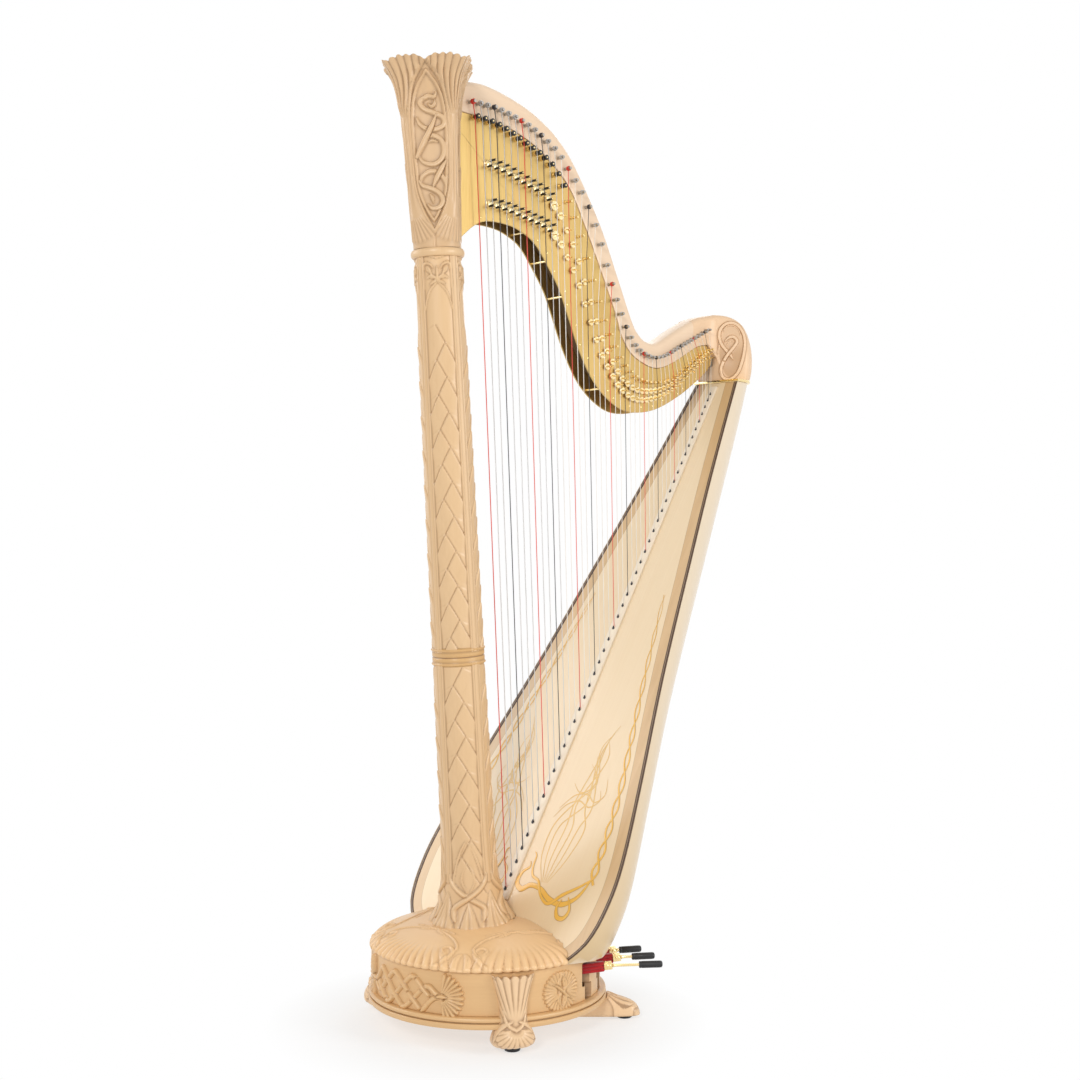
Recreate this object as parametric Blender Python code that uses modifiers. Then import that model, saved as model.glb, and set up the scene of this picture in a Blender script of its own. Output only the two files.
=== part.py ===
"""Concert pedal harp: carved column and base, soundbox, neck with its action plates, 47 strings, 7 pedals.

Metres, +Z up. +X runs from the column to the player, -Y is the harp's left side, where the strings
pass the action. Every x below is measured from the column's axis at its foot; the empty named
harp_frame moves the whole harp so that its middle stands over the origin.
"""

import math

import bmesh
import bpy
from mathutils import Matrix, Vector

# Fits between pieces
GAP = 0.0003
PIN_CLEARANCE = 0.0003
SWING_CLEARANCE = 0.0004

# The whole harp
FRAME_X = 0.3140
BASE_CENTRE_X = 0.0417

# Floor board with its two-step edge, drum and domed cover
PAD_HEIGHT = 0.0077
FLOOR_LOW = 0.043
FLOOR_HIGH = 0.065
DRUM_RADIUS = 0.2232
FLOOR_OVERHANG = 0.0124
DOME_OVERHANG = 0.0100
DRUM_WALL = 0.012
DRUM_TOP = 0.146
DRUM_TOP_BOARD = 0.008
DRUM_TOP_BORE = 0.100
DOME_RISE = 0.057
DOME_RIM = 0.005
DOME_WALL = 0.014
# Share of the rim's radius, share of the fall from the middle to the rim
DOME_SHAPE = (
    (0.0, 0.0), (0.38, 0.0), (0.53, 0.10), (0.70, 0.27), (0.85, 0.51), (0.94, 0.74), (1.0, 1.0),
)
BASE_SIDES = 40

# Column
COLUMN_LEAN = math.radians(3.9)
COLUMN_FOOT_RADIUS = 0.078
COLUMN_TOP = 1.506
COLUMN_RADIUS_LOW = 0.051
COLUMN_RADIUS_HIGH = 0.0445
BAND_Z = 0.7215
BAND_HALF = 0.0155
RING_DROP = 0.0085
RING_RADIUS = 0.052
COLUMN_SIDES = 24

# Capital
CAPITAL_HEIGHT = 0.354
CAPITAL_SIDES = 56
FLUTE_DEPTH = 0.018
TIP_LIFT = 0.002
CAPITAL_NOTCH = 0.014
CAPITAL_DISH = 0.028
DISH_WIDTH = 0.86

# Soundboard plane: it starts at the lowest string's eyelet and climbs towards the player
BOARD_SLOPE = math.radians(58.22)
BOARD_START = Vector((0.0933, 0.0, 0.2435))
BOARD_THICKNESS = 0.005
BINDING_WIDTH = 0.008
BINDING_PROUD = 0.0012
SHELL_WALL = 0.012
SHELL_OVERHANG = 0.006
SHELL_ROUNDNESS = 2.2
BOARD_HALF_WIDTH = (
    (-0.16, 0.165), (-0.11, 0.221), (-0.06, 0.258), (0.02, 0.2725), (0.10, 0.268),
    (0.25, 0.239), (0.50, 0.184), (0.75, 0.138), (1.00, 0.094), (1.36, 0.040),
)
SHELL_DEPTH = (
    (-0.16, 0.170), (0.0, 0.158), (0.15, 0.134), (0.35, 0.119), (0.60, 0.115),
    (0.90, 0.106), (1.15, 0.088), (1.36, 0.060),
)
SOUND_HOLES = (0.26, 0.50, 0.74, 0.98)
SOUND_HOLE_HALF_LENGTH = 0.060
SOUND_HOLE_HALF_WIDTH = 0.032

# Shoulder, at the top of the soundbox
COLLAR_LOW = 1.308
COLLAR_THICKNESS = 0.006
COLLAR_LEDGE = 0.003
SHOULDER_FRONT = 0.757
SHOULDER_ROUNDNESS = 2.6
# Height over the collar, reach to the left, reach to the right, depth
SHOULDER_SHAPE = (
    (0.0, 0.053, 0.058, 0.085), (0.021, 0.055, 0.061, 0.091), (0.051, 0.056, 0.064, 0.093),
    (0.081, 0.054, 0.064, 0.089), (0.106, 0.050, 0.062, 0.080), (0.126, 0.044, 0.058, 0.065),
    (0.140, 0.036, 0.052, 0.047), (0.149, 0.028, 0.046, 0.029), (0.1525, 0.020, 0.040, 0.014),
)

# Strings, counted from the lowest; the eyelets stand closer together towards the treble
STRINGS = 47
EYELET_PITCH = 0.02935
EYELET_PITCH_FALL = 0.0032
TREBLE_CROWDING = 0.0100
RIB_HALF_WIDTH_BASS = 0.015
RIB_HALF_WIDTH_TREBLE = 0.010
RIB_THICKNESS = 0.004
RIB_LOW_END = -0.020
STRING_LEAN = math.radians(3.1)
STRING_LEAN_FADE = 1.4
STRING_RADIUS_BASS = 0.0012
STRING_RADIUS_TREBLE = 0.0005
STRING_SIDES = 4

# Neck and action, from side to side of the harp
BAND_LEFT = 0.010
PLATE_LEFT = 0.012
PLATE_THICKNESS = 0.003
PLATE_SPACING = 0.044
LEFT_PLATE_START = -0.070
RIGHT_PLATE_START = -0.028
NECK_RIGHT_BAND = 0.064
BRIDGE_PIN_RADIUS = 0.0030
ROLLER_RADIUS = 0.0042
ROLLERS = 14
TUNING_PIN_RADIUS = 0.0033
TUNING_PIN_LEFT = 0.018
TUNING_PIN_RIGHT = 0.020
PIN_TIP_Y = -0.0050
BRIDGE_PIN_TIP_Y = -0.0062
SET_IN = 0.0013
SPACERS_X = (0.165, 0.222, 0.268, 0.385)
SPACER_RISE = 0.011
SPACER_RADIUS = 0.0025

# Discs that stop the strings: one semitone and two semitones below the bridge pin
SEMITONE = 1.0 - 2.0 ** (-1.0 / 12.0)
WHOLE_TONE = 1.0 - 2.0 ** (-2.0 / 12.0)
DISC_STRINGS_FROM = 2
DISC_RADIUS = 0.0072
DISC_RADIUS_MOST = 0.0110
BASS_DISCS = 14
BASS_DISC_GROWTH = 0.0015
DISC_SHARE = 0.42
DISC_SMALLEST_STEP = 0.0098
DISC_FRONT_Y = 0.0055
DISC_THICKNESS = 0.0020
DISC_AXLE_RADIUS = 0.0020
PRONG_RADIUS = 0.0013
PRONG_REACH = 0.64
FORKS = 12
MOVING_DISCS = {"C": 14, "D": 15, "E": 16, "F": 17, "G": 18, "A": 19, "B": 20}

# Pedals: note, place of its slot round the drum, direction of its arm, from the wall to the hinge,
# length of the folding foot
PEDALS = (
    ("D", -73.3, -41.0, 0.041, 0.104), ("C", -56.3, -37.0, 0.037, 0.075),
    ("B", -42.0, -33.5, 0.027, 0.058), ("E", 28.0, 24.0, 0.027, 0.058),
    ("F", 42.0, 33.5, 0.027, 0.058), ("G", 56.3, 37.0, 0.037, 0.075),
    ("A", 73.3, 41.0, 0.041, 0.104),
)
BRACKET_CENTRE_X = 0.0085
BRACKET_RADIUS = 0.1405
BRACKET_END = 0.020
PEDAL_PIVOT_Z = 0.113
PEDAL_TILT = math.radians(6.0)
FOOT_TILT = math.radians(-5.2)
ARM_WIDTH = 0.007
ARM_HEIGHT = 0.009
TRUNNION_RADIUS = 0.003
TRUNNION_HALF = 0.0065
FELT_WIDTH = 0.014
FELT_HEIGHT = 0.019
FELT_INSIDE = 0.020
HINGE_BLOCK_WIDTH = 0.016
HINGE_BLOCK_HEIGHT = 0.013
HINGE_BLOCK_BACK = 0.009
KNUCKLE_RADIUS = 0.0055
KNUCKLE_WIDTH = 0.006
HINGE_PIN_RADIUS = 0.0022
FOOT_ROD_RADIUS = 0.003
SLEEVE_RADIUS = 0.0066
SLEEVE_LENGTH = 0.045
SLOT_WIDTH = 0.024
SLOT_STEP = 0.008
SLOT_REACH = 0.036
SLOT_LOW = 0.0655
SLOT_LEDGE = 0.092
BRACKET_HALF_DEPTH = 0.011
BRACKET_TOP = 0.127
BRACKET_FORK_LOW = 0.086

# Feet
FRONT_FOOT_ANGLE = 120.0
REAR_FOOT_ANGLE = 45.0
FRONT_PAD_INSET = 0.006
REAR_PAD_OUTSET = 0.036
PAD_RADIUS = 0.015
FOOT_LOW = 0.008
REAR_FOOT_LENGTH = 0.0664
REAR_FOOT_WIDTH = 0.054

# Outlines in the x-z plane of the strings, bass to treble, drawn for a column of OUTLINES_FOR
OUTLINES_FOR = 1.506


def with_column(points):
    """The outline's bass end follows the column's height, its treble end stays on the shoulder."""
    rise = COLUMN_TOP - OUTLINES_FOR
    return tuple((x, z + rise * (1 - max(0.0, x) / SHOULDER_FRONT)) for x, z in points)


NECK_TOP = with_column((
    (-0.085, 1.847), (-0.03, 1.851), (0.05, 1.857), (0.144, 1.839), (0.204, 1.816), (0.257, 1.784),
    (0.307, 1.734), (0.384, 1.622), (0.440, 1.513), (0.485, 1.424), (0.508, 1.397),
    (0.534, 1.385), (0.570, 1.389), (0.649, 1.430), (0.700, 1.453), (0.757, 1.466),
))
NECK_LOW = with_column((
    (-0.085, 1.590), (0.0, 1.615), (0.12, 1.622), (0.18, 1.600), (0.24, 1.545), (0.29, 1.470),
    (0.33, 1.380), (0.37, 1.320), (0.42, 1.283), (0.47, 1.268), (0.52, 1.268), (0.58, 1.277),
    (0.64, 1.300), (0.70, 1.328), (0.757, 1.352),
))
PLATE_TOP = with_column((
    (-0.085, 1.790), (-0.03, 1.790), (0.08, 1.784), (0.15, 1.769), (0.21, 1.742), (0.28, 1.690),
    (0.328, 1.617), (0.381, 1.521), (0.426, 1.434), (0.442, 1.394), (0.469, 1.359),
    (0.505, 1.339), (0.555, 1.328), (0.611, 1.344), (0.691, 1.385), (0.727, 1.394),
))
PLATE_END = ((0.745, 1.385), (0.751, 1.368), (0.742, 1.346))
PLATE_LOW = with_column((
    (-0.085, 1.533), (-0.03, 1.533), (-0.012, 1.547), (0.019, 1.571), (0.055, 1.584),
    (0.108, 1.584), (0.147, 1.575), (0.187, 1.554), (0.227, 1.508), (0.257, 1.467),
    (0.282, 1.415), (0.316, 1.345), (0.359, 1.284), (0.412, 1.244), (0.469, 1.226),
    (0.549, 1.235), (0.635, 1.272), (0.710, 1.318),
))
BRIDGE_LINE = with_column((
    (0.013, 1.784), (0.054, 1.780), (0.089, 1.772), (0.144, 1.753), (0.181, 1.740),
    (0.213, 1.725), (0.248, 1.690), (0.262, 1.668), (0.300, 1.601), (0.339, 1.506),
    (0.375, 1.421), (0.408, 1.367), (0.440, 1.327), (0.486, 1.299), (0.550, 1.296),
    (0.610, 1.312), (0.660, 1.342), (0.705, 1.372), (0.732, 1.384),
))
TUNING_LINE = with_column((
    (0.008, 1.811), (0.066, 1.810), (0.103, 1.804), (0.154, 1.792), (0.206, 1.770),
    (0.242, 1.748), (0.283, 1.708), (0.328, 1.656), (0.370, 1.577), (0.399, 1.503),
    (0.429, 1.440), (0.459, 1.390), (0.486, 1.364), (0.517, 1.352), (0.546, 1.350),
    (0.580, 1.359), (0.625, 1.381), (0.672, 1.403), (0.726, 1.429),
))
TUNING_OFFSET = (
    (0, -0.006), (10, -0.007), (13, -0.003), (16, 0.004), (19, 0.010), (23, 0.005),
    (30, -0.002), (39, -0.018), (43, -0.019), (46, -0.009),
)

FLOOR_RADIUS = DRUM_RADIUS + FLOOR_OVERHANG
DOME_RADIUS = DRUM_RADIUS + DOME_OVERHANG
DOME_TOP = DRUM_TOP + DOME_RISE
RING_Z = COLUMN_TOP - RING_DROP

WOOD = (0.78, 0.58, 0.36)
PALE_WOOD = (0.86, 0.74, 0.54)
BOARD_WOOD = (0.88, 0.78, 0.58)
DARK_WOOD = (0.13, 0.07, 0.05)
BRASS = (0.83, 0.66, 0.30)
STEEL = (0.55, 0.52, 0.48)
BLACK_RUBBER = (0.02, 0.02, 0.02)
RED_FELT = (0.45, 0.01, 0.02)


def clear_scene():
    for obj in list(bpy.data.objects):
        bpy.data.objects.remove(obj, do_unlink=True)


def new_collection(name):
    collection = bpy.data.collections.new(name)
    bpy.context.scene.collection.children.link(collection)
    return collection


clear_scene()
PARTS = new_collection("pedal_harp")
CUTTERS = new_collection("cutters")
HARP = bpy.data.objects.new("harp_frame", None)
HARP.location = (-FRAME_X, 0.0, 0.0)
PARTS.objects.link(HARP)


# Materials and objects


def material(name, colour, roughness, metallic=0.0):
    found = bpy.data.materials.get(name)
    if found:
        return found
    made = bpy.data.materials.new(name)
    made.use_nodes = True
    shader = made.node_tree.nodes["Principled BSDF"]
    shader.inputs["Base Color"].default_value = (*colour, 1.0)
    shader.inputs["Roughness"].default_value = roughness
    shader.inputs["Metallic"].default_value = metallic
    return made


def new_mesh(bm, name):
    mesh = bpy.data.meshes.new(name)
    bmesh.ops.recalc_face_normals(bm, faces=bm.faces)
    bm.to_mesh(mesh)
    bm.free()
    return mesh


def part(name, data, finish, location=(0.0, 0.0, 0.0), rotation=(0.0, 0.0, 0.0), parent=None):
    """A sub-part: it becomes one node."""
    obj = bpy.data.objects.new(name, data)
    obj.location = location
    obj.rotation_euler = rotation
    obj.parent = parent or HARP
    obj.data.materials.clear()
    obj.data.materials.append(material(name, *finish))
    PARTS.objects.link(obj)
    return obj


def helper(name, data, location=(0.0, 0.0, 0.0), rotation=(0.0, 0.0, 0.0), parent=None):
    """A cutter, or a set of repeated solids that a Boolean joins to a part."""
    obj = bpy.data.objects.new(name, data)
    obj.location = location
    obj.rotation_euler = rotation
    obj.parent = parent or HARP
    obj.hide_render = True
    obj.display_type = "WIRE"
    CUTTERS.objects.link(obj)
    return obj


def cut(obj, cutter, operation="DIFFERENCE"):
    modifier = obj.modifiers.new(cutter.name, "BOOLEAN")
    modifier.operation = operation
    modifier.object = cutter
    modifier.solver = "EXACT"
    modifier.use_self = True
    return obj


def join(obj, other):
    return cut(obj, other, "UNION")


def round_shading(obj, angle=35.0):
    obj.data.shade_smooth()
    obj.data.set_sharp_from_angle(angle=math.radians(angle))
    return obj


# Curves through chosen points


def smooth_at(points, x):
    """The value at x of a smooth curve through (x, value) points."""
    last = len(points) - 1
    x = min(max(x, points[0][0]), points[last][0])
    i = 0
    while i < last - 1 and x > points[i + 1][0]:
        i += 1

    def slope(j):
        low, high = max(j - 1, 0), min(j + 1, last)
        return (points[high][1] - points[low][1]) / (points[high][0] - points[low][0])

    (x0, y0), (x1, y1) = points[i], points[i + 1]
    step = x1 - x0
    t = (x - x0) / step
    a = (1 + 2 * t) * (1 - t) ** 2 * y0 + t * (1 - t) ** 2 * step * slope(i)
    b = t * t * (3 - 2 * t) * y1 + t * t * (t - 1) * step * slope(i + 1)
    return a + b


def smooth_line(points, steps=3):
    """A polyline along a smooth curve through the points, with so many pieces between each two."""
    ends = [points[0], *points, points[-1]]
    line = []
    for a, b, c, d in zip(ends, ends[1:], ends[2:], ends[3:]):
        for i in range(steps):
            t = i / steps
            line.append(tuple(
                0.5 * (2 * q + (r - p) * t + (2 * p - 5 * q + 4 * r - s) * t * t
                       + (3 * q - p - 3 * r + s) * t ** 3)
                for p, q, r, s in zip(a, b, c, d)
            ))
    line.append(tuple(points[-1]))
    return line


# Basic shapes


def lathe(name, profile, sides):
    """A turned mesh. The profile is (radius, height), outer side first, from top to bottom."""
    bm = bmesh.new()
    points = [bm.verts.new((radius, 0.0, height)) for radius, height in profile]
    closed = profile[0][0] > 0.0
    pairs = zip(points, points[1:] + points[:1]) if closed else zip(points, points[1:])
    for a, b in pairs:
        bm.edges.new((a, b))
    mesh = bpy.data.meshes.new(name)
    bm.to_mesh(mesh)
    bm.free()
    turned = bpy.data.objects.new(name, mesh)
    bpy.context.scene.collection.objects.link(turned)
    screw = turned.modifiers.new("turn", "SCREW")
    screw.steps = sides
    screw.render_steps = sides
    screw.use_merge_vertices = True
    screw.merge_threshold = 0.00001
    return evaluated_mesh(turned, name)


def evaluated_mesh(obj, name):
    """The object's evaluated mesh, welded; the object is removed."""
    graph = bpy.context.evaluated_depsgraph_get()
    mesh = bpy.data.meshes.new_from_object(obj.evaluated_get(graph))
    mesh.name = name
    bpy.data.objects.remove(obj, do_unlink=True)
    bm = bmesh.new()
    bm.from_mesh(mesh)
    bmesh.ops.remove_doubles(bm, verts=bm.verts, dist=0.00001)
    bmesh.ops.recalc_face_normals(bm, faces=bm.faces)
    bm.to_mesh(mesh)
    bm.free()
    return mesh


def slab(name, outline, low, high):
    """A flat outline in local x-y, from low to high along local z."""
    return loft(name, [[(x, y, z) for x, y in outline] for z in (low, high)])


def upright_slab(name, outline, left, right):
    """A flat outline in the x-z plane, from left to right along y."""
    mesh = slab(name, outline, -right, -left)
    mesh.transform(Matrix.Rotation(math.radians(90), 4, "X"))
    return mesh


def add_box(bm, low, high):
    low, high = Vector(low), Vector(high)
    size = high - low
    place = Matrix.Translation((low + high) / 2) @ Matrix.Diagonal((*size, 1.0))
    bmesh.ops.create_cube(bm, size=1.0, matrix=place)


def box(name, low, high):
    bm = bmesh.new()
    add_box(bm, low, high)
    return new_mesh(bm, name)


def add_rod(bm, start, end, radius, sides, end_radius=None, turn=0.0):
    """A cylinder, or a cone, from start to end."""
    start, end = Vector(start), Vector(end)
    along = end - start
    spin = Matrix.Rotation(turn, 4, "Z")
    place = Matrix.Translation((start + end) / 2) @ along.to_track_quat("Z", "Y").to_matrix().to_4x4() @ spin
    bmesh.ops.create_cone(
        bm, cap_ends=True, segments=sides, radius1=radius,
        radius2=radius if end_radius is None else end_radius, depth=along.length, matrix=place,
    )


def add_skin(bm, sections, cap_centres=(None, None)):
    """A closed skin over rings of points, each ring with as many points as the next."""
    rings = [[bm.verts.new(point) for point in ring] for ring in sections]
    count = len(rings[0])
    for lower, upper in zip(rings, rings[1:]):
        for i in range(count):
            j = (i + 1) % count
            bm.faces.new((lower[i], lower[j], upper[j], upper[i]))
    for ring, centre in zip((rings[0], rings[-1]), cap_centres):
        if centre is None:
            bm.faces.new(ring)
            continue
        middle = bm.verts.new(centre)
        for i in range(count):
            bm.faces.new((ring[i], ring[(i + 1) % count], middle))


def loft(name, sections, cap_centres=(None, None)):
    bm = bmesh.new()
    add_skin(bm, sections, cap_centres)
    return new_mesh(bm, name)


def add_pin(bm, x, z, back, front, radius, sides, back_radius=None):
    """A round pin along y, whose ends lie exactly in their planes."""
    sections = []
    for y, size in ((back, back_radius or radius), (front, radius)):
        turns = [2 * math.pi * (i + 0.5) / sides for i in range(sides)]
        sections.append([(x + size * math.cos(t), y, z + size * math.sin(t)) for t in turns])
    add_skin(bm, sections)


# Places that several pieces share

ALONG_BOARD = Vector((math.cos(BOARD_SLOPE), 0.0, math.sin(BOARD_SLOPE)))
INTO_BOX = Vector((math.sin(BOARD_SLOPE), 0.0, -math.cos(BOARD_SLOPE)))
BOARD_ROTATION = (0.0, -BOARD_SLOPE, 0.0)
COLUMN_ROTATION = (0.0, -COLUMN_LEAN, 0.0)
COLUMN_FOOT = (0.0, 0.0, DOME_TOP)
BOX_LOW = DRUM_TOP + GAP
PLATE_BACK = PLATE_LEFT + PLATE_THICKNESS
RIGHT_PLATE = PLATE_BACK + PLATE_SPACING


def board_point(along, into=0.0):
    return BOARD_START + along * ALONG_BOARD + into * INTO_BOX


def board_at_height(z, into=0.0):
    """How far along the soundboard a height is reached, so deep into the soundbox."""
    return (z - BOARD_START.z + into * math.cos(BOARD_SLOPE)) / math.sin(BOARD_SLOPE)


def column_height(z):
    """Distance up the leaning column of a height over the floor."""
    return (z - DOME_TOP) / math.cos(COLUMN_LEAN)


def half_width(along):
    return smooth_at(BOARD_HALF_WIDTH, along)


def eyelet_along(index):
    """Distance along the soundboard of string number index, the lowest being 0."""
    shares = [i / (STRINGS - 1) for i in range(index)]
    return sum(
        EYELET_PITCH - EYELET_PITCH_FALL * share - TREBLE_CROWDING * share ** 6
        for share in shares
    )


def string_radius(index):
    share = index / (STRINGS - 1)
    return STRING_RADIUS_BASS + (STRING_RADIUS_TREBLE - STRING_RADIUS_BASS) * share


def string_ends(index):
    """Eyelet, bridge and tuning points of a string, as (x, z) in the strings' plane."""
    low = board_point(eyelet_along(index), -RIB_THICKNESS / 2)
    lean = math.tan(STRING_LEAN * max(0.0, 1 - index / (STRINGS - 1)) ** STRING_LEAN_FADE)
    x = low.x
    for _ in range(8):
        x = low.x - lean * (smooth_at(BRIDGE_LINE, x) - low.z)
    bridge = (x, smooth_at(BRIDGE_LINE, x))
    pin_x = x + smooth_at(TUNING_OFFSET, index)
    return (low.x, low.z), bridge, (pin_x, smooth_at(TUNING_LINE, pin_x))


def bridge_pin(index):
    """Centre and radius of the pin that the string bends round."""
    _, (x, z), _ = string_ends(index)
    radius = ROLLER_RADIUS if index < ROLLERS else BRIDGE_PIN_RADIUS * (0.8 if index > 30 else 1.0)
    return x + radius + string_radius(index) + GAP, z, radius


def disc_place(index, semitones):
    """Centre and radius of a string's upper disc (1 semitone) or lower disc (2 semitones)."""
    (x0, z0), (x1, z1), _ = string_ends(index)
    length = math.hypot(x1 - x0, z1 - z0)
    first = max(SEMITONE * length, DISC_SMALLEST_STEP)
    second = max((WHOLE_TONE - SEMITONE) * length, DISC_SMALLEST_STEP)
    below = first if semitones == 1 else first + second
    share = below / length
    wide = DISC_RADIUS + BASS_DISC_GROWTH * max(0, BASS_DISCS - index)
    radius = min(wide, DISC_RADIUS_MOST, DISC_SHARE * min(first, second))
    return x1 + (x0 - x1) * share, z1 + (z0 - z1) * share, radius


# Base


def base_floor():
    edge = FLOOR_RADIUS
    profile = [
        (0.0, FLOOR_HIGH), (edge - 0.0035, FLOOR_HIGH), (edge - 0.0010, FLOOR_HIGH - 0.003),
        (edge - 0.0010, FLOOR_HIGH - 0.009), (edge - 0.0030, FLOOR_HIGH - 0.011),
        (edge, FLOOR_HIGH - 0.013), (edge, FLOOR_LOW + 0.002), (edge - 0.003, FLOOR_LOW),
        (0.0, FLOOR_LOW),
    ]
    mesh = lathe("base_floor", profile, BASE_SIDES)
    return round_shading(part("base_floor", mesh, (WOOD, 0.5), (BASE_CENTRE_X, 0.0, 0.0)))


def base_drum():
    """Wall and top board in one turned piece, with a stepped slot for each pedal."""
    inner = DRUM_RADIUS - DRUM_WALL
    under = DRUM_TOP - DRUM_TOP_BOARD
    low = FLOOR_HIGH + GAP
    profile = [
        (DRUM_TOP_BORE, DRUM_TOP), (DRUM_RADIUS, DRUM_TOP), (DRUM_RADIUS, low), (inner, low),
        (inner, under), (DRUM_TOP_BORE, under),
    ]
    mesh = lathe("base_drum", profile, BASE_SIDES)
    drum = part("base_drum", mesh, (WOOD, 0.5), (BASE_CENTRE_X, 0.0, 0.0))
    for pedal in PEDALS:
        name = f"slot_{pedal[0]}"
        bm = bmesh.new()
        half = SLOT_WIDTH / 2
        side = SLOT_STEP / 2 if pedal[1] > 0 else -SLOT_STEP / 2
        add_box(bm, (-SLOT_REACH, side - half, SLOT_LEDGE), (SLOT_REACH, side + half, under - GAP))
        add_box(bm, (-SLOT_REACH, -side - half, SLOT_LOW), (SLOT_REACH, -side + half, SLOT_LEDGE + 0.001))
        x, y = wall_point(pedal)
        slot = helper(name, new_mesh(bm, name), (x, y, 0.0), (0.0, 0.0, math.radians(pedal[2])))
        cut(drum, slot)
    return drum


def base_dome():
    """Domed cover, hollow below and cut off along the soundboard."""
    low = DRUM_TOP + GAP
    rim, fall = DOME_RADIUS, DOME_RISE - DOME_RIM
    crown = [(rim * reach, DOME_TOP - fall * share) for reach, share in DOME_SHAPE]
    crown += [(rim, low + DOME_RIM * 0.5), (rim - 0.003, low)]
    inside = [
        (rim - 0.026, low), (0.75 * rim, DOME_TOP - 0.30 * fall - DOME_WALL),
        (0.50 * rim, DOME_TOP - DOME_WALL - 0.05 * fall), (0.0, DOME_TOP - DOME_WALL),
    ]
    mesh = lathe("base_dome", crown + inside, BASE_SIDES)
    dome = part("base_dome", mesh, (WOOD, 0.5), (BASE_CENTRE_X, 0.0, 0.0))
    return cut(dome, BEHIND_SOUNDBOARD)


def behind_soundboard():
    """Everything behind a plane just before the soundboard, which dome and column leave free."""
    clear = BINDING_PROUD + GAP
    mesh = box("behind_soundboard", (-0.6, -0.5, -0.6), (0.6, 0.5, clear))
    return helper("behind_soundboard", mesh, BOARD_START, BOARD_ROTATION)


def around_base(angle, reach, z=0.0):
    """A point at an angle round the base from the player's side."""
    turn = math.radians(angle)
    return (BASE_CENTRE_X + reach * math.cos(turn), reach * math.sin(turn), z)


def front_foot(name, angle):
    """A pilaster against the drum that carries the floor board on its toe."""
    sections = []
    back = DRUM_RADIUS - 0.020
    under = DRUM_RADIUS - 0.061
    outline = (
        (FOOT_LOW, 0.060, 0.012, under), (0.013, 0.076, 0.026, under), (0.022, 0.083, 0.034, under),
        (0.033, 0.078, 0.035, under), (FLOOR_LOW - GAP, 0.068, 0.031, under),
        (FLOOR_LOW + 0.004, 0.064, 0.029, back), (0.064, 0.055, 0.025, back),
        (0.090, 0.055, 0.021, back), (0.115, 0.064, 0.019, back), (0.139, 0.076, 0.018, back),
    )
    count = 10
    for z, width, proud, inner in outline:
        ring = [(inner, -0.5 * width * 0.8, z), (inner, 0.5 * width * 0.8, z)]
        for i in range(count + 1):
            turn = math.pi * i / count
            reach = DRUM_RADIUS - 0.012 + (0.012 + proud) * math.sin(turn) ** 0.7
            ring.append((reach, 0.5 * width * math.cos(turn), z))
        sections.append(ring)
    mesh = loft(name, sections)
    foot = part(
        name, mesh, (WOOD, 0.5), (BASE_CENTRE_X, 0.0, 0.0), (0.0, 0.0, math.radians(angle))
    )
    return cut(foot, BASE_HOLLOW)


def rear_foot(name, angle):
    """A long low scroll foot that reaches out behind the base."""
    top = FLOOR_LOW - GAP
    edge = FLOOR_RADIUS
    tip = edge + REAR_FOOT_LENGTH
    outline = [(edge - 0.075, FOOT_LOW), (edge - 0.075, top), (edge - 0.030, top + 0.003)]
    outline += smooth_line([
        (edge + 0.003, top + 0.004), (edge + 0.020, top - 0.002), (tip - 0.024, top - 0.010),
        (tip - 0.008, top - 0.019), (tip, FOOT_LOW + 0.007), (tip - 0.004, FOOT_LOW),
    ], 2)
    half = REAR_FOOT_WIDTH / 2
    mesh = upright_slab(name, outline, -half, half)
    for vertex in mesh.vertices:
        share = (vertex.co.x - (edge - 0.075)) / (tip - edge + 0.075)
        vertex.co.y *= 1.08 - 0.26 * max(0.0, share) ** 2
    foot = part(
        name, mesh, (WOOD, 0.5), (BASE_CENTRE_X, 0.0, 0.0), (0.0, 0.0, math.radians(angle))
    )
    return cut(foot, BASE_HOLLOW)


def base_hollow():
    """The space of the floor board and drum, a gap wider, which the feet leave free."""
    drum, floor = DRUM_RADIUS + GAP, FLOOR_RADIUS + GAP
    profile = [
        (0.0, DRUM_TOP), (drum, DRUM_TOP), (drum, FLOOR_HIGH), (floor, FLOOR_HIGH),
        (floor, FLOOR_LOW - GAP), (0.0, FLOOR_LOW - GAP),
    ]
    mesh = lathe("base_hollow", profile, BASE_SIDES)
    return helper("base_hollow", mesh, (BASE_CENTRE_X, 0.0, 0.0))


def feet():
    for side, sign in (("left", -1), ("right", 1)):
        front_foot(f"foot_front_{side}", sign * FRONT_FOOT_ANGLE)
        rear_foot(f"foot_rear_{side}", sign * REAR_FOOT_ANGLE)
        for place, angle, reach in (
            ("front", FRONT_FOOT_ANGLE, DRUM_RADIUS - FRONT_PAD_INSET),
            ("rear", REAR_FOOT_ANGLE, FLOOR_RADIUS + REAR_PAD_OUTSET),
        ):
            name = f"pad_{place}_{side}"
            profile = [
                (0.0, PAD_HEIGHT), (PAD_RADIUS, PAD_HEIGHT), (PAD_RADIUS, 0.002),
                (PAD_RADIUS - 0.002, 0.0), (0.0, 0.0),
            ]
            mesh = lathe(name, profile, 14)
            round_shading(part(name, mesh, (BLACK_RUBBER, 0.8), around_base(sign * angle, reach)))


# Column and capital


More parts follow.
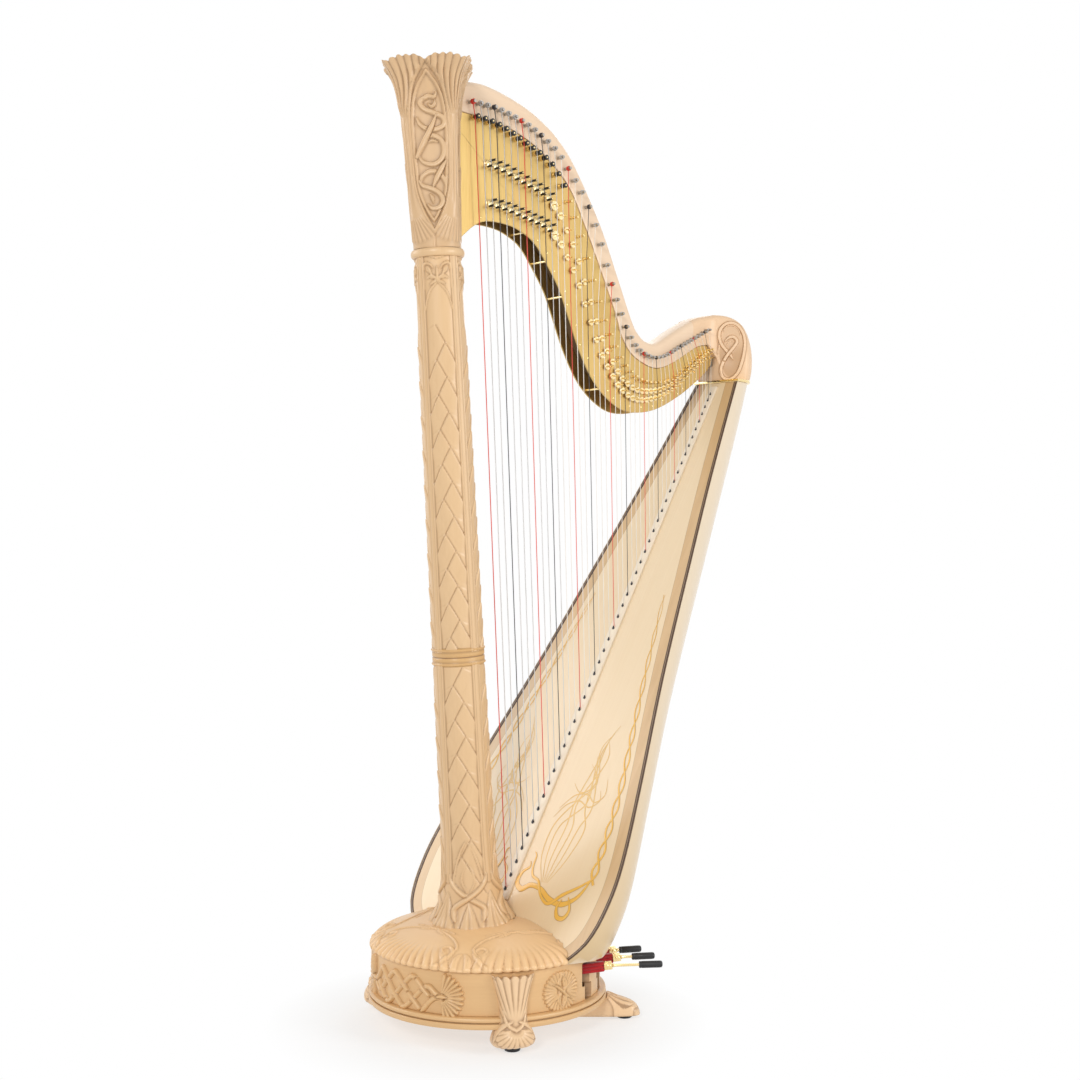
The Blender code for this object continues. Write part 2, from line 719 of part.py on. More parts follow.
def column_shaft():
    low = column_height(DOME_TOP) - 0.008
    band, ring = column_height(BAND_Z), column_height(RING_Z)
    top = column_height(COLUMN_TOP) - GAP
    taper = (COLUMN_RADIUS_HIGH - COLUMN_RADIUS_LOW) / (top - 0.17)

    def radius(height):
        return COLUMN_RADIUS_LOW + taper * (height - 0.17)

    profile = [
        (0.0, top), (RING_RADIUS - 0.0035, top), (RING_RADIUS - 0.001, ring + 0.005),
        (RING_RADIUS, ring), (RING_RADIUS - 0.001, ring - 0.005),
        (RING_RADIUS - 0.0035, ring - RING_DROP), (0.0465, ring - RING_DROP - 0.002),
        (radius(ring - 0.04), ring - 0.040), (radius(band + 0.03), band + BAND_HALF + 0.003),
    ]
    for height, proud in (
        (BAND_HALF, 0.0032), (BAND_HALF - 0.004, 0.0034), (BAND_HALF - 0.007, 0.0015),
        (-BAND_HALF + 0.007, 0.0015), (-BAND_HALF + 0.004, 0.0034), (-BAND_HALF, 0.0032),
    ):
        profile.append((radius(band) + proud, band + height))
    profile += [
        (radius(band - 0.03), band - BAND_HALF - 0.003), (COLUMN_RADIUS_LOW, 0.170),
        (0.0545, 0.095), (0.0605, 0.045), (0.069, 0.020), (COLUMN_FOOT_RADIUS, 0.004),
        (COLUMN_FOOT_RADIUS, low), (0.0, low),
    ]
    mesh = lathe("column_shaft", profile, COLUMN_SIDES)
    shaft = part("column_shaft", mesh, (WOOD, 0.5), COLUMN_FOOT, COLUMN_ROTATION)
    below = box("below_column", (-0.2, -0.2, -0.1), (0.2, 0.2, DOME_TOP + GAP))
    cut(shaft, helper("below_column", below))
    return cut(shaft, BEHIND_SOUNDBOARD)


CAPITAL_SHAPE = (
    (0.0, 0.0460), (0.05, 0.0480), (0.18, 0.0500), (0.44, 0.0550), (0.60, 0.0580), (0.78, 0.0640),
    (0.89, 0.0715), (1.0, 0.0850),
)


def capital_sections(grow=0.0):
    """Rings of a square block with rounded corners that opens into four fluted fans."""
    start = column_height(COLUMN_TOP)
    sections = []
    for share in (0.0, 0.05, 0.18, 0.44, 0.62, 0.78, 0.89, 0.955, 1.0):
        face = smooth_at(CAPITAL_SHAPE, share) + grow
        square = 2.4 + 4.2 * min(1.0, share / 0.25)
        fan = max(0.0, (share - 0.55) / 0.45)
        ring = []
        for i in range(CAPITAL_SIDES):
            turn = 2 * math.pi * (i + 0.5) / CAPITAL_SIDES
            across, up = abs(math.cos(turn - math.pi / 4)), abs(math.sin(turn - math.pi / 4))
            reach = face / (across ** square + up ** square) ** (1 / square)
            ripple = (-1) ** i
            reach *= 1 + FLUTE_DEPTH * fan * ripple
            middle = max(0.0, math.cos(2 * (turn - math.pi / 4)) ** 2 - 0.93) / 0.07
            dip = CAPITAL_NOTCH * middle * share ** 3
            lift = TIP_LIFT * ripple if share == 1.0 else 0.0
            height = start + CAPITAL_HEIGHT * share - dip + lift
            ring.append((reach * math.cos(turn), reach * math.sin(turn), height))
        sections.append(ring)
    return sections


def column_capital():
    sections = capital_sections()
    lip = [(DISH_WIDTH * x, DISH_WIDTH * y, z - CAPITAL_DISH / 2) for x, y, z in sections[-1]]
    low = (0.0, 0.0, column_height(COLUMN_TOP) + CAPITAL_HEIGHT - CAPITAL_DISH)
    mesh = loft("column_capital", [*sections, lip], (None, low))
    return part("column_capital", mesh, (WOOD, 0.5), COLUMN_FOOT, COLUMN_ROTATION)


# Soundbox


def shell_arc(along, inset, count):
    """Points across the soundbox at one place, from its left edge round the back to the right."""
    power = 2 / SHELL_ROUNDNESS
    width = half_width(along) + SHELL_OVERHANG - inset
    depth = smooth_at(SHELL_DEPTH, along) - inset
    front = BOARD_THICKNESS + GAP
    points = []
    for i in range(count + 1):
        turn = math.pi * i / count
        across, down = math.cos(turn), math.sin(turn)
        y = -math.copysign(abs(across) ** power, across) * width
        into = max(down, 0.0) ** power * depth
        points.append((along, y, -max(into, front)))
    return points


def soundbox_shell():
    """Rounded maple body, open in front and below, with oval sound holes down its back."""
    count = 16
    stations = (-0.15, -0.11, -0.06, -0.01, 0.06, 0.15, 0.32, 0.55, 0.80, 1.05, 1.20, 1.34)
    bm = bmesh.new()
    rings = []
    for along in stations:
        outer = shell_arc(along, 0.0, count)
        inner = shell_arc(along, SHELL_WALL, count)
        rings.append([bm.verts.new(point) for point in outer + inner[::-1]])
    around = len(rings[0])
    for lower, upper in zip(rings, rings[1:]):
        for i in range(around):
            j = (i + 1) % around
            bm.faces.new((lower[i], lower[j], upper[j], upper[i]))
    for ring in (rings[0], rings[-1]):
        for i in range(count):
            bm.faces.new((ring[i], ring[i + 1], ring[around - 2 - i], ring[around - 1 - i]))
    mesh = new_mesh(bm, "soundbox_shell")
    shell = part("soundbox_shell", mesh, (PALE_WOOD, 0.35), BOARD_START, BOARD_ROTATION)
    low = box("below_soundbox", (-0.5, -0.5, -0.5), (0.6, 0.5, BOX_LOW))
    high = box("above_soundbox", (0.4, -0.3, COLLAR_LOW - GAP), (1.2, 0.3, 1.8))
    cut(shell, helper("below_soundbox", low))
    cut(shell, helper("above_soundbox", high))
    bm = bmesh.new()
    for along in SOUND_HOLES:
        depth = smooth_at(SHELL_DEPTH, along)
        place = Matrix.Translation((along, 0.0, -depth)) @ Matrix.Diagonal(
            (SOUND_HOLE_HALF_LENGTH, SOUND_HOLE_HALF_WIDTH * (1.15 - 0.3 * along), 0.08, 1.0)
        )
        bmesh.ops.create_cone(
            bm, cap_ends=True, segments=20, radius1=1.0, radius2=1.0, depth=1.0, matrix=place
        )
    holes = helper("sound_holes", new_mesh(bm, "sound_holes"), BOARD_START, BOARD_ROTATION)
    return cut(shell, holes)


def board_stations(low, high, count=26):
    return [low + (high - low) * i / count for i in range(count + 1)]


def soundboard():
    low = board_at_height(BOX_LOW, BOARD_THICKNESS) + GAP
    high = board_at_height(COLLAR_LOW - GAP)
    inset = BINDING_WIDTH / 2 + GAP
    right = [(along, half_width(along) - inset) for along in board_stations(low, high, 22)]
    left = [(along, -width) for along, width in reversed(right)]
    mesh = slab("soundboard", right + left, -BOARD_THICKNESS, 0.0)
    return part("soundboard", mesh, (BOARD_WOOD, 0.35), BOARD_START, BOARD_ROTATION)


def binding(side, sign):
    """Dark strip let into the edge between the soundboard and the shell."""
    name = f"binding_{side}"
    low = board_at_height(BOX_LOW, BOARD_THICKNESS) + GAP
    high = board_at_height(COLLAR_LOW - GAP, -BINDING_PROUD)
    sections = []
    for along in board_stations(low, high, 22):
        width = half_width(along)
        inner, outer = sign * (width - BINDING_WIDTH / 2), sign * (width + BINDING_WIDTH / 2)
        sections.append([
            (along, inner, BINDING_PROUD), (along, outer, BINDING_PROUD),
            (along, outer, -BOARD_THICKNESS), (along, inner, -BOARD_THICKNESS),
        ])
    return part(name, loft(name, sections), (DARK_WOOD, 0.4), BOARD_START, BOARD_ROTATION)


def string_rib():
    """Rib down the middle of the soundboard with the strings rising from it."""
    high = eyelet_along(STRINGS - 1) + 0.022
    low_half, high_half = RIB_HALF_WIDTH_BASS, RIB_HALF_WIDTH_TREBLE
    outline = [
        (RIB_LOW_END, -low_half), (high, -high_half), (high, high_half), (RIB_LOW_END, low_half),
    ]
    mesh = slab("string_rib", outline, GAP, GAP + RIB_THICKNESS)
    rib = part("string_rib", mesh, (PALE_WOOD, 0.4), BOARD_START, BOARD_ROTATION)
    bm = bmesh.new()
    for index in range(STRINGS):
        add_string(bm, index)
    return join(rib, helper("strings", new_mesh(bm, "strings")))


def add_string(bm, index):
    """One string, from the rib past its bridge pin to its tuning pin."""
    low, bridge, pin = string_ends(index)
    radius = string_radius(index)
    away = Vector((bridge[0] - pin[0], 0.0, bridge[1] - pin[1]))
    away.normalize()
    stop = TUNING_PIN_RADIUS + 2 * GAP
    top = (pin[0] + away.x * stop, pin[1] + away.z * stop)
    sections = []
    for x, z in (low, bridge, top):
        turns = [2 * math.pi * (i + 0.5) / STRING_SIDES for i in range(STRING_SIDES)]
        sections.append([(x + radius * math.cos(t), radius * math.sin(t), z) for t in turns])
    add_skin(bm, sections)


# Shoulder and neck


def collar_outline(ledge):
    """The soundbox's outline at its level top, so much wider all round."""
    front = board_point(board_at_height(COLLAR_LOW)).x - ledge
    along = board_at_height(COLLAR_LOW, 0.04)
    width = half_width(board_at_height(COLLAR_LOW)) + SHELL_OVERHANG + ledge
    depth = smooth_at(SHELL_DEPTH, along) / math.sin(BOARD_SLOPE) + 2 * ledge
    points = []
    count = 14
    for i in range(count + 1):
        turn = math.pi * i / count
        across = math.cos(turn)
        y = math.copysign(abs(across) ** (2 / SHELL_ROUNDNESS), across) * width
        points.append((front + max(math.sin(turn), 0.0) ** (2 / SHELL_ROUNDNESS) * depth, y))
    return points


def shoulder_collar():
    mesh = slab("shoulder_collar", collar_outline(COLLAR_LEDGE), COLLAR_LOW,
                COLLAR_LOW + COLLAR_THICKNESS)
    return part("shoulder_collar", mesh, (BRASS, 0.3, 1.0))


def shoulder_block():
    """Rounded block on the collar, flat in front where the neck meets it."""
    low = COLLAR_LOW + COLLAR_THICKNESS + GAP
    count = 20
    power = 2 / SHOULDER_ROUNDNESS
    sections = []
    for height, left, right, depth in SHOULDER_SHAPE:
        ring = []
        for i in range(count + 1):
            turn = math.pi * i / count
            across = math.cos(turn)
            y = math.copysign(abs(across) ** power, across) * (right if across > 0 else left)
            x = SHOULDER_FRONT + max(math.sin(turn), 0.0) ** power * depth
            ring.append((x, y, low + height))
        sections.append(ring)
    return part("shoulder_block", loft("shoulder_block", sections), (WOOD, 0.5))


def neck():
    """Wooden neck: a core between the action plates and a wider band above them."""
    top = smooth_line(NECK_TOP, 2)
    core_outline = top + smooth_line(NECK_LOW, 2)[::-1]
    end = NECK_TOP[-1][0] - GAP
    core_outline = [(min(x, end), z) for x, z in core_outline]
    core = upright_slab("neck", core_outline, PLATE_BACK + GAP, RIGHT_PLATE - GAP)
    body = part("neck", core, (PALE_WOOD, 0.45))
    lower = [(x, z + 2 * GAP) for x, z in smooth_line(PLATE_TOP, 2)]
    lower.append((end, PLATE_TOP[-1][1] + 0.002))
    band_outline = [(min(x, end), z) for x, z in top] + lower[::-1]
    band = upright_slab("neck_band", band_outline, BAND_LEFT, NECK_RIGHT_BAND)
    join(body, helper("neck_band", band))
    bm = bmesh.new()
    for index in range(STRINGS):
        _, _, (x, z) = string_ends(index)
        right, left = NECK_RIGHT_BAND + TUNING_PIN_RIGHT, BAND_LEFT - TUNING_PIN_LEFT
        add_pin(bm, x, z, right, left, TUNING_PIN_RADIUS, 5)
    join(body, helper("tuning_pins", new_mesh(bm, "tuning_pins")))
    return cut(body, CAPITAL_SPACE)


def capital_space():
    """The capital, a gap wider and closed over, which the neck and the plates leave free."""
    high = (0.0, 0.0, column_height(COLUMN_TOP) + CAPITAL_HEIGHT + CAPITAL_DISH)
    mesh = loft("capital_space", capital_sections(2 * GAP), (None, high))
    return helper("capital_space", mesh, COLUMN_FOOT, COLUMN_ROTATION)


# Action


def plate_outline(start):
    """Both plates' outline, from a straight bass end at x = start."""
    top = [point for point in smooth_line(PLATE_TOP, 2) if point[0] > start + GAP]
    low = [point for point in smooth_line(PLATE_LOW, 2) if point[0] > start + GAP]
    ends = [(start, smooth_at(PLATE_LOW, start)), (start, smooth_at(PLATE_TOP, start))]
    return ends + top + list(PLATE_END) + low[::-1]


def prong_radius(radius):
    return min(PRONG_RADIUS, 0.2 * radius)


def action_plate_left():
    """Brass plate with its bridge pins and the discs that keep still here."""
    outline = plate_outline(LEFT_PLATE_START)
    mesh = upright_slab("action_plate_left", outline, PLATE_LEFT, PLATE_BACK)
    plate = part("action_plate_left", mesh, (BRASS, 0.3, 1.0))
    bm = bmesh.new()
    for index in range(STRINGS):
        x, z, radius = bridge_pin(index)
        sides = 8 if index < ROLLERS else 5
        add_pin(bm, x, z, PLATE_LEFT + SET_IN, BRIDGE_PIN_TIP_Y, radius, sides)
    join(plate, helper("bridge_pins", new_mesh(bm, "bridge_pins")))
    still = bmesh.new()
    prongs = bmesh.new()
    for index in range(DISC_STRINGS_FROM, STRINGS):
        if index in MOVING_DISCS.values():
            continue
        for semitones in (1, 2):
            x, z, radius = disc_place(index, semitones)
            add_still_disc(still, prongs, index, x, z, radius)
    join(plate, helper("still_discs", new_mesh(still, "still_discs")))
    join(plate, helper("disc_prongs", new_mesh(prongs, "disc_prongs")))
    bm = bmesh.new()
    for index in MOVING_DISCS.values():
        for semitones in (1, 2):
            x, z, _ = disc_place(index, semitones)
            bore = DISC_AXLE_RADIUS + PIN_CLEARANCE
            add_pin(bm, x, z, PLATE_BACK + 0.002, PLATE_LEFT - 0.002, bore, 8)
    cut(plate, helper("disc_bores", new_mesh(bm, "disc_bores")))
    return cut(plate, CAPITAL_SPACE)


def add_still_disc(discs, prongs, index, x, z, radius):
    fork = index < FORKS
    size = 0.72 * radius if fork else radius
    sides = 8 if index < 21 else 6
    tip = PIN_TIP_Y - 0.005 if fork else PIN_TIP_Y
    add_pin(discs, x, z, PLATE_LEFT + SET_IN, DISC_FRONT_Y, size, sides, 0.8 * size)
    for sign in (-1, 1):
        centre = x + sign * min(PRONG_REACH * radius, 0.72 * size)
        start = DISC_FRONT_Y + SET_IN
        add_pin(prongs, centre, z, start, tip, prong_radius(radius), 4 if fork else 3)


def action_plate_right():
    """Brass plate on the far side, with the posts that hold the two plates apart."""
    outline = plate_outline(RIGHT_PLATE_START)
    mesh = upright_slab("action_plate_right", outline, RIGHT_PLATE, RIGHT_PLATE + PLATE_THICKNESS)
    plate = part("action_plate_right", mesh, (BRASS, 0.3, 1.0))
    bm = bmesh.new()
    for x in SPACERS_X:
        z = smooth_at(PLATE_LOW, x) + SPACER_RISE
        add_pin(bm, x, z, RIGHT_PLATE + SET_IN, PLATE_BACK + GAP, SPACER_RADIUS, 8)
    join(plate, helper("spacers", new_mesh(bm, "spacers")))
    return cut(plate, CAPITAL_SPACE)


def moving_disc(note, semitones):
    """A disc on its own axle through the left plate."""
    index = MOVING_DISCS[note]
    x, z, radius = disc_place(index, semitones)
    name = f"disc_{'upper' if semitones == 1 else 'lower'}_{note}"
    bm = bmesh.new()
    add_pin(bm, 0.0, 0.0, DISC_FRONT_Y + DISC_THICKNESS, DISC_FRONT_Y, radius, 12)
    disc = part(name, new_mesh(bm, name), (BRASS, 0.25, 1.0), (x, 0.0, z))
    bm = bmesh.new()
    inside = DISC_FRONT_Y + DISC_THICKNESS / 2
    add_pin(bm, 0.0, 0.0, PLATE_BACK, inside, DISC_AXLE_RADIUS, 8)
    for sign in (-1, 1):
        centre = sign * PRONG_REACH * radius
        add_pin(bm, centre, 0.0, inside, PIN_TIP_Y, prong_radius(radius), 5)
    join(disc, helper(f"{name}_pins", new_mesh(bm, f"{name}_pins"), (x, 0.0, z)))
    return disc


# Pedals


def wall_point(pedal):
    """Where the middle of a pedal's slot meets the drum's outside."""
    turn = math.radians(pedal[1])
    return BASE_CENTRE_X + DRUM_RADIUS * math.cos(turn), DRUM_RADIUS * math.sin(turn)


def pivot_to_wall(pedal):
    """Level distance from a pedal's pivot, on the bracket's circle, to the drum's outside."""
    x, y = wall_point(pedal)
    x -= BRACKET_CENTRE_X
    turn = math.radians(pedal[2])
    along = x * math.cos(turn) + y * math.sin(turn)
    return along - math.sqrt(along ** 2 - x * x - y * y + BRACKET_RADIUS ** 2)


def pedal_point(pedal, reach, z):
    """A point at a level distance from the pedal's pivot along its arm."""
    x, y = wall_point(pedal)
    turn = math.radians(pedal[2])
    reach -= pivot_to_wall(pedal)
    return x + reach * math.cos(turn), y + reach * math.sin(turn), z


def hinge_distance(pedal):
    """From the arm's pivot to the hinge of its folding foot."""
    return (pivot_to_wall(pedal) + pedal[3]) / math.cos(PEDAL_TILT)


def pedal_arm(pedal):
    """Lever with trunnions at its pivot, a felt sleeve in the slot and a forked hinge block."""
    name = f"pedal_arm_{pedal[0]}"
    hinge = hinge_distance(pedal)
    wall = pivot_to_wall(pedal)
    half, tall = ARM_WIDTH / 2, ARM_HEIGHT / 2
    mesh = box(name, (0.0, -half, -tall), (hinge - HINGE_BLOCK_BACK + 0.001, half, tall))
    origin = pedal_point(pedal, 0.0, PEDAL_PIVOT_Z)
    rotation = (0.0, -PEDAL_TILT, math.radians(pedal[2]))
    arm = part(name, mesh, (BRASS, 0.35, 1.0), origin, rotation)
    bm = bmesh.new()
    add_rod(bm, (0.0, -half - 0.0001, 0.0), (0.0, half + 0.0001, 0.0), 0.0085, 12)
    add_rod(bm, (0.0, -TRUNNION_HALF, 0.0), (0.0, TRUNNION_HALF, 0.0), TRUNNION_RADIUS, 8)
    join(arm, helper(f"{name}_eye", new_mesh(bm, f"{name}_eye"), origin, rotation))
    bm = bmesh.new()
    wide, high = FELT_WIDTH / 2, FELT_HEIGHT / 2
    felt_end = hinge - HINGE_BLOCK_BACK + 0.001
    add_box(bm, (wall - FELT_INSIDE, -wide, -high), (felt_end, wide, high))
    wide, high = HINGE_BLOCK_WIDTH / 2, HINGE_BLOCK_HEIGHT / 2
    add_box(bm, (hinge - HINGE_BLOCK_BACK, -wide, -high), (hinge + 0.0065, wide, high))
    join(arm, helper(f"{name}_blocks", new_mesh(bm, f"{name}_blocks"), origin, rotation))
    bm = bmesh.new()
    slot = KNUCKLE_WIDTH / 2 + SWING_CLEARANCE
    add_box(bm, (hinge - KNUCKLE_RADIUS - 0.0008, -slot, -0.02), (hinge + 0.02, slot, 0.02))
    bore = HINGE_PIN_RADIUS + PIN_CLEARANCE
    add_rod(bm, (hinge, -0.02, 0.0), (hinge, 0.02, 0.0), bore, 8)
    cut(arm, helper(f"{name}_fork", new_mesh(bm, f"{name}_fork"), origin, rotation))
    return arm


def pedal_foot(pedal):
    """Folding outer end: knuckle, hinge pin and rod."""
    name = f"pedal_foot_{pedal[0]}"
    length = pedal[4]
    half = KNUCKLE_WIDTH / 2
    bm = bmesh.new()
    add_rod(bm, (0.0, -half, 0.0), (0.0, half, 0.0), KNUCKLE_RADIUS, 12)
    origin = foot_origin(pedal)
    rotation = (0.0, -PEDAL_TILT - FOOT_TILT, math.radians(pedal[2]))
    foot = part(name, new_mesh(bm, name), (BRASS, 0.3, 1.0), origin, rotation)
    bm = bmesh.new()
    pin = HINGE_BLOCK_WIDTH / 2 - 0.0005
    add_rod(bm, (0.0, -pin, 0.0), (0.0, pin, 0.0), HINGE_PIN_RADIUS, 8)
    add_rod(bm, (0.002, 0.0, 0.0), (length - 0.006, 0.0, 0.0), FOOT_ROD_RADIUS - 0.0003, 8)
    return join(foot, helper(f"{name}_rods", new_mesh(bm, f"{name}_rods"), origin, rotation))


def foot_origin(pedal):
    hinge = hinge_distance(pedal)
    height = PEDAL_PIVOT_Z + hinge * math.sin(PEDAL_TILT)
    return pedal_point(pedal, hinge * math.cos(PEDAL_TILT), height)


def pedal_pad(pedal):
    """Rubber sleeve pushed over the rod's end."""
    name = f"pedal_pad_{pedal[0]}"
    length = pedal[4]
    bore = FOOT_ROD_RADIUS
    start, end = length - SLEEVE_LENGTH, length
    profile = [
        (0.0, end), (SLEEVE_RADIUS - 0.0015, end), (SLEEVE_RADIUS, end - 0.0015),
        (SLEEVE_RADIUS, start + 0.0006), (SLEEVE_RADIUS - 0.0006, start), (bore, start),
        (bore, end - 0.006 + GAP), (0.0, end - 0.006 + GAP),
    ]
    mesh = lathe(name, profile, 10)
    mesh.transform(Matrix.Rotation(math.radians(90), 4, "Y"))
    rotation = (0.0, -PEDAL_TILT - FOOT_TILT, math.radians(pedal[2]))
    return round_shading(part(name, mesh, (BLACK_RUBBER, 0.6), foot_origin(pedal), rotation))


def pedal_bracket():
    """Curved bar on the floor board with a fork for each pedal arm."""
    inner, outer = BRACKET_RADIUS - BRACKET_HALF_DEPTH, BRACKET_RADIUS + BRACKET_HALF_DEPTH
    x, y, _ = pedal_point(PEDALS[-1], 0.0, 0.0)
    end = math.atan2(y, x - BRACKET_CENTRE_X) + BRACKET_END / BRACKET_RADIUS
    count = 16
    turns = [-end + 2 * end * i / count for i in range(count + 1)]
    outline = [(outer * math.cos(turn), outer * math.sin(turn)) for turn in turns]
    outline += [(inner * math.cos(turn), inner * math.sin(turn)) for turn in reversed(turns)]
    mesh = slab("pedal_bracket", outline, FLOOR_HIGH + GAP, BRACKET_TOP)
    bracket = part("pedal_bracket", mesh, (STEEL, 0.5, 0.6), (BRACKET_CENTRE_X, 0.0, 0.0))
    for pedal in PEDALS:
        name = f"fork_{pedal[0]}"
        bm = bmesh.new()
        half = ARM_WIDTH / 2 + SWING_CLEARANCE
        reach = 2 * BRACKET_HALF_DEPTH
        add_box(bm, (-reach, -half, BRACKET_FORK_LOW), (reach, half, BRACKET_TOP + 0.01))
        bore, end = TRUNNION_RADIUS + PIN_CLEARANCE, TRUNNION_HALF + PIN_CLEARANCE
        add_rod(bm, (0.0, -end, PEDAL_PIVOT_Z), (0.0, end, PEDAL_PIVOT_Z), bore, 8)
        place = pedal_point(pedal, 0.0, 0.0)
        cut(bracket, helper(name, new_mesh(bm, name), place, (0.0, 0.0, math.radians(pedal[2]))))
    return bracket


CAPITAL_SPACE = capital_space()
BASE_HOLLOW = base_hollow()
BEHIND_SOUNDBOARD = behind_soundboard()


def build():
    base_floor()
    base_drum()
    base_dome()
    feet()
    column_shaft()
    column_capital()
    soundbox_shell()
    soundboard()
    binding("left", -1)
    binding("right", 1)
    string_rib()
    shoulder_collar()
    shoulder_block()
    neck()
    action_plate_left()
    action_plate_right()
    for note in MOVING_DISCS:
        moving_disc(note, 1)
        moving_disc(note, 2)
    pedal_bracket()
    for pedal in PEDALS:
        pedal_arm(pedal)
        pedal_foot(pedal)
        pedal_pad(pedal)


build()
bpy.context.view_layer.update()
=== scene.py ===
"""Looks of a concert pedal harp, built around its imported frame.

Metres, +Z up. Shapes are drawn from the column's axis at its foot, with +X towards the player, -Y to
the harp's left side and the strings in the plane y = 0. FRAME_X moves them into the frame.
"""

import math

import bmesh
import bpy
import numpy as np
from mathutils import Matrix, Vector


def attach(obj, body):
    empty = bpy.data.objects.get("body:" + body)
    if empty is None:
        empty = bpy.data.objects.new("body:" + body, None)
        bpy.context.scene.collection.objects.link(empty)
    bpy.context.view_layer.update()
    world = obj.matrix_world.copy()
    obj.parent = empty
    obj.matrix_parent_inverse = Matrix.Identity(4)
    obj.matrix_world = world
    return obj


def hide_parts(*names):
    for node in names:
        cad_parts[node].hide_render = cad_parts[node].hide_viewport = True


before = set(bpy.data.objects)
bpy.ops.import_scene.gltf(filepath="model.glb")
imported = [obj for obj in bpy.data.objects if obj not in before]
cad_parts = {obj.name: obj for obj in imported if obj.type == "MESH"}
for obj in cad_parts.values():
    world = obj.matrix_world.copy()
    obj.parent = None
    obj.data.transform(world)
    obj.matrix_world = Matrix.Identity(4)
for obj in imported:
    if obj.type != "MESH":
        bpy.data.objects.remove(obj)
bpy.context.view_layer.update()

# Places and sizes, the same as the frame's

FRAME_X = 0.3140
BASE_X = 0.0417
FLOOR_LOW, FLOOR_HIGH = 0.043, 0.065
DRUM_RADIUS, DRUM_TOP, DRUM_WALL = 0.2232, 0.146, 0.012
FLOOR_RADIUS = DRUM_RADIUS + 0.0124
DOME_RADIUS = DRUM_RADIUS + 0.0100
DOME_TOP = 0.203
DOME_FALL = 0.052
DOME_SHAPE = (
    (0.0, 0.0), (0.38, 0.0), (0.53, 0.10), (0.70, 0.27), (0.85, 0.51), (0.94, 0.74), (1.0, 1.0),
)
COLUMN_LEAN = math.radians(3.9)
COLUMN_TOP, BAND_Z, RING_Z = 1.506, 0.7215, 1.4975
SHAFT_LOW, SHAFT_HIGH = 0.051, 0.0445
CAPITAL_HEIGHT = 0.354
BOARD_SLOPE = math.radians(58.22)
BOARD_START = np.array([0.0933, 0.0, 0.2435])
BOARD_THICKNESS = 0.005
BINDING_WIDTH = 0.008
SHELL_WALL, SHELL_OVERHANG, SHELL_ROUNDNESS = 0.012, 0.006, 2.2
BOARD_HALF_WIDTH = (
    (-0.16, 0.165), (-0.11, 0.221), (-0.06, 0.258), (0.02, 0.2725), (0.10, 0.268),
    (0.25, 0.239), (0.50, 0.184), (0.75, 0.138), (1.00, 0.094), (1.36, 0.040),
)
SHELL_DEPTH = (
    (-0.16, 0.170), (0.0, 0.158), (0.15, 0.134), (0.35, 0.119), (0.60, 0.115),
    (0.90, 0.106), (1.15, 0.088), (1.36, 0.060),
)
SOUND_HOLES = (0.26, 0.50, 0.74, 0.98)
COLLAR_LOW, COLLAR_THICKNESS = 1.308, 0.006
SHOULDER_FRONT, SHOULDER_ROUNDNESS = 0.757, 2.6
SHOULDER_SHAPE = (
    (0.0, 0.053, 0.058, 0.085), (0.021, 0.055, 0.061, 0.091), (0.051, 0.056, 0.064, 0.093),
    (0.081, 0.054, 0.064, 0.089), (0.106, 0.050, 0.062, 0.080), (0.126, 0.044, 0.058, 0.065),
    (0.140, 0.036, 0.052, 0.047), (0.149, 0.028, 0.046, 0.029), (0.1525, 0.020, 0.040, 0.014),
)
STRINGS = 47
EYELET_PITCH, EYELET_PITCH_FALL, TREBLE_CROWDING = 0.02935, 0.0032, 0.0100
RIB_THICKNESS = 0.004
STRING_LEAN, STRING_LEAN_FADE = math.radians(3.1), 1.4
BAND_LEFT, PLATE_LEFT, PLATE_THICKNESS = 0.010, 0.012, 0.003
PLATE_BACK = PLATE_LEFT + PLATE_THICKNESS
RIGHT_PLATE = PLATE_BACK + 0.044
NECK_RIGHT = 0.064
ROLLERS, FORKS, DISC_STRINGS_FROM = 14, 12, 2
MOVING_DISCS = {"C": 14, "D": 15, "E": 16, "F": 17, "G": 18, "A": 19, "B": 20}
SPACERS_X = (0.165, 0.222, 0.268, 0.385)
PEDALS = (
    ("D", -73.3, -41.0, 0.041, 0.104), ("C", -56.3, -37.0, 0.037, 0.075),
    ("B", -42.0, -33.5, 0.027, 0.058), ("E", 28.0, 24.0, 0.027, 0.058),
    ("F", 42.0, 33.5, 0.027, 0.058), ("G", 56.3, 37.0, 0.037, 0.075),
    ("A", 73.3, 41.0, 0.041, 0.104),
)
BRACKET_X, BRACKET_RADIUS = 0.0085, 0.1405
PEDAL_PIVOT_Z, PEDAL_TILT, FOOT_TILT = 0.113, math.radians(6.0), math.radians(-5.2)
FRONT_FOOT_ANGLE, REAR_FOOT_ANGLE = 120.0, 45.0

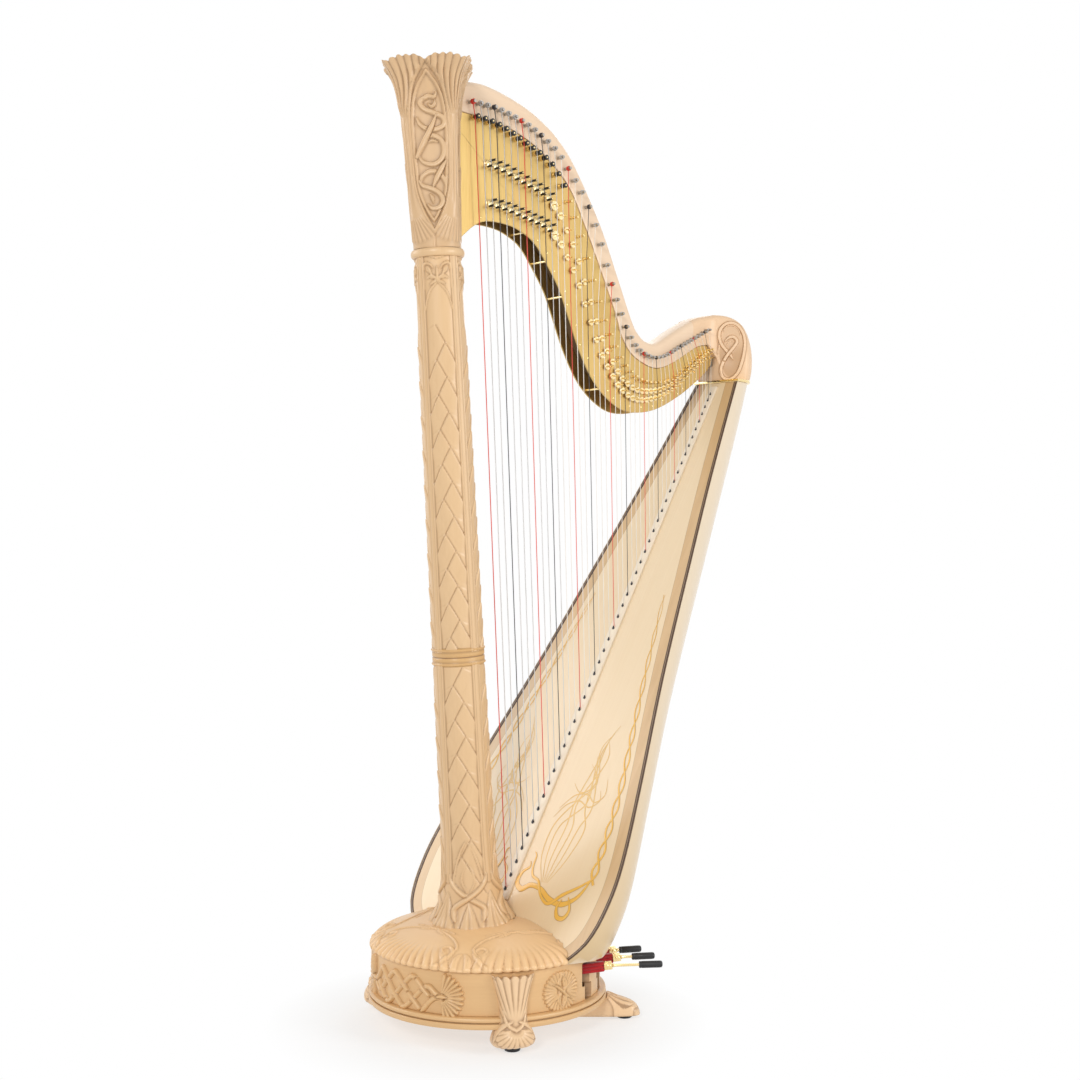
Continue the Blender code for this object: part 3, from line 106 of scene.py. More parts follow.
NECK_TOP = (
    (-0.085, 1.847), (-0.03, 1.851), (0.05, 1.857), (0.144, 1.839), (0.204, 1.816), (0.257, 1.784),
    (0.307, 1.734), (0.384, 1.622), (0.440, 1.513), (0.485, 1.424), (0.508, 1.397),
    (0.534, 1.385), (0.570, 1.389), (0.649, 1.430), (0.700, 1.453), (0.757, 1.466),
)
NECK_LOW = (
    (-0.085, 1.590), (0.0, 1.615), (0.12, 1.622), (0.18, 1.600), (0.24, 1.545), (0.29, 1.470),
    (0.33, 1.380), (0.37, 1.320), (0.42, 1.283), (0.47, 1.268), (0.52, 1.268), (0.58, 1.277),
    (0.64, 1.300), (0.70, 1.328), (0.757, 1.352),
)
PLATE_TOP = (
    (-0.085, 1.790), (-0.03, 1.790), (0.08, 1.784), (0.15, 1.769), (0.21, 1.742), (0.28, 1.690),
    (0.328, 1.617), (0.381, 1.521), (0.426, 1.434), (0.442, 1.394), (0.469, 1.359),
    (0.505, 1.339), (0.555, 1.328), (0.611, 1.344), (0.691, 1.385), (0.727, 1.394),
)
PLATE_END = ((0.745, 1.385), (0.751, 1.368), (0.742, 1.346))
PLATE_LOW = (
    (-0.085, 1.533), (-0.03, 1.533), (-0.012, 1.547), (0.019, 1.571), (0.055, 1.584),
    (0.108, 1.584), (0.147, 1.575), (0.187, 1.554), (0.227, 1.508), (0.257, 1.467),
    (0.282, 1.415), (0.316, 1.345), (0.359, 1.284), (0.412, 1.244), (0.469, 1.226),
    (0.549, 1.235), (0.635, 1.272), (0.710, 1.318),
)
BRIDGE_LINE = (
    (0.013, 1.784), (0.054, 1.780), (0.089, 1.772), (0.144, 1.753), (0.181, 1.740),
    (0.213, 1.725), (0.248, 1.690), (0.262, 1.668), (0.300, 1.601), (0.339, 1.506),
    (0.375, 1.421), (0.408, 1.367), (0.440, 1.327), (0.486, 1.299), (0.550, 1.296),
    (0.610, 1.312), (0.660, 1.342), (0.705, 1.372), (0.732, 1.384),
)
TUNING_LINE = (
    (0.008, 1.811), (0.066, 1.810), (0.103, 1.804), (0.154, 1.792), (0.206, 1.770),
    (0.242, 1.748), (0.283, 1.708), (0.328, 1.656), (0.370, 1.577), (0.399, 1.503),
    (0.429, 1.440), (0.459, 1.390), (0.486, 1.364), (0.517, 1.352), (0.546, 1.350),
    (0.580, 1.359), (0.625, 1.381), (0.672, 1.403), (0.726, 1.429),
)
TUNING_OFFSET = (
    (0, -0.006), (10, -0.007), (13, -0.003), (16, 0.004), (19, 0.010), (23, 0.005),
    (30, -0.002), (39, -0.018), (43, -0.019), (46, -0.009),
)


# Curves


def smooth_at(points, x):
    """The value at x of a smooth curve through (x, value) points."""
    last = len(points) - 1
    x = min(max(x, points[0][0]), points[last][0])
    i = 0
    while i < last - 1 and x > points[i + 1][0]:
        i += 1

    def slope(j):
        low, high = max(j - 1, 0), min(j + 1, last)
        return (points[high][1] - points[low][1]) / (points[high][0] - points[low][0])

    (x0, y0), (x1, y1) = points[i], points[i + 1]
    step = x1 - x0
    t = (x - x0) / step
    a = (1 + 2 * t) * (1 - t) ** 2 * y0 + t * (1 - t) ** 2 * step * slope(i)
    b = t * t * (3 - 2 * t) * y1 + t * t * (t - 1) * step * slope(i + 1)
    return a + b


def smooth_values(points, xs):
    return np.array([smooth_at(points, float(x)) for x in np.ravel(xs)]).reshape(np.shape(xs))


def smooth_line(points, steps=3):
    """Points along a smooth curve through the given ones."""
    ends = [points[0], *points, points[-1]]
    line = []
    for a, b, c, d in zip(ends, ends[1:], ends[2:], ends[3:]):
        for i in range(steps):
            t = i / steps
            line.append(tuple(
                0.5 * (2 * q + (r - p) * t + (2 * p - 5 * q + 4 * r - s) * t * t
                       + (3 * q - p - 3 * r + s) * t ** 3)
                for p, q, r, s in zip(a, b, c, d)
            ))
    line.append(tuple(points[-1]))
    return line


def even_line(points, count, steps=12):
    """So many points at even distances along the smooth curve."""
    line = np.array(smooth_line(points, steps))
    lengths = np.concatenate([[0.0], np.cumsum(np.linalg.norm(np.diff(line, axis=0), axis=1))])
    places = np.linspace(0.0, lengths[-1], count)
    return np.stack([np.interp(places, lengths, line[:, k]) for k in range(line.shape[1])], axis=1)


def ease(x):
    """A smooth step from 0 to 1."""
    x = np.clip(x, 0.0, 1.0)
    return x * x * (3 - 2 * x)


# Places that follow from the sizes

ALONG_BOARD = np.array([math.cos(BOARD_SLOPE), 0.0, math.sin(BOARD_SLOPE)])
OUT_OF_BOARD = np.array([-math.sin(BOARD_SLOPE), 0.0, math.cos(BOARD_SLOPE)])
ACROSS = np.array([0.0, 1.0, 0.0])
COLUMN_AXIS = np.array([-math.sin(COLUMN_LEAN), 0.0, math.cos(COLUMN_LEAN)])
COLUMN_SIDE = np.array([math.cos(COLUMN_LEAN), 0.0, math.sin(COLUMN_LEAN)])
COLUMN_FOOT = np.array([0.0, 0.0, DOME_TOP])


def on_board(along, across, out=0.0):
    """Points of the soundboard's frame as points in space."""
    along, across, out = np.broadcast_arrays(along, across, out)
    return BOARD_START + along[..., None] * ALONG_BOARD + across[..., None] * ACROSS + out[..., None] * OUT_OF_BOARD


def board_at_height(z, into=0.0):
    return (z - BOARD_START[2] + into * math.cos(BOARD_SLOPE)) / math.sin(BOARD_SLOPE)


def on_column(turn, reach, height):
    """Points round the leaning column, from its foot."""
    turn, reach, height = np.broadcast_arrays(turn, reach, height)
    return (
        COLUMN_FOOT + (reach * np.cos(turn))[..., None] * COLUMN_SIDE
        + (reach * np.sin(turn))[..., None] * ACROSS + height[..., None] * COLUMN_AXIS
    )


def column_height(z):
    return (z - DOME_TOP) / math.cos(COLUMN_LEAN)


def around_base(turn, reach, z):
    turn, reach, z = np.broadcast_arrays(turn, reach, z)
    return np.stack([BASE_X + reach * np.cos(turn), reach * np.sin(turn), z + 0.0 * turn], axis=-1)


def half_width(along):
    return smooth_at(BOARD_HALF_WIDTH, along)


def eyelet_along(index):
    shares = [i / (STRINGS - 1) for i in range(index)]
    return sum(
        EYELET_PITCH - EYELET_PITCH_FALL * share - TREBLE_CROWDING * share ** 6 for share in shares
    )


def string_radius(index):
    return 0.0012 - 0.0007 * index / (STRINGS - 1)


def string_ends(index):
    """Eyelet, bridge and tuning points of a string, as (x, z) in the strings' plane."""
    low = on_board(eyelet_along(index), 0.0, RIB_THICKNESS / 2)
    lean = math.tan(STRING_LEAN * max(0.0, 1 - index / (STRINGS - 1)) ** STRING_LEAN_FADE)
    x = low[0]
    for _ in range(8):
        x = low[0] - lean * (smooth_at(BRIDGE_LINE, x) - low[2])
    bridge = (x, smooth_at(BRIDGE_LINE, x))
    pin_x = x + smooth_at(TUNING_OFFSET, index)
    return (low[0], low[2]), bridge, (pin_x, smooth_at(TUNING_LINE, pin_x))


def bridge_pin(index):
    _, (x, z), _ = string_ends(index)
    radius = 0.0042 if index < ROLLERS else 0.0030 * (0.8 if index > 30 else 1.0)
    return x + radius + string_radius(index) + 0.0003, z, radius


def disc_place(index, semitones):
    """Centre and radius of a string's upper or lower disc."""
    (x0, z0), (x1, z1), _ = string_ends(index)
    length = math.hypot(x1 - x0, z1 - z0)
    one, two = 1.0 - 2.0 ** (-1.0 / 12.0), 1.0 - 2.0 ** (-2.0 / 12.0)
    first = max(one * length, 0.0098)
    second = max((two - one) * length, 0.0098)
    below = first if semitones == 1 else first + second
    share = below / length
    wide = 0.0072 + 0.0015 * max(0, 14 - index)
    radius = min(wide, 0.0110, 0.42 * min(first, second))
    return x1 + (x0 - x1) * share, z1 + (z0 - z1) * share, radius


def wall_point(pedal):
    turn = math.radians(pedal[1])
    return BASE_X + DRUM_RADIUS * math.cos(turn), DRUM_RADIUS * math.sin(turn)


def pivot_to_wall(pedal):
    x, y = wall_point(pedal)
    x -= BRACKET_X
    turn = math.radians(pedal[2])
    along = x * math.cos(turn) + y * math.sin(turn)
    return along - math.sqrt(along ** 2 - x * x - y * y + BRACKET_RADIUS ** 2)


def pedal_point(pedal, reach, z):
    x, y = wall_point(pedal)
    turn = math.radians(pedal[2])
    reach -= pivot_to_wall(pedal)
    return x + reach * math.cos(turn), y + reach * math.sin(turn), z


def hinge_distance(pedal):
    return (pivot_to_wall(pedal) + pedal[3]) / math.cos(PEDAL_TILT)


# Making pieces


def add_piece(name, points, faces, finish, nodes=(), body="harp", smooth=True, values=None, sharp=None):
    """A mesh that rides on a body and stands for frame nodes. values holds numbers for each point."""
    mesh = bpy.data.meshes.new(name)
    points = np.asarray(points, dtype=float).reshape(-1, 3) + (-FRAME_X, 0.0, 0.0)
    mesh.from_pydata(points.tolist(), [], [list(map(int, face)) for face in faces])
    for key, numbers in (values or {}).items():
        layer = mesh.attributes.new(key, "FLOAT", "POINT")
        layer.data.foreach_set("value", np.ascontiguousarray(numbers, dtype=np.float32).ravel())
    mesh.update()
    if smooth:
        mesh.shade_smooth()
        if sharp:
            mesh.set_sharp_from_angle(angle=math.radians(sharp))
    obj = bpy.data.objects.new(name, mesh)
    bpy.context.scene.collection.objects.link(obj)
    return dress(obj, finish, nodes, body)


def dress(obj, finish, nodes=(), body="harp"):
    obj.data.materials.clear()
    obj.data.materials.append(finish)
    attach(obj, body)
    if nodes:
        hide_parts(*nodes)
    return obj


def grid_faces(rows, columns, closed=False, start=0):
    """Quads over a grid of points; closed joins the last column to the first."""
    i, j = np.meshgrid(np.arange(rows - 1), np.arange(columns if closed else columns - 1), indexing="ij")
    k = (j + 1) % columns
    quads = np.stack([i * columns + j, i * columns + k, (i + 1) * columns + k, (i + 1) * columns + j], axis=-1)
    return quads.reshape(-1, 4) + start


class Solids:
    """Points and faces of many small solids that make up one piece."""

    def __init__(self):
        self.points, self.faces, self.count = [], [], 0

    def add(self, points, faces):
        points = np.asarray(points, dtype=float).reshape(-1, 3)
        self.faces += [[int(i) + self.count for i in face] for face in faces]
        self.points.append(points)
        self.count += len(points)

    def skin(self, rings, closed_ends=True):
        """A tube over rings of points."""
        rings = np.asarray(rings, dtype=float)
        rows, columns = rings.shape[:2]
        faces = grid_faces(rows, columns, True).tolist()
        if closed_ends:
            faces.append(list(range(columns))[::-1])
            faces.append([(rows - 1) * columns + j for j in range(columns)])
        self.add(rings, faces)

    def turned(self, place, profile, sides=16):
        """A turned solid; the profile gives (distance along the place's z, radius)."""
        turns = np.linspace(0, 2 * math.pi, sides, endpoint=False)
        rings = []
        for height, radius in profile:
            ring = np.stack([radius * np.cos(turns), radius * np.sin(turns), np.full(sides, height)], axis=1)
            rings.append(moved(ring, place))
        self.skin(rings)

    def block(self, place, low, high, edge=0.0006):
        """A box with softened edges."""
        bm = bmesh.new()
        low, high = Vector(low), Vector(high)
        middle = Matrix.Translation((low + high) / 2) @ Matrix.Diagonal((*(high - low), 1.0))
        bmesh.ops.create_cube(bm, size=1.0, matrix=middle)
        bmesh.ops.bevel(bm, geom=bm.edges[:], offset=edge, segments=2, affect="EDGES", profile=0.5)
        bm.verts.ensure_lookup_table()
        points = [tuple(v.co) for v in bm.verts]
        faces = [[v.index for v in face.verts] for face in bm.faces]
        bm.free()
        self.add(moved(np.array(points), place), faces)

    def piece(self, name, finish, nodes=(), body="harp", sharp=40.0):
        return add_piece(name, np.concatenate(self.points), self.faces, finish, nodes, body, True, None, sharp)


def moved(points, place):
    matrix = np.array(place)
    return np.asarray(points) @ matrix[:3, :3].T + matrix[:3, 3]


def pointing(start, along):
    """A place at start whose z points along a direction."""
    return Matrix.Translation(Vector(start)) @ Vector(along).to_track_quat("Z", "Y").to_matrix().to_4x4()


def tube(path, radius, sides=8):
    """Rings round a path; the radius may be a number for each point."""
    path = np.asarray(path, dtype=float)
    radius = np.broadcast_to(radius, len(path))
    turns = np.linspace(0, 2 * math.pi, sides, endpoint=False)
    rings = []
    along = np.gradient(path, axis=0)
    side = np.cross(along[0], (0.0, 1.0, 0.0))
    if np.linalg.norm(side) < 1e-6:
        side = np.array([1.0, 0.0, 0.0])
    for point, way, size in zip(path, along, radius):
        way = way / np.linalg.norm(way)
        side = side - way * (side @ way)
        side = side / np.linalg.norm(side)
        up = np.cross(way, side)
        rings.append(point + size * (np.cos(turns)[:, None] * side + np.sin(turns)[:, None] * up))
    return np.array(rings)


def turned_piece(name, profile, finish, nodes=(), sides=160, centre=(BASE_X, 0.0), values=None, sharp=35.0):
    """A large turned piece about an upright axis. The profile gives (radius, height)."""
    profile = np.array(profile)
    turns = np.linspace(0, 2 * math.pi, sides, endpoint=False)
    radius, height = profile[:, 0][:, None], profile[:, 1][:, None]
    points = np.stack([
        centre[0] + radius * np.cos(turns), centre[1] + radius * np.sin(turns), height + 0 * turns,
    ], axis=-1)
    faces = grid_faces(len(profile), sides, True).tolist()
    return add_piece(name, points, faces, finish, nodes, "harp", True, values, sharp)


def face_out(obj):
    """Turns the faces outwards."""
    bm = bmesh.new()
    bm.from_mesh(obj.data)
    bmesh.ops.recalc_face_normals(bm, faces=bm.faces)
    bm.to_mesh(obj.data)
    bm.free()
    return obj


def carve(obj, cutters, finish):
    """Cuts closed solids out of a piece; the cut faces get their own finish."""
    mesh = bpy.data.meshes.new("cutter")
    mesh.materials.append(finish)
    points = np.concatenate(cutters.points) + (-FRAME_X, 0.0, 0.0)
    mesh.from_pydata(points.tolist(), [], cutters.faces)
    other = bpy.data.objects.new("cutter", mesh)
    bpy.context.scene.collection.objects.link(other)
    face_out(other)
    modifier = obj.modifiers.new("cut", "BOOLEAN")
    modifier.object = other
    modifier.solver = "EXACT"
    modifier.use_self = True
    modifier.material_mode = "TRANSFER"
    graph = bpy.context.evaluated_depsgraph_get()
    result = bpy.data.meshes.new_from_object(obj.evaluated_get(graph))
    obj.modifiers.clear()
    obj.data = result
    bpy.data.objects.remove(other, do_unlink=True)
    return obj


def cut_by_board(obj):
    """Removes what lies behind the soundboard's plane."""
    bm = bmesh.new()
    bm.from_mesh(obj.data)
    start = Vector(BOARD_START + 0.0006 * OUT_OF_BOARD) - Vector((FRAME_X, 0.0, 0.0))
    bmesh.ops.bisect_plane(
        bm, geom=bm.verts[:] + bm.edges[:] + bm.faces[:], plane_co=start,
        plane_no=Vector(-OUT_OF_BOARD), clear_outer=True,
    )
    bm.to_mesh(obj.data)
    bm.free()
    return obj


# Relief carving on a flat field


class Relief:
    """Heights over a flat field, u to the right and v up, carved stroke by stroke."""

    def __init__(self, low, high, step, wraps=False):
        self.low = np.array(low, dtype=float)
        self.shape = tuple(int(round((b - a) / step)) + 1 for a, b in zip(low, high))
        self.step = (np.array(high, dtype=float) - self.low) / (np.array(self.shape) - 1)
        self.height = np.zeros(self.shape)
        self.wraps = wraps

    def window(self, low, high):
        """Slices and coordinates of the part of the field between two corners."""
        first = np.clip(np.floor((np.asarray(low) - self.low) / self.step).astype(int), 0, None)
        last = np.ceil((np.asarray(high) - self.low) / self.step).astype(int) + 1
        first = np.minimum(first, np.array(self.shape) - 1)
        last = np.clip(last, first + 1, self.shape)
        part = (slice(first[0], last[0]), slice(first[1], last[1]))
        u = self.low[0] + self.step[0] * np.arange(first[0], last[0])
        v = self.low[1] + self.step[1] * np.arange(first[1], last[1])
        return part, u[:, None], v[None, :]

    def distances(self, line, widths, reach=1.4):
        """Distance to a line in shares of its half width, place along it and side of it."""
        line = np.asarray(line, dtype=float)
        widths = np.broadcast_to(np.asarray(widths, dtype=float), len(line))
        margin = reach * widths.max()
        part, u, v = self.window(line.min(0) - margin, line.max(0) + margin)
        near = np.full((u.shape[0], v.shape[1]), 9.0)
        place = np.zeros_like(near)
        side = np.zeros_like(near)
        for k in range(len(line) - 1):
            a, b = line[k], line[k + 1]
            wide = max(widths[k], widths[k + 1]) * reach
            low, high = np.minimum(a, b) - wide, np.maximum(a, b) + wide
            i = slice(*np.searchsorted(u[:, 0], (low[0], high[0])))
            j = slice(*np.searchsorted(v[0], (low[1], high[1])))
            if i.start == i.stop or j.start == j.stop:
                continue
            du, dv = b - a
            length = math.hypot(du, dv) + 1e-9
            pu, pv = u[i] - a[0], v[:, j] - a[1]
            t = np.clip((pu * du + pv * dv) / length ** 2, 0, 1)
            gap = np.hypot(pu - t * du, pv - t * dv)
            width = widths[k] + (widths[k + 1] - widths[k]) * t
            share = gap / np.maximum(width, 1e-5)
            closer = share < near[i, j]
            near[i, j] = np.where(closer, share, near[i, j])
            place[i, j] = np.where(closer, (k + t) / (len(line) - 1), place[i, j])
            side[i, j] = np.where(closer, np.sign(pu * dv - pv * du), side[i, j])
        return part, near, place, side

    def stroke(self, points, width, height, form="round", over=False, steps=8, groove=0.0):
        """A raised strap along a smooth line. width and height are numbers or lists along it."""
        line = np.array(smooth_line([tuple(p) for p in points], steps))
        share = np.linspace(0, 1, len(line))
        widths = self.spread(width, share)
        part, near, place, _ = self.distances(line, widths)
        high = np.interp(place, share, self.spread(height, share))
        inside = near < 1
        rise = np.sqrt(np.clip(1 - near ** 2, 0, 1))
        if form == "leaf":
            rise = rise ** 0.8 * (1 - 0.45 * np.exp(-(near / 0.16) ** 2))
        elif form == "flat":
            rise = np.clip((1 - near) / 0.35, 0, 1) ** 0.6
        elif form == "ribbon":
            rise = np.clip((1 - near) / 0.3, 0, 1) ** 0.5 * (0.72 + 0.28 * near ** 2)
        field = self.height[part]
        value = rise * high
        if over:
            ring = (near >= 1) & (near < 1.4)
            field = np.where(ring, np.minimum(field, field * np.clip((near - 1) / 0.4, 0.15, 1)), field)
            field = np.where(inside, value, field)
        else:
            field = np.where(inside, np.maximum(field, value), field)
        if groove:
            dip = np.exp(-((near - 1.08) / 0.14) ** 2)
            field = np.where(near > 0.97, field - groove * dip, field)
        self.height[part] = field

    @staticmethod
    def spread(numbers, share):
        """Numbers along a line, from one number or from a few at even distances."""
        if np.isscalar(numbers):
            return np.full(len(share), float(numbers))
        return np.interp(share, np.linspace(0, 1, len(numbers)), numbers)

    def crease(self, a, b, lip, lip_width, depth, width=0.0009, fade=0.03):
        """A thin cut from a to b, with a raised lip on its right side that fades away from it."""
        widths = [lip_width, lip_width]
        part, near, place, side = self.distances([a, b], widths, 1.0)
        gap = near * lip_width
        ends = ease(place / fade)
        field = self.height[part]
        raised = lip * np.clip(1 - near, 0, 1) * ends
        field = np.where((side > 0) & (near < 1), field + raised, field)
        field = field - depth * np.exp(-(gap / width) ** 2) * np.clip(ends * 1.5, 0, 1)
        self.height[part] = field

    def fan(self, centre, turn, spread, inner, outer, ribs, height, scallop=0.10, power=0.7, dish=0.0):
        """Ribs that open from a centre, with round scalloped tips. Angles in degrees."""
        centre = np.asarray(centre, dtype=float)
        part, u, v = self.window(centre - outer, centre + outer)
        du, dv = u - centre[0], v - centre[1]
        radius = np.hypot(du, dv)
        angle = np.degrees(np.arctan2(dv, du)) - turn
        angle = (angle + 180) % 360 - 180
        share = angle / spread + 0.5
        rib = np.abs(np.sin(math.pi * np.clip(share, 0, 1) * ribs)) ** power
        limit = outer * (1 - scallop * (1 - rib))
        width = np.maximum(radius, 1e-4) * math.radians(spread) / ribs
        edge = np.clip((limit - radius) / (0.35 * outer / max(ribs, 4) + 0.0012), 0, 1) ** 0.5
        start = ease((radius - inner) / (0.25 * outer))
        inside = (share > 0) & (share < 1) & (radius < limit)
        depth = np.clip(width / 0.006, 0.25, 1.0)
        body = height * (1 - dish * np.sin(math.pi * np.clip(radius / outer, 0, 1)))
        value = body * edge * start * (1 - 0.62 * depth * (1 - rib))
        field = self.height[part]
        self.height[part] = np.where(inside, np.maximum(field, value), field)

    def hollows(self, reach=0.004, depth=0.0012):
        """How deep each place lies under what surrounds it, from 0 to 1; the pieces paint shade into their recesses by
        it.
        """
        around = self.height
        for axis in (0, 1):
            count = max(1, int(round(reach / self.step[axis])))
            around = blurred(blurred(around, count, axis, self.wraps), count, axis, self.wraps)
        return np.clip((around - self.height) / depth, 0, 1)

    def at(self, u, v, numbers=None):
        """The heights, or other numbers over the field, at given places."""
        numbers = self.height if numbers is None else numbers
        fu = np.clip((np.asarray(u) - self.low[0]) / self.step[0], 0, self.shape[0] - 1.001)
        fv = np.clip((np.asarray(v) - self.low[1]) / self.step[1], 0, self.shape[1] - 1.001)
        i, j = fu.astype(int), fv.astype(int)
        a, b = fu - i, fv - j
        return (
            (1 - a) * (1 - b) * numbers[i, j] + a * (1 - b) * numbers[i + 1, j]
            + (1 - a) * b * numbers[i, j + 1] + a * b * numbers[i + 1, j + 1]
        )


def blurred(numbers, count, axis, wraps):
    """A running mean over 2 count + 1 places."""
    if wraps and axis == 0:
        wide = np.concatenate([numbers[-count - 1:-1], numbers, numbers[1:count + 1]], axis=0)
    else:
        pad = [(0, 0), (0, 0)]
        pad[axis] = (count, count)
        wide = np.pad(numbers, pad, mode="edge")
    total = np.cumsum(wide, axis=axis)
    zero = np.zeros_like(np.take(total, [0], axis=axis))
    total = np.concatenate([zero, total], axis=axis)
    size = 2 * count + 1
    length = numbers.shape[axis]
    high = np.take(total, range(size, size + length), axis=axis)
    low = np.take(total, range(0, length), axis=axis)
    return (high - low) / size


# Materials


class Surface:
    """Short names for building one material's nodes."""

    def __init__(self, name, colour=(0.5, 0.5, 0.5), roughness=0.5, metallic=0.0):
        self.material = bpy.data.materials.new(name)
        self.material.use_nodes = True
        self.tree = self.material.node_tree
        self.shader = self.tree.nodes["Principled BSDF"]
        self.set("Base Color", colour)
        self.shader.inputs["Roughness"].default_value = roughness
        self.shader.inputs["Metallic"].default_value = metallic

    def set(self, socket, value):
        self.feed(self.shader.inputs[socket], value)

    def feed(self, socket, value):
        if hasattr(value, "node"):
            self.tree.links.new(value, socket)
        elif isinstance(value, tuple) and len(value) == 3 and socket.type == "RGBA":
            socket.default_value = (*value, 1.0)
        else:
            socket.default_value = value

    def node(self, kind, inputs, output=0, **settings):
        made = self.tree.nodes.new(kind)
        for key, value in settings.items():
            setattr(made, key, value)
        for key, value in inputs.items():
            self.feed(made.inputs[key], value)
        return made.outputs[output]

    def math(self, operation, a, b=0.0, clamp=False):
        return self.node("ShaderNodeMath", {0: a, 1: b}, operation=operation, use_clamp=clamp)

    def mix(self, factor, a, b, blend="MIX"):
        made = self.tree.nodes.new("ShaderNodeMix")
        made.data_type = "RGBA"
        made.blend_type = blend
        self.feed(made.inputs[0], factor)
        self.feed(made.inputs[6], a)
        self.feed(made.inputs[7], b)
        return made.outputs[2]

    def place(self, scale=(1.0, 1.0, 1.0), turn=(0.0, 0.0, 0.0), shift=(0.0, 0.0, 0.0)):
        """The point on the object, turned and then stretched."""
        where = self.node("ShaderNodeTexCoord", {}, output=3)
        turned = self.node("ShaderNodeMapping", {"Vector": where, "Rotation": turn, "Location": shift})
        return self.node("ShaderNodeMapping", {"Vector": turned, "Scale": scale})

    def noise(self, place, scale, detail=3.0, rough=0.55, distortion=0.0):
        return self.node("ShaderNodeTexNoise", {
            "Vector": place, "Scale": scale, "Detail": detail, "Roughness": rough, "Distortion": distortion,
        })

    def between(self, value, low, high, to_low=0.0, to_high=1.0):
        return self.node("ShaderNodeMapRange", {
            "Value": value, "From Min": low, "From Max": high, "To Min": to_low, "To Max": to_high,
        }, clamp=True)

    def number(self, name):
        return self.node("ShaderNodeAttribute", {}, output=2, attribute_name=name)

    def bump(self, height, distance, strength=1.0):
        made = self.node("ShaderNodeBump", {"Height": height, "Distance": distance, "Strength": strength})
        self.set("Normal", made)


def wood(name, light, dark, grain=(60.0, 60.0, 3.0), turn=(0.0, 0.0, 0.0), figure=0.35, roughness=0.42,
         hollow=None, painted_shade_share=0.8, bump=0.00025, sheen=0.25):
    """Close-grained wood. grain gives how fine the figure is along each axis after the turn. Its darker third colour is
    painted shade, mixed in by each point's shade number in recesses, grooves and under edges, and low on the soundbox.
    """
    s = Surface(name, light, roughness)
    long = s.place(grain, turn)
    streaks = s.between(s.noise(long, 1.0, 4.0, 0.6, 0.4), 0.30, 0.72)
    fine = s.noise(s.place(tuple(7 * g for g in grain), turn), 1.0, 2.0, 0.5)
    patches = s.between(s.noise(s.place((1.0, 1.0, 0.6)), 7.0, 2.0, 0.5), 0.3, 0.7)
    colour = s.mix(s.math("MULTIPLY", streaks, figure), light, dark)
    colour = s.mix(s.between(fine, 0.35, 0.75, 0.0, 0.22), colour, dark)
    warm = tuple(c * k for c, k in zip(light, (1.02, 0.975, 0.92)))
    colour = s.mix(s.math("MULTIPLY", patches, 0.5), colour, s.mix(0.5, colour, warm))
    if hollow:
        # Painted shade: the darker colour is laid in where the piece's point numbers mark shade.
        deep = s.math("MULTIPLY", s.number("hollow"), painted_shade_share)
        colour = s.mix(deep, colour, hollow)
    s.set("Base Color", colour)
    s.set("Roughness", s.between(streaks, 0.0, 1.0, roughness - 0.05, roughness + 0.07))
    s.shader.inputs["Coat Weight"].default_value = sheen
    s.shader.inputs["Coat Roughness"].default_value = 0.25
    height = s.math("ADD", s.math("MULTIPLY", streaks, 0.4), s.math("MULTIPLY", fine, 0.6))
    s.bump(height, bump)
    return s.material


def brushed(name, colour, other, roughness, stretch=(500.0, 500.0, 12.0), bump=0.00006, metallic=1.0, patch=6.0):
    """Metal with a fine drawn finish and a slight change of tone."""
    s = Surface(name, colour, roughness, metallic)
    lines = s.noise(s.place(stretch), 1.0, 3.0, 0.6)
    clouds = s.noise(s.place(), patch, 2.0, 0.5)
    tone = s.math("ADD", s.math("MULTIPLY", lines, 0.6), s.math("MULTIPLY", clouds, 0.4))
    s.set("Base Color", s.mix(s.between(tone, 0.35, 0.65), colour, other))
    s.set("Roughness", s.between(lines, 0.3, 0.7, roughness - 0.06, roughness + 0.08))
    s.bump(lines, bump)
    return s.material


def rubber(name, colour, roughness=0.55):
    s = Surface(name, colour, roughness)
    grains = s.noise(s.place(), 900.0, 2.0, 0.6)
    wear = s.noise(s.place(), 60.0, 3.0, 0.6)
    lighter = tuple(c * 2.2 + 0.004 for c in colour)
    s.set("Base Color", s.mix(s.between(wear, 0.5, 0.8, 0.0, 0.6), colour, lighter))
    s.set("Roughness", s.between(wear, 0.3, 0.8, roughness - 0.08, roughness + 0.12))
    s.bump(grains, 0.0001)
    return s.material


def felt(name, colour, dark):
    """Pressed wool in layers."""
    s = Surface(name, colour, 0.95)
    fibres = s.noise(s.place((900.0, 900.0, 2400.0)), 1.0, 4.0, 0.7, 0.6)
    clumps = s.noise(s.place(), 220.0, 3.0, 0.6)
    tone = s.math("ADD", s.math("MULTIPLY", fibres, 0.5), s.math("MULTIPLY", clumps, 0.5))
    s.set("Base Color", s.mix(s.between(tone, 0.35, 0.62), colour, dark))
    s.shader.inputs["Sheen Weight"].default_value = 0.35
    s.shader.inputs["Sheen Roughness"].default_value = 0.5
    s.bump(tone, 0.0006)
    return s.material


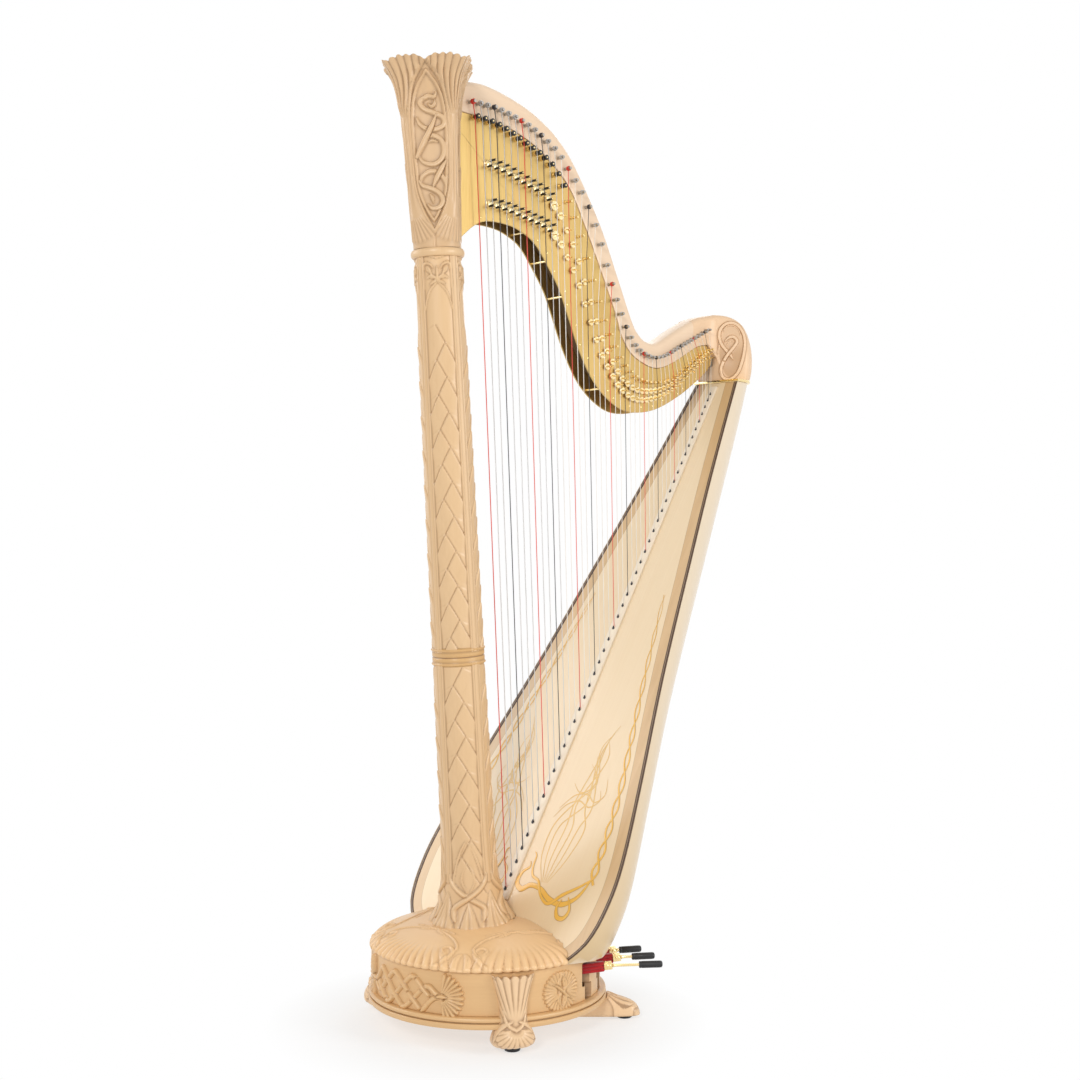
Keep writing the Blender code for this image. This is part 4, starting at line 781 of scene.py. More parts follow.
def board_wood(name):
    """Spruce board with its darker margin and a fine line between them."""
    s = Surface(name, (0.86, 0.70, 0.46), 0.38)
    grain = s.between(s.noise(s.place((2.0, 260.0, 2.0), (0.0, 0.0, 0.0)), 1.0, 4.0, 0.6, 0.15), 0.3, 0.7)
    broad = s.between(s.noise(s.place((1.2, 30.0, 1.2)), 1.0, 2.0, 0.5), 0.3, 0.7)
    light = s.mix(s.math("MULTIPLY", grain, 0.35), (0.85, 0.680, 0.445), (0.78, 0.57, 0.335))
    light = s.mix(s.math("MULTIPLY", broad, 0.35), light, (0.865, 0.700, 0.475))
    low = s.between(s.number("rise"), 0.0, 0.40, 0.48, 0.0)
    light = s.mix(low, light, s.mix(0.5, light, (0.80, 0.56, 0.28)))
    figure = s.between(s.noise(s.place((5.0, 40.0, 5.0)), 1.0, 4.0, 0.6, 0.8), 0.3, 0.7)
    margin = s.mix(s.math("MULTIPLY", figure, 0.6), (0.70, 0.475, 0.245), (0.58, 0.37, 0.175))
    edge = s.number("edge")
    inside = s.between(edge, 0.0236, 0.0240)
    colour = s.mix(inside, margin, light)
    near = s.math("ABSOLUTE", s.math("SUBTRACT", edge, 0.0238))
    line = s.between(near, 0.0002, 0.0007, 0.55, 0.0)
    colour = s.mix(line, colour, (0.26, 0.15, 0.07))
    s.set("Base Color", colour)
    s.shader.inputs["Coat Weight"].default_value = 0.4
    s.shader.inputs["Coat Roughness"].default_value = 0.18
    s.bump(grain, 0.00005)
    return s.material


def striped_edge(name):
    """Dark binding with a lighter line along its middle."""
    s = Surface(name, (0.10, 0.05, 0.04), 0.35)
    fibre = s.noise(s.place((30.0, 700.0, 30.0)), 1.0, 2.0, 0.6)
    dark = s.mix(s.between(fibre, 0.3, 0.7, 0.0, 0.7), (0.058, 0.026, 0.012), (0.105, 0.052, 0.026))
    near = s.math("ABSOLUTE", s.math("SUBTRACT", s.number("across"), 0.5))
    middle = s.between(near, 0.07, 0.12, 0.9, 0.0)
    s.set("Base Color", s.mix(middle, dark, (0.36, 0.25, 0.15)))
    s.shader.inputs["Coat Weight"].default_value = 0.15
    s.bump(fibre, 0.00005)
    return s.material


def painted(name, colour, edge_colour):
    """Gold-painted inlay with a darker outline, by its number across."""
    s = Surface(name, colour, 0.36)
    tone = s.noise(s.place(), 60.0, 3.0, 0.6)
    base = s.mix(s.between(tone, 0.3, 0.7, 0.0, 0.5), colour, tuple(c * k for c, k in zip(colour, (1.08, 0.9, 0.6))))
    near = s.math("ABSOLUTE", s.math("SUBTRACT", s.number("across"), 0.5))
    s.set("Base Color", s.mix(s.between(near, 0.36, 0.47), base, edge_colour))
    s.shader.inputs["Coat Weight"].default_value = 0.5
    s.bump(tone, 0.00008)
    return s.material


def string_finish(name, colour, wound, roughness=0.4, metallic=0.0, alpha=1.0):
    s = Surface(name, colour, roughness, metallic)
    tone = s.noise(s.place((40.0, 40.0, 9.0)), 1.0, 2.0, 0.5)
    s.set("Base Color", s.mix(s.between(tone, 0.3, 0.7, 0.0, 0.6), colour, tuple(c * 0.72 for c in colour)))
    turns = s.node("ShaderNodeTexWave", {
        "Vector": s.place(), "Scale": 520.0 if wound else 90.0, "Distortion": 0.2,
    }, bands_direction="Z")
    s.bump(turns, 0.00012 if wound else 0.00003)
    if alpha < 1.0:
        s.shader.inputs["Alpha"].default_value = alpha
    return s.material


# The third colour of each carved wood is painted shade, laid by each piece into recesses, grooves, undersides and the
# edges where parts meet; on the pale maple it darkens the soundbox towards its bottom.
CARVED = wood("carved_wood", (0.705, 0.480, 0.262), (0.585, 0.366, 0.182), (28.0, 28.0, 2.2), figure=0.30,
              hollow=(0.30, 0.155, 0.062), painted_shade_share=0.72)
CAPITAL_WOOD = wood("capital_wood", (0.625, 0.415, 0.225), (0.535, 0.335, 0.172), (26.0, 26.0, 2.4), figure=0.25,
                    hollow=(0.25, 0.135, 0.060), painted_shade_share=0.76)
BAND_WOOD = wood("band_wood", (0.640, 0.390, 0.160), (0.540, 0.310, 0.115), (60.0, 60.0, 3.0), figure=0.3,
                 hollow=(0.24, 0.12, 0.05))
BASE_WOOD = wood("base_wood", (0.695, 0.440, 0.205), (0.575, 0.335, 0.143), (3.0, 3.0, 36.0), figure=0.30,
                 hollow=(0.30, 0.15, 0.055), painted_shade_share=0.80)
DOME_WOOD = wood("dome_wood", (0.850, 0.560, 0.290), (0.740, 0.455, 0.215), (9.0, 3.0, 3.0), figure=0.30,
                 hollow=(0.36, 0.175, 0.065), painted_shade_share=0.80)
# The feet's wood is partly its own paler tone and partly painted light: it is lightened to make up for the shade the
# rear feet stand in.
FOOT_WOOD = wood("foot_wood", (0.790, 0.545, 0.320), (0.660, 0.430, 0.225), (24.0, 24.0, 3.0), figure=0.25,
                 hollow=(0.30, 0.16, 0.07), painted_shade_share=0.80)
NECK_WOOD = wood("neck_wood", (0.800, 0.605, 0.425), (0.700, 0.495, 0.320), (5.0, 40.0, 36.0), figure=0.30,
                 hollow=(0.34, 0.19, 0.09), bump=0.00012)
SHOULDER_WOOD = wood("shoulder_wood", (0.790, 0.555, 0.355), (0.695, 0.460, 0.270), (8.0, 40.0, 30.0),
                     figure=0.30, roughness=0.62, hollow=(0.40, 0.220, 0.090), painted_shade_share=0.80, bump=0.00012)
MAPLE = wood("pale_maple", (0.745, 0.620, 0.455), (0.700, 0.560, 0.385), (40.0, 6.0, 3.0), figure=0.30,
             roughness=0.32, hollow=(0.600, 0.415, 0.195), painted_shade_share=1.0, bump=0.00006, sheen=0.5)
RIB_WOOD = wood("rib_wood", (0.880, 0.770, 0.610), (0.800, 0.670, 0.500), (30.0, 200.0, 4.0), figure=0.25,
                bump=0.00008)
CORE_WOOD = wood("neck_core_wood", (0.115, 0.075, 0.042), (0.055, 0.034, 0.020), (5.0, 60.0, 40.0), figure=0.8,
                 roughness=0.55)
BOARD = board_wood("soundboard_wood")
BINDING = striped_edge("binding_wood")
GOLD_INLAY = painted("gold_inlay", (0.84, 0.50, 0.085), (0.44, 0.25, 0.06))
PALE_INLAY = painted("pale_inlay", (0.80, 0.54, 0.19), (0.72, 0.49, 0.22))
PLATE_BRASS = brushed("plate_brass", (0.622, 0.443, 0.176), (0.522, 0.353, 0.126), 0.42)
BRASS = brushed("polished_brass", (0.95, 0.77, 0.42), (0.88, 0.67, 0.31), 0.24, (200.0, 200.0, 200.0), 0.00002)
DISC_BRASS = brushed("disc_brass", (0.98, 0.85, 0.55), (0.93, 0.76, 0.41), 0.30, (300.0, 300.0, 300.0), 0.00002)
STEEL = brushed("pin_steel", (0.50, 0.48, 0.45), (0.34, 0.32, 0.30), 0.30, (90.0, 700.0, 90.0), 0.00005)
IRON = brushed("cast_iron", (0.10, 0.095, 0.09), (0.05, 0.048, 0.045), 0.6, (90.0, 90.0, 90.0), 0.0003, 0.6)
BLACK = rubber("black_rubber", (0.010, 0.010, 0.011))
ROLLER_BLACK = rubber("black_roller", (0.008, 0.008, 0.009), 0.35)
RED_FELT = felt("red_felt", (0.480, 0.005, 0.010), (0.300, 0.003, 0.006))
RED_STRING = string_finish("red_string", (0.74, 0.050, 0.035), False)
BLACK_STRING = string_finish("black_string", (0.035, 0.032, 0.040), False)
WOUND_STRING = string_finish("wound_string", (0.62, 0.61, 0.60), True, 0.35, 0.6)
CLEAR_STRING = string_finish("clear_string", (0.84, 0.80, 0.74), False, 0.3)
DARK = rubber("dark_eyelet", (0.012, 0.010, 0.012), 0.4)
SLOT_WOOD = wood("slot_wood", (0.50, 0.30, 0.145), (0.30, 0.16, 0.07), (3.0, 3.0, 60.0), figure=0.6)
HOLE_EDGE = wood("hole_edge_wood", (0.55, 0.38, 0.22), (0.38, 0.24, 0.12), (30.0, 30.0, 3.0), figure=0.5)


# Base: floor board, drum, dome


def floor_board():
    edge = FLOOR_RADIUS
    high, low = FLOOR_HIGH, FLOOR_LOW
    profile = [(0.002, high)]
    profile += [(edge - 0.0052, high), (edge - 0.0032, high - 0.0006), (edge - 0.0017, high - 0.0022)]
    profile += [(edge - 0.0012, high - 0.0045), (edge - 0.0016, high - 0.0070), (edge - 0.0030, high - 0.0086)]
    profile += [(edge - 0.0052, high - 0.0096), (edge - 0.0050, high - 0.0106), (edge - 0.0016, high - 0.0110)]
    profile += [(edge - 0.0003, high - 0.0122), (edge, high - 0.0150), (edge - 0.0003, low + 0.0030)]
    profile += [(edge - 0.0020, low + 0.0008), (edge - 0.0050, low), (0.002, low)]
    rows = len(profile)
    # Painted shade in the groove that runs round the board's edge.
    hollow = np.zeros((rows, 200))
    hollow[7:9] = 0.9
    hollow[6] = 0.25
    turned_piece("floor_board", profile, BASE_WOOD, ("base_floor",), 200, values={"hollow": hollow})


def drum():
    inner, under, low = DRUM_RADIUS - DRUM_WALL, DRUM_TOP - 0.008, FLOOR_HIGH + 0.0003
    profile = [
        (0.100, DRUM_TOP), (DRUM_RADIUS - 0.001, DRUM_TOP), (DRUM_RADIUS, DRUM_TOP - 0.001),
        (DRUM_RADIUS, 0.110), (DRUM_RADIUS, low + 0.001), (DRUM_RADIUS - 0.001, low), (inner, low),
        (inner, under), (0.100, under),
    ]
    sides, rows = 200, len(profile)
    profile = np.array(profile)
    turns = np.linspace(0, 2 * math.pi, sides, endpoint=False)
    points = around_base(turns[None, :], profile[:, :1], profile[:, 1:])
    faces = grid_faces(rows, sides, True).tolist()
    last = (rows - 1) * sides
    faces += [[last + j, last + (j + 1) % sides, (j + 1) % sides, j] for j in range(sides)]
    obj = add_piece("drum", points, faces, BASE_WOOD, ("base_drum",), sharp=35.0)
    cutters = Solids()
    for pedal in PEDALS:
        x, y = wall_point(pedal)
        place = Matrix.Translation((x, y, 0.0)) @ Matrix.Rotation(math.radians(pedal[2]), 4, "Z")
        side = 0.004 if pedal[1] > 0 else -0.004
        cutters.block(place, (-0.036, side - 0.012, 0.092), (0.036, side + 0.012, under - 0.0003), 0.003)
        cutters.block(place, (-0.036, -side - 0.012, 0.0655), (0.036, -side + 0.012, 0.0965), 0.0045)
    carve(obj, cutters, SLOT_WOOD)


def dome_height(reach):
    """Height of the dome at a distance from its middle."""
    shape = [(DOME_RADIUS * share, DOME_TOP - DOME_FALL * fall) for share, fall in DOME_SHAPE]
    return np.interp(reach, *np.array([
        (r, smooth_at(shape, r)) for r in np.linspace(0, DOME_RADIUS, 120)
    ]).T)


DOME_FANS = ((180.0, 54.0), (-110.0, 55.0), (110.0, 55.0))


def dome():
    """Domed cover with shallow shell fans whose ribs scallop its rim."""
    sides, rows = 720, 96
    turns = np.linspace(0, 2 * math.pi, sides, endpoint=False)[None, :]
    reach = np.concatenate([
        np.linspace(0.050, 0.130, 22, endpoint=False), np.linspace(0.130, DOME_RADIUS - 0.0012, rows - 22),
    ])[:, None]
    x, y = reach * np.cos(turns), reach * np.sin(turns)
    ribs_at = np.zeros_like(x)
    cover = np.zeros_like(x)
    for middle, spread in DOME_FANS:
        c, s = math.cos(math.radians(middle)), math.sin(math.radians(middle))
        start = 0.118
        along, across = x * c + y * s - start, -x * s + y * c
        angle = np.degrees(np.arctan2(across, along))
        share = angle / (2 * spread) + 0.5
        rib = np.abs(np.sin(math.pi * 13 * np.clip(share, 0, 1))) ** 0.75
        inside = (np.abs(angle) < spread) & (along > 0)
        far = np.hypot(along, across)
        strength = ease((far - 0.030) / 0.055) * inside
        ribs_at = np.where(inside, rib, ribs_at)
        cover = np.maximum(cover, strength)
    outer = ease((reach - 0.180) / 0.046) + 0 * turns
    amount = cover * (0.05 + 0.95 * outer)
    lift = 0.0040 * amount * ribs_at
    field = Relief((-0.24, -0.24), (0.24, 0.24), 0.0011)
    for middle, spread in DOME_FANS:
        tendrils(field, middle, spread)
    for middle in (-145.0, 145.0):
        for sign in (-1, 1):
            petal = [
                polar(middle + 1.2 * sign, 0.204), polar(middle + 3.0 * sign, 0.217), polar(middle + 3.2 * sign, 0.232),
            ]
            field.stroke(petal, [0.002, 0.0062, 0.006], [0.0015, 0.004, 0.004], "leaf")
    lift += field.at(x, y)
    # Painted shade in the grooves between the fans' ribs and in the carving's recesses.
    hollow = np.clip(amount * (1 - ribs_at) ** 2.6, 0, 1) * 0.62
    hollow = np.maximum(hollow, 0.55 * field.at(x, y, field.hollows(0.0035, 0.0012)))
    height = dome_height(reach) + lift
    edge = ease((reach - 0.205) / 0.028)
    drawn_in = 0.0055 * amount * (1 - ribs_at) * edge
    real = reach - drawn_in
    points = around_base(turns, real, height)
    rim = real[-1]
    plain = height[-1]
    # The rim turns under to the drum; these rows get painted shade that deepens to full at the underside.
    extra, extra_painted_shade = [], []
    for share, back in ((0.30, -0.0012), (0.60, -0.0011), (0.85, 0.0004), (1.0, 0.0040)):
        z = plain + (0.1467 - plain) * share
        extra.append(around_base(turns[0], rim - back, z))
        extra_painted_shade.append(np.clip(hollow[-1] + 0.15 * share, 0, 1))
    extra.append(around_base(turns[0], rim - 0.020, 0.1464 + 0 * turns[0]))
    extra_painted_shade.append(np.ones(sides))
    points = np.concatenate([points, np.array(extra)])
    hollow = np.concatenate([hollow, np.array(extra_painted_shade)])
    faces = grid_faces(len(points), sides, True)
    obj = add_piece("dome", points, faces, DOME_WOOD, ("base_dome",), values={"hollow": hollow})
    cut_by_board(obj)


def polar(angle, reach):
    turn = math.radians(angle)
    return reach * math.cos(turn), reach * math.sin(turn)


def tendrils(field, middle, spread):
    """Thin stems that cross over a fan, and curls at its sides."""
    for sign in (-1, 1):
        stem = [
            polar(middle - sign * 26, 0.215), polar(middle - sign * 30, 0.190), polar(middle - sign * 24, 0.160),
            polar(middle - sign * 8, 0.138), polar(middle + sign * 12, 0.134), polar(middle + sign * 24, 0.142),
        ]
        field.stroke(stem, [0.0016, 0.0024, 0.0024, 0.0020, 0.0018, 0.0008], 0.0026, over=True, groove=0.0010)
        field.stroke([polar(middle, 0.126), polar(middle + sign * 6, 0.140), polar(middle + sign * 15, 0.150)],
                     [0.0012, 0.003, 0.0006], 0.0022, "leaf", groove=0.0006)
        side = sign * (spread * 0.52)
        curl = [
            polar(middle + side * 0.80, 0.232), polar(middle + side * 0.93, 0.220), polar(middle + side * 1.02, 0.200),
            polar(middle + side * 0.90, 0.186), polar(middle + side * 0.78, 0.194), polar(middle + side * 0.84, 0.205),
        ]
        field.stroke(curl, [0.003, 0.004, 0.0038, 0.003, 0.0024, 0.0014], 0.0028, groove=0.0008)


def drum_panel(name, low, high, design, body="harp"):
    """Carving that stands proud of the drum, between two angles; design draws on (arc, height)."""
    middle = 0.5 * (low + high)
    arc = math.radians(high - low) * DRUM_RADIUS / 2
    low_edge, high_edge, step = 0.052, 0.145, 0.0013
    field = Relief((-arc, low_edge), (arc, high_edge), 0.0008)
    design(field)
    columns, rows = int(2 * arc / step) + 1, int((high_edge - low_edge) / step) + 1
    u = np.linspace(-arc, arc, columns)[None, :]
    v = np.linspace(low_edge, high_edge, rows)[:, None]
    height = field.at(u + 0 * v, v + 0 * u)
    # Painted shade in the carving's recesses.
    hollow = field.at(u + 0 * v, v + 0 * u, field.hollows(0.003, 0.0026)) * 0.8
    turns = math.radians(middle) + u / DRUM_RADIUS
    points = around_base(turns, DRUM_RADIUS - 0.0006 + height, v)
    faces = grid_faces(rows, columns)
    raised = (height.ravel()[faces] > 0.0004).any(axis=1)
    faces = faces[raised]
    used, index = np.unique(faces, return_inverse=True)
    points = points.reshape(-1, 3)[used]
    # Painted shade also at the carving's low edges, where it runs down to the drum.
    hollow = np.maximum(hollow, np.where(height < 0.0010, 0.42, 0.0)).ravel()[used]
    return add_piece(name, points, index.reshape(-1, 4), BASE_WOOD, (), body, values={"hollow": hollow})


def strand(centre, phase, reach, pitch):
    """A strap that winds to and fro round the middle line and runs out to it at each end."""
    points = []
    for k in range(61):
        u = -reach + 2 * reach * k / 60
        fade = float(ease((reach - abs(u)) / 0.052))
        turn = 2 * math.pi * u / pitch + phase
        points.append((u + 0.004 * math.sin(2 * turn) * fade, centre + 0.0305 * fade * math.sin(turn)))
    return points


def knot_with_fans(field):
    """Three plaited straps with a shell-like double fan at each end."""
    reach, centre, pitch, half, tall = 0.102, 0.0985, 0.146, 0.0052, 0.0072
    lines = [strand(centre, 2 * math.pi * k / 3, reach, pitch) for k in range(3)]
    for sign in (-1, 1):
        hub = (sign * 0.0985, centre)
        for lift in (-1, 1):
            turn = 90 - sign * 90 + sign * lift * 40
            field.fan(hub, turn, 92, 0.0, 0.0455, 7, 0.0094, 0.18, dish=0.22)
    for line in lines:
        field.stroke(line, half, tall, over=True, steps=2)
    for first, second in ((0, 1), (0, 2), (1, 2)):
        middle = math.pi * (first + second) / 3
        for n in range(-3, 4, 2):
            u = pitch * (math.pi / 2 + n * math.pi - middle) / (2 * math.pi)
            if abs(u) < reach - 0.030:
                k = round((u + reach) / (2 * reach) * 60)
                field.stroke(lines[first][k - 3:k + 4], half, tall + 0.0002, over=True, steps=2)
    for sign in (-1, 1):
        field.stroke([(sign * 0.092, centre), (sign * 0.101, centre + 0.001), (sign * 0.112, centre)],
                     [0.0030, 0.0050, 0.0010], 0.0080, over=True)


def crossed_fans(field):
    """Two fans back to back with a small crossing between them."""
    middle = 0.0985
    for sign in (-1, 1):
        field.fan((sign * 0.004, middle), 90 - sign * 90, 196, 0.002, 0.0385, 15, 0.0066, 0.12, dish=0.3)
    for sign in (-1, 1):
        field.stroke([(-0.022, middle + sign * 0.016), (-0.007, middle + sign * 0.007), (0.009, middle - sign * 0.007),
                      (0.024, middle - sign * 0.018)], [0.001, 0.0034, 0.0034, 0.001], 0.0072, over=sign > 0)
        field.stroke([(0.0, middle - 0.031), (sign * 0.010, middle - 0.015), (sign * 0.005, middle),
                      (sign * 0.010, middle + 0.015), (0.0, middle + 0.032)],
                     [0.0015, 0.0028, 0.0024, 0.0028, 0.0015], 0.0068, groove=0.0008)


def front_foot(name, angle, node):
    """Fluted pilaster that opens upwards, over a toe like a small shell."""
    shape = (
        (0.008, 0.058, 0.011), (0.011, 0.072, 0.021), (0.015, 0.080, 0.029), (0.022, 0.084, 0.034),
        (0.032, 0.079, 0.0345), (0.043, 0.069, 0.030), (0.053, 0.059, 0.0265), (0.070, 0.0535, 0.0235),
        (0.090, 0.055, 0.0205), (0.112, 0.064, 0.0185), (0.128, 0.073, 0.0180), (0.140, 0.081, 0.0195),
    )
    field = Relief((-0.062, 0.0), (0.062, 0.15), 0.0008)
    field.fan((0.0, 0.036), 90, 64, 0.030, 0.1075, 9, 0.0046, 0.05, 0.8)
    field.fan((0.0, 0.047), -90, 170, 0.004, 0.040, 11, 0.0040, 0.10, dish=0.2)
    for sign in (-1, 1):
        field.stroke([(sign * 0.006, 0.060), (sign * 0.020, 0.052), (sign * 0.034, 0.040), (sign * 0.040, 0.024)],
                     [0.002, 0.0042, 0.0040, 0.002], 0.0042, groove=0.0012)
        field.stroke([(0.0, 0.046), (sign * 0.010, 0.053), (sign * 0.016, 0.064), (sign * 0.020, 0.080)],
                     [0.003, 0.0030, 0.0026, 0.001], 0.0036, groove=0.0008)
    rows, columns = 110, 76
    z = np.linspace(0.008, 0.140, rows)[:, None]
    width = smooth_values([(a, b) for a, b, _ in shape], z)
    proud = smooth_values([(a, c) for a, _, c in shape], z)
    turns = np.linspace(-0.08, math.pi + 0.08, columns)[None, :]
    span = np.sin(np.clip(turns, 0, math.pi))
    out = DRUM_RADIUS - 0.010 + (0.010 + proud) * np.clip(span, 0, 1) ** 0.62
    side = -0.5 * width * np.cos(turns)
    arc = 0.60 * width * (turns - math.pi / 2) / (math.pi / 2)
    lift = field.at(arc, z + 0 * arc)
    # Painted shade in the carving's recesses.
    hollow = field.at(arc, z + 0 * arc, field.hollows(0.0035, 0.0012))
    rib = np.abs(np.sin(math.pi * 9 * np.clip(0.5 - arc / 0.128, 0, 1))) ** 0.8
    top = ease((z - 0.128) / 0.012)
    tall = z + top * (0.006 * rib - 0.003)
    out = out + (lift - 0.002) * np.clip(span, 0, 1) ** 0.5
    side = side * (1 + 0.02 * top * rib)
    rings = np.stack([out, side, tall], axis=-1)
    lid = rings[-1].copy()
    lid[:, 0] = DRUM_RADIUS - 0.004
    lid[:, 1] *= 0.8
    lid[:, 2] -= 0.004
    under = rings[0].copy()
    under[:, 0] = np.minimum(under[:, 0], DRUM_RADIUS - 0.010)
    under[:, 1] *= 0.6
    rings = np.concatenate([under[None], rings, lid[None]])
    # Painted shade on the row tucked under the foot and on its top, which turns back into the drum.
    hollow = np.concatenate([np.full((1, columns), 0.6), hollow, np.full((1, columns), 0.9)])
    place = Matrix.Translation((BASE_X, 0, 0)) @ Matrix.Rotation(math.radians(angle), 4, "Z")
    points = moved(rings.reshape(-1, 3), place)
    add_piece(name, points, grid_faces(rows + 2, columns), FOOT_WOOD, (node,), values={"hollow": hollow})
    block = Solids()
    block.block(place, (DRUM_RADIUS - 0.061, -0.026, 0.008), (DRUM_RADIUS + 0.012, 0.026, 0.0427), 0.003)
    block.piece(f"{name}_heel", FOOT_WOOD)


def rear_foot(name, angle, node):
    """Low scroll foot with leaf lines carved along its top."""
    edge, tip = FLOOR_RADIUS, FLOOR_RADIUS + 0.0664
    top = ((edge - 0.075, 0.0427), (edge - 0.020, 0.0455), (edge + 0.003, 0.0467), (edge + 0.020, 0.0410),
           (tip - 0.024, 0.0335), (tip - 0.010, 0.0255), (tip - 0.003, 0.0185), (tip, 0.0130))
    half = ((edge - 0.075, 0.029), (edge, 0.0285), (edge + 0.030, 0.0262), (tip - 0.012, 0.0215), (tip - 0.003, 0.0150),
            (tip, 0.0095))
    field = Relief((edge - 0.03, -0.05), (tip + 0.004, 0.05), 0.0008)
    for sign in (-1, 1):
        for shift, bend in ((0.0045, 0.004), (0.0125, 0.010), (0.0200, 0.016)):
            field.stroke([(edge - 0.01, sign * shift * 0.5), (edge + 0.020, sign * (shift + bend * 0.4)),
                          (tip - 0.022, sign * (shift + bend * 0.3)), (tip - 0.006, sign * shift * 0.35)],
                         [0.002, 0.0034, 0.0032, 0.0015], 0.0026, groove=0.0008)
    field.stroke([(edge + 0.010, 0.0), (tip - 0.020, 0.0), (tip - 0.004, 0.0)], [0.001, 0.004, 0.002], 0.003, "leaf",
                 groove=0.0008)
    rows, columns = 84, 60
    x = np.concatenate([np.linspace(edge - 0.075, edge - 0.005, 14, endpoint=False),
                        np.linspace(edge - 0.005, tip, rows - 14)])[:, None]
    high = smooth_values(top, x)
    wide = smooth_values(half, x)
    turns = np.linspace(0, math.pi, columns)[None, :]
    y = -wide * np.sign(np.cos(turns)) * np.abs(np.cos(turns)) ** 0.72
    z = 0.008 + (high - 0.008) * np.sin(turns) ** 0.62
    lift = field.at(x + 0 * y, y) * np.sin(turns) ** 0.7
    lift = np.where(x > edge + 0.001, lift, 0.0)
    # Painted shade in the carved lines.
    hollow = field.at(x + 0 * y, y, field.hollows(0.003, 0.001)) * (x > edge + 0.001)
    limit = np.where(x < edge + 0.0004, 0.0427, 1.0)
    points = np.stack([x + 0 * y, y, np.minimum(z + lift, limit)], axis=-1)
    place = Matrix.Translation((BASE_X, 0, 0)) @ Matrix.Rotation(math.radians(angle), 4, "Z")
    faces = grid_faces(rows, columns).tolist()
    faces.append([(rows - 1) * columns + j for j in range(columns)])
    faces += [[i * columns, (i + 1) * columns, (i + 2) * columns - 1, (i + 1) * columns - 1] for i in range(rows - 1)]
    add_piece(name, moved(points.reshape(-1, 3), place), faces, FOOT_WOOD, (node,), values={"hollow": hollow})


def foot_pad(name, x, y, node):
    pad = Solids()
    profile = [(0.0077, 0.0148), (0.0060, 0.0150), (0.0025, 0.0150), (0.0008, 0.0145), (0.0, 0.0132)]
    pad.turned(Matrix.Translation((x, y, 0.0)), profile, 40)
    pad.piece(name, BLACK, (node,))


def base():
    floor_board()
    drum()
    dome()
    drum_panel("drum_knot", 137.6, 222.4, knot_with_fans)
    drum_panel("drum_star_left", -105.0, -83.0, crossed_fans)
    drum_panel("drum_star_right", 83.0, 105.0, crossed_fans)
    for side, sign in (("left", -1), ("right", 1)):
        front_foot(f"front_foot_{side}", sign * FRONT_FOOT_ANGLE, f"foot_front_{side}")
        rear_foot(f"rear_foot_{side}", sign * REAR_FOOT_ANGLE, f"foot_rear_{side}")
        for place, angle, reach in (
            ("front", FRONT_FOOT_ANGLE, DRUM_RADIUS - 0.006), ("rear", REAR_FOOT_ANGLE, FLOOR_RADIUS + 0.036),
        ):
            x, y = polar(sign * angle, reach)
            foot_pad(f"rubber_pad_{place}_{side}", BASE_X + x, y, f"pad_{place}_{side}")


# Column


SHAFT_END = column_height(COLUMN_TOP)
FACE_ARC = 0.0785


def shaft_radius(height):
    taper = (SHAFT_HIGH - SHAFT_LOW) / (SHAFT_END - 0.17)
    flare = [(0.0, 0.0795), (0.004, 0.078), (0.020, 0.0690), (0.045, 0.0605), (0.095, 0.0545), (0.17, 0.0510)]
    straight = SHAFT_LOW + taper * (height - 0.17)
    low = smooth_values(flare, np.clip(height, 0.0, 0.17))
    return np.where(height < 0.17, low, straight)


def chevrons(field, low, high, first_left):
    """Plaited leaves: long cuts that run down to each side and end under the next one."""
    step, inner, outer = 0.0333, 0.0094, 0.0312
    slope = step / (2 * inner)
    v, left = high, first_left
    while v > low - 0.05:
        sign = -1 if left else 1
        start = (sign * (inner + 0.0008), v + 0.0008 * slope)
        end = (-sign * outer, v - slope * (outer + inner))
        if left:
            field.crease(start, end, 0.0020, 0.024, 0.0024, 0.0013)
        else:
            mirrored_crease(field, start, end, 0.0020, 0.024, 0.0024, 0.0013)
        v -= step
        left = not left


def mirrored_crease(field, a, b, lip, lip_width, depth, width):
    """The same cut with the lip on its other side."""
    field.height = field.height[::-1]
    field.crease((-a[0], a[1]), (-b[0], b[1]), lip, lip_width, depth, width)
    field.height = field.height[::-1]


def shaft_edges(field, low, high):
    """Corner bands with a bead along each side."""
    for sign in (-1, 1):
        field.stroke([(sign * 0.0393, low), (sign * 0.0393, high)], 0.0058, 0.0026, "flat", steps=2)
        field.stroke([(sign * 0.0318, low), (sign * 0.0318, high)], 0.0021, 0.0030, steps=2, groove=0.0009)
    field.stroke([(-0.0393, low), (-0.0393, high)], 0.0016, 0.0036, steps=2)
    field.stroke([(0.0393, low), (0.0393, high)], 0.0016, 0.0036, steps=2)


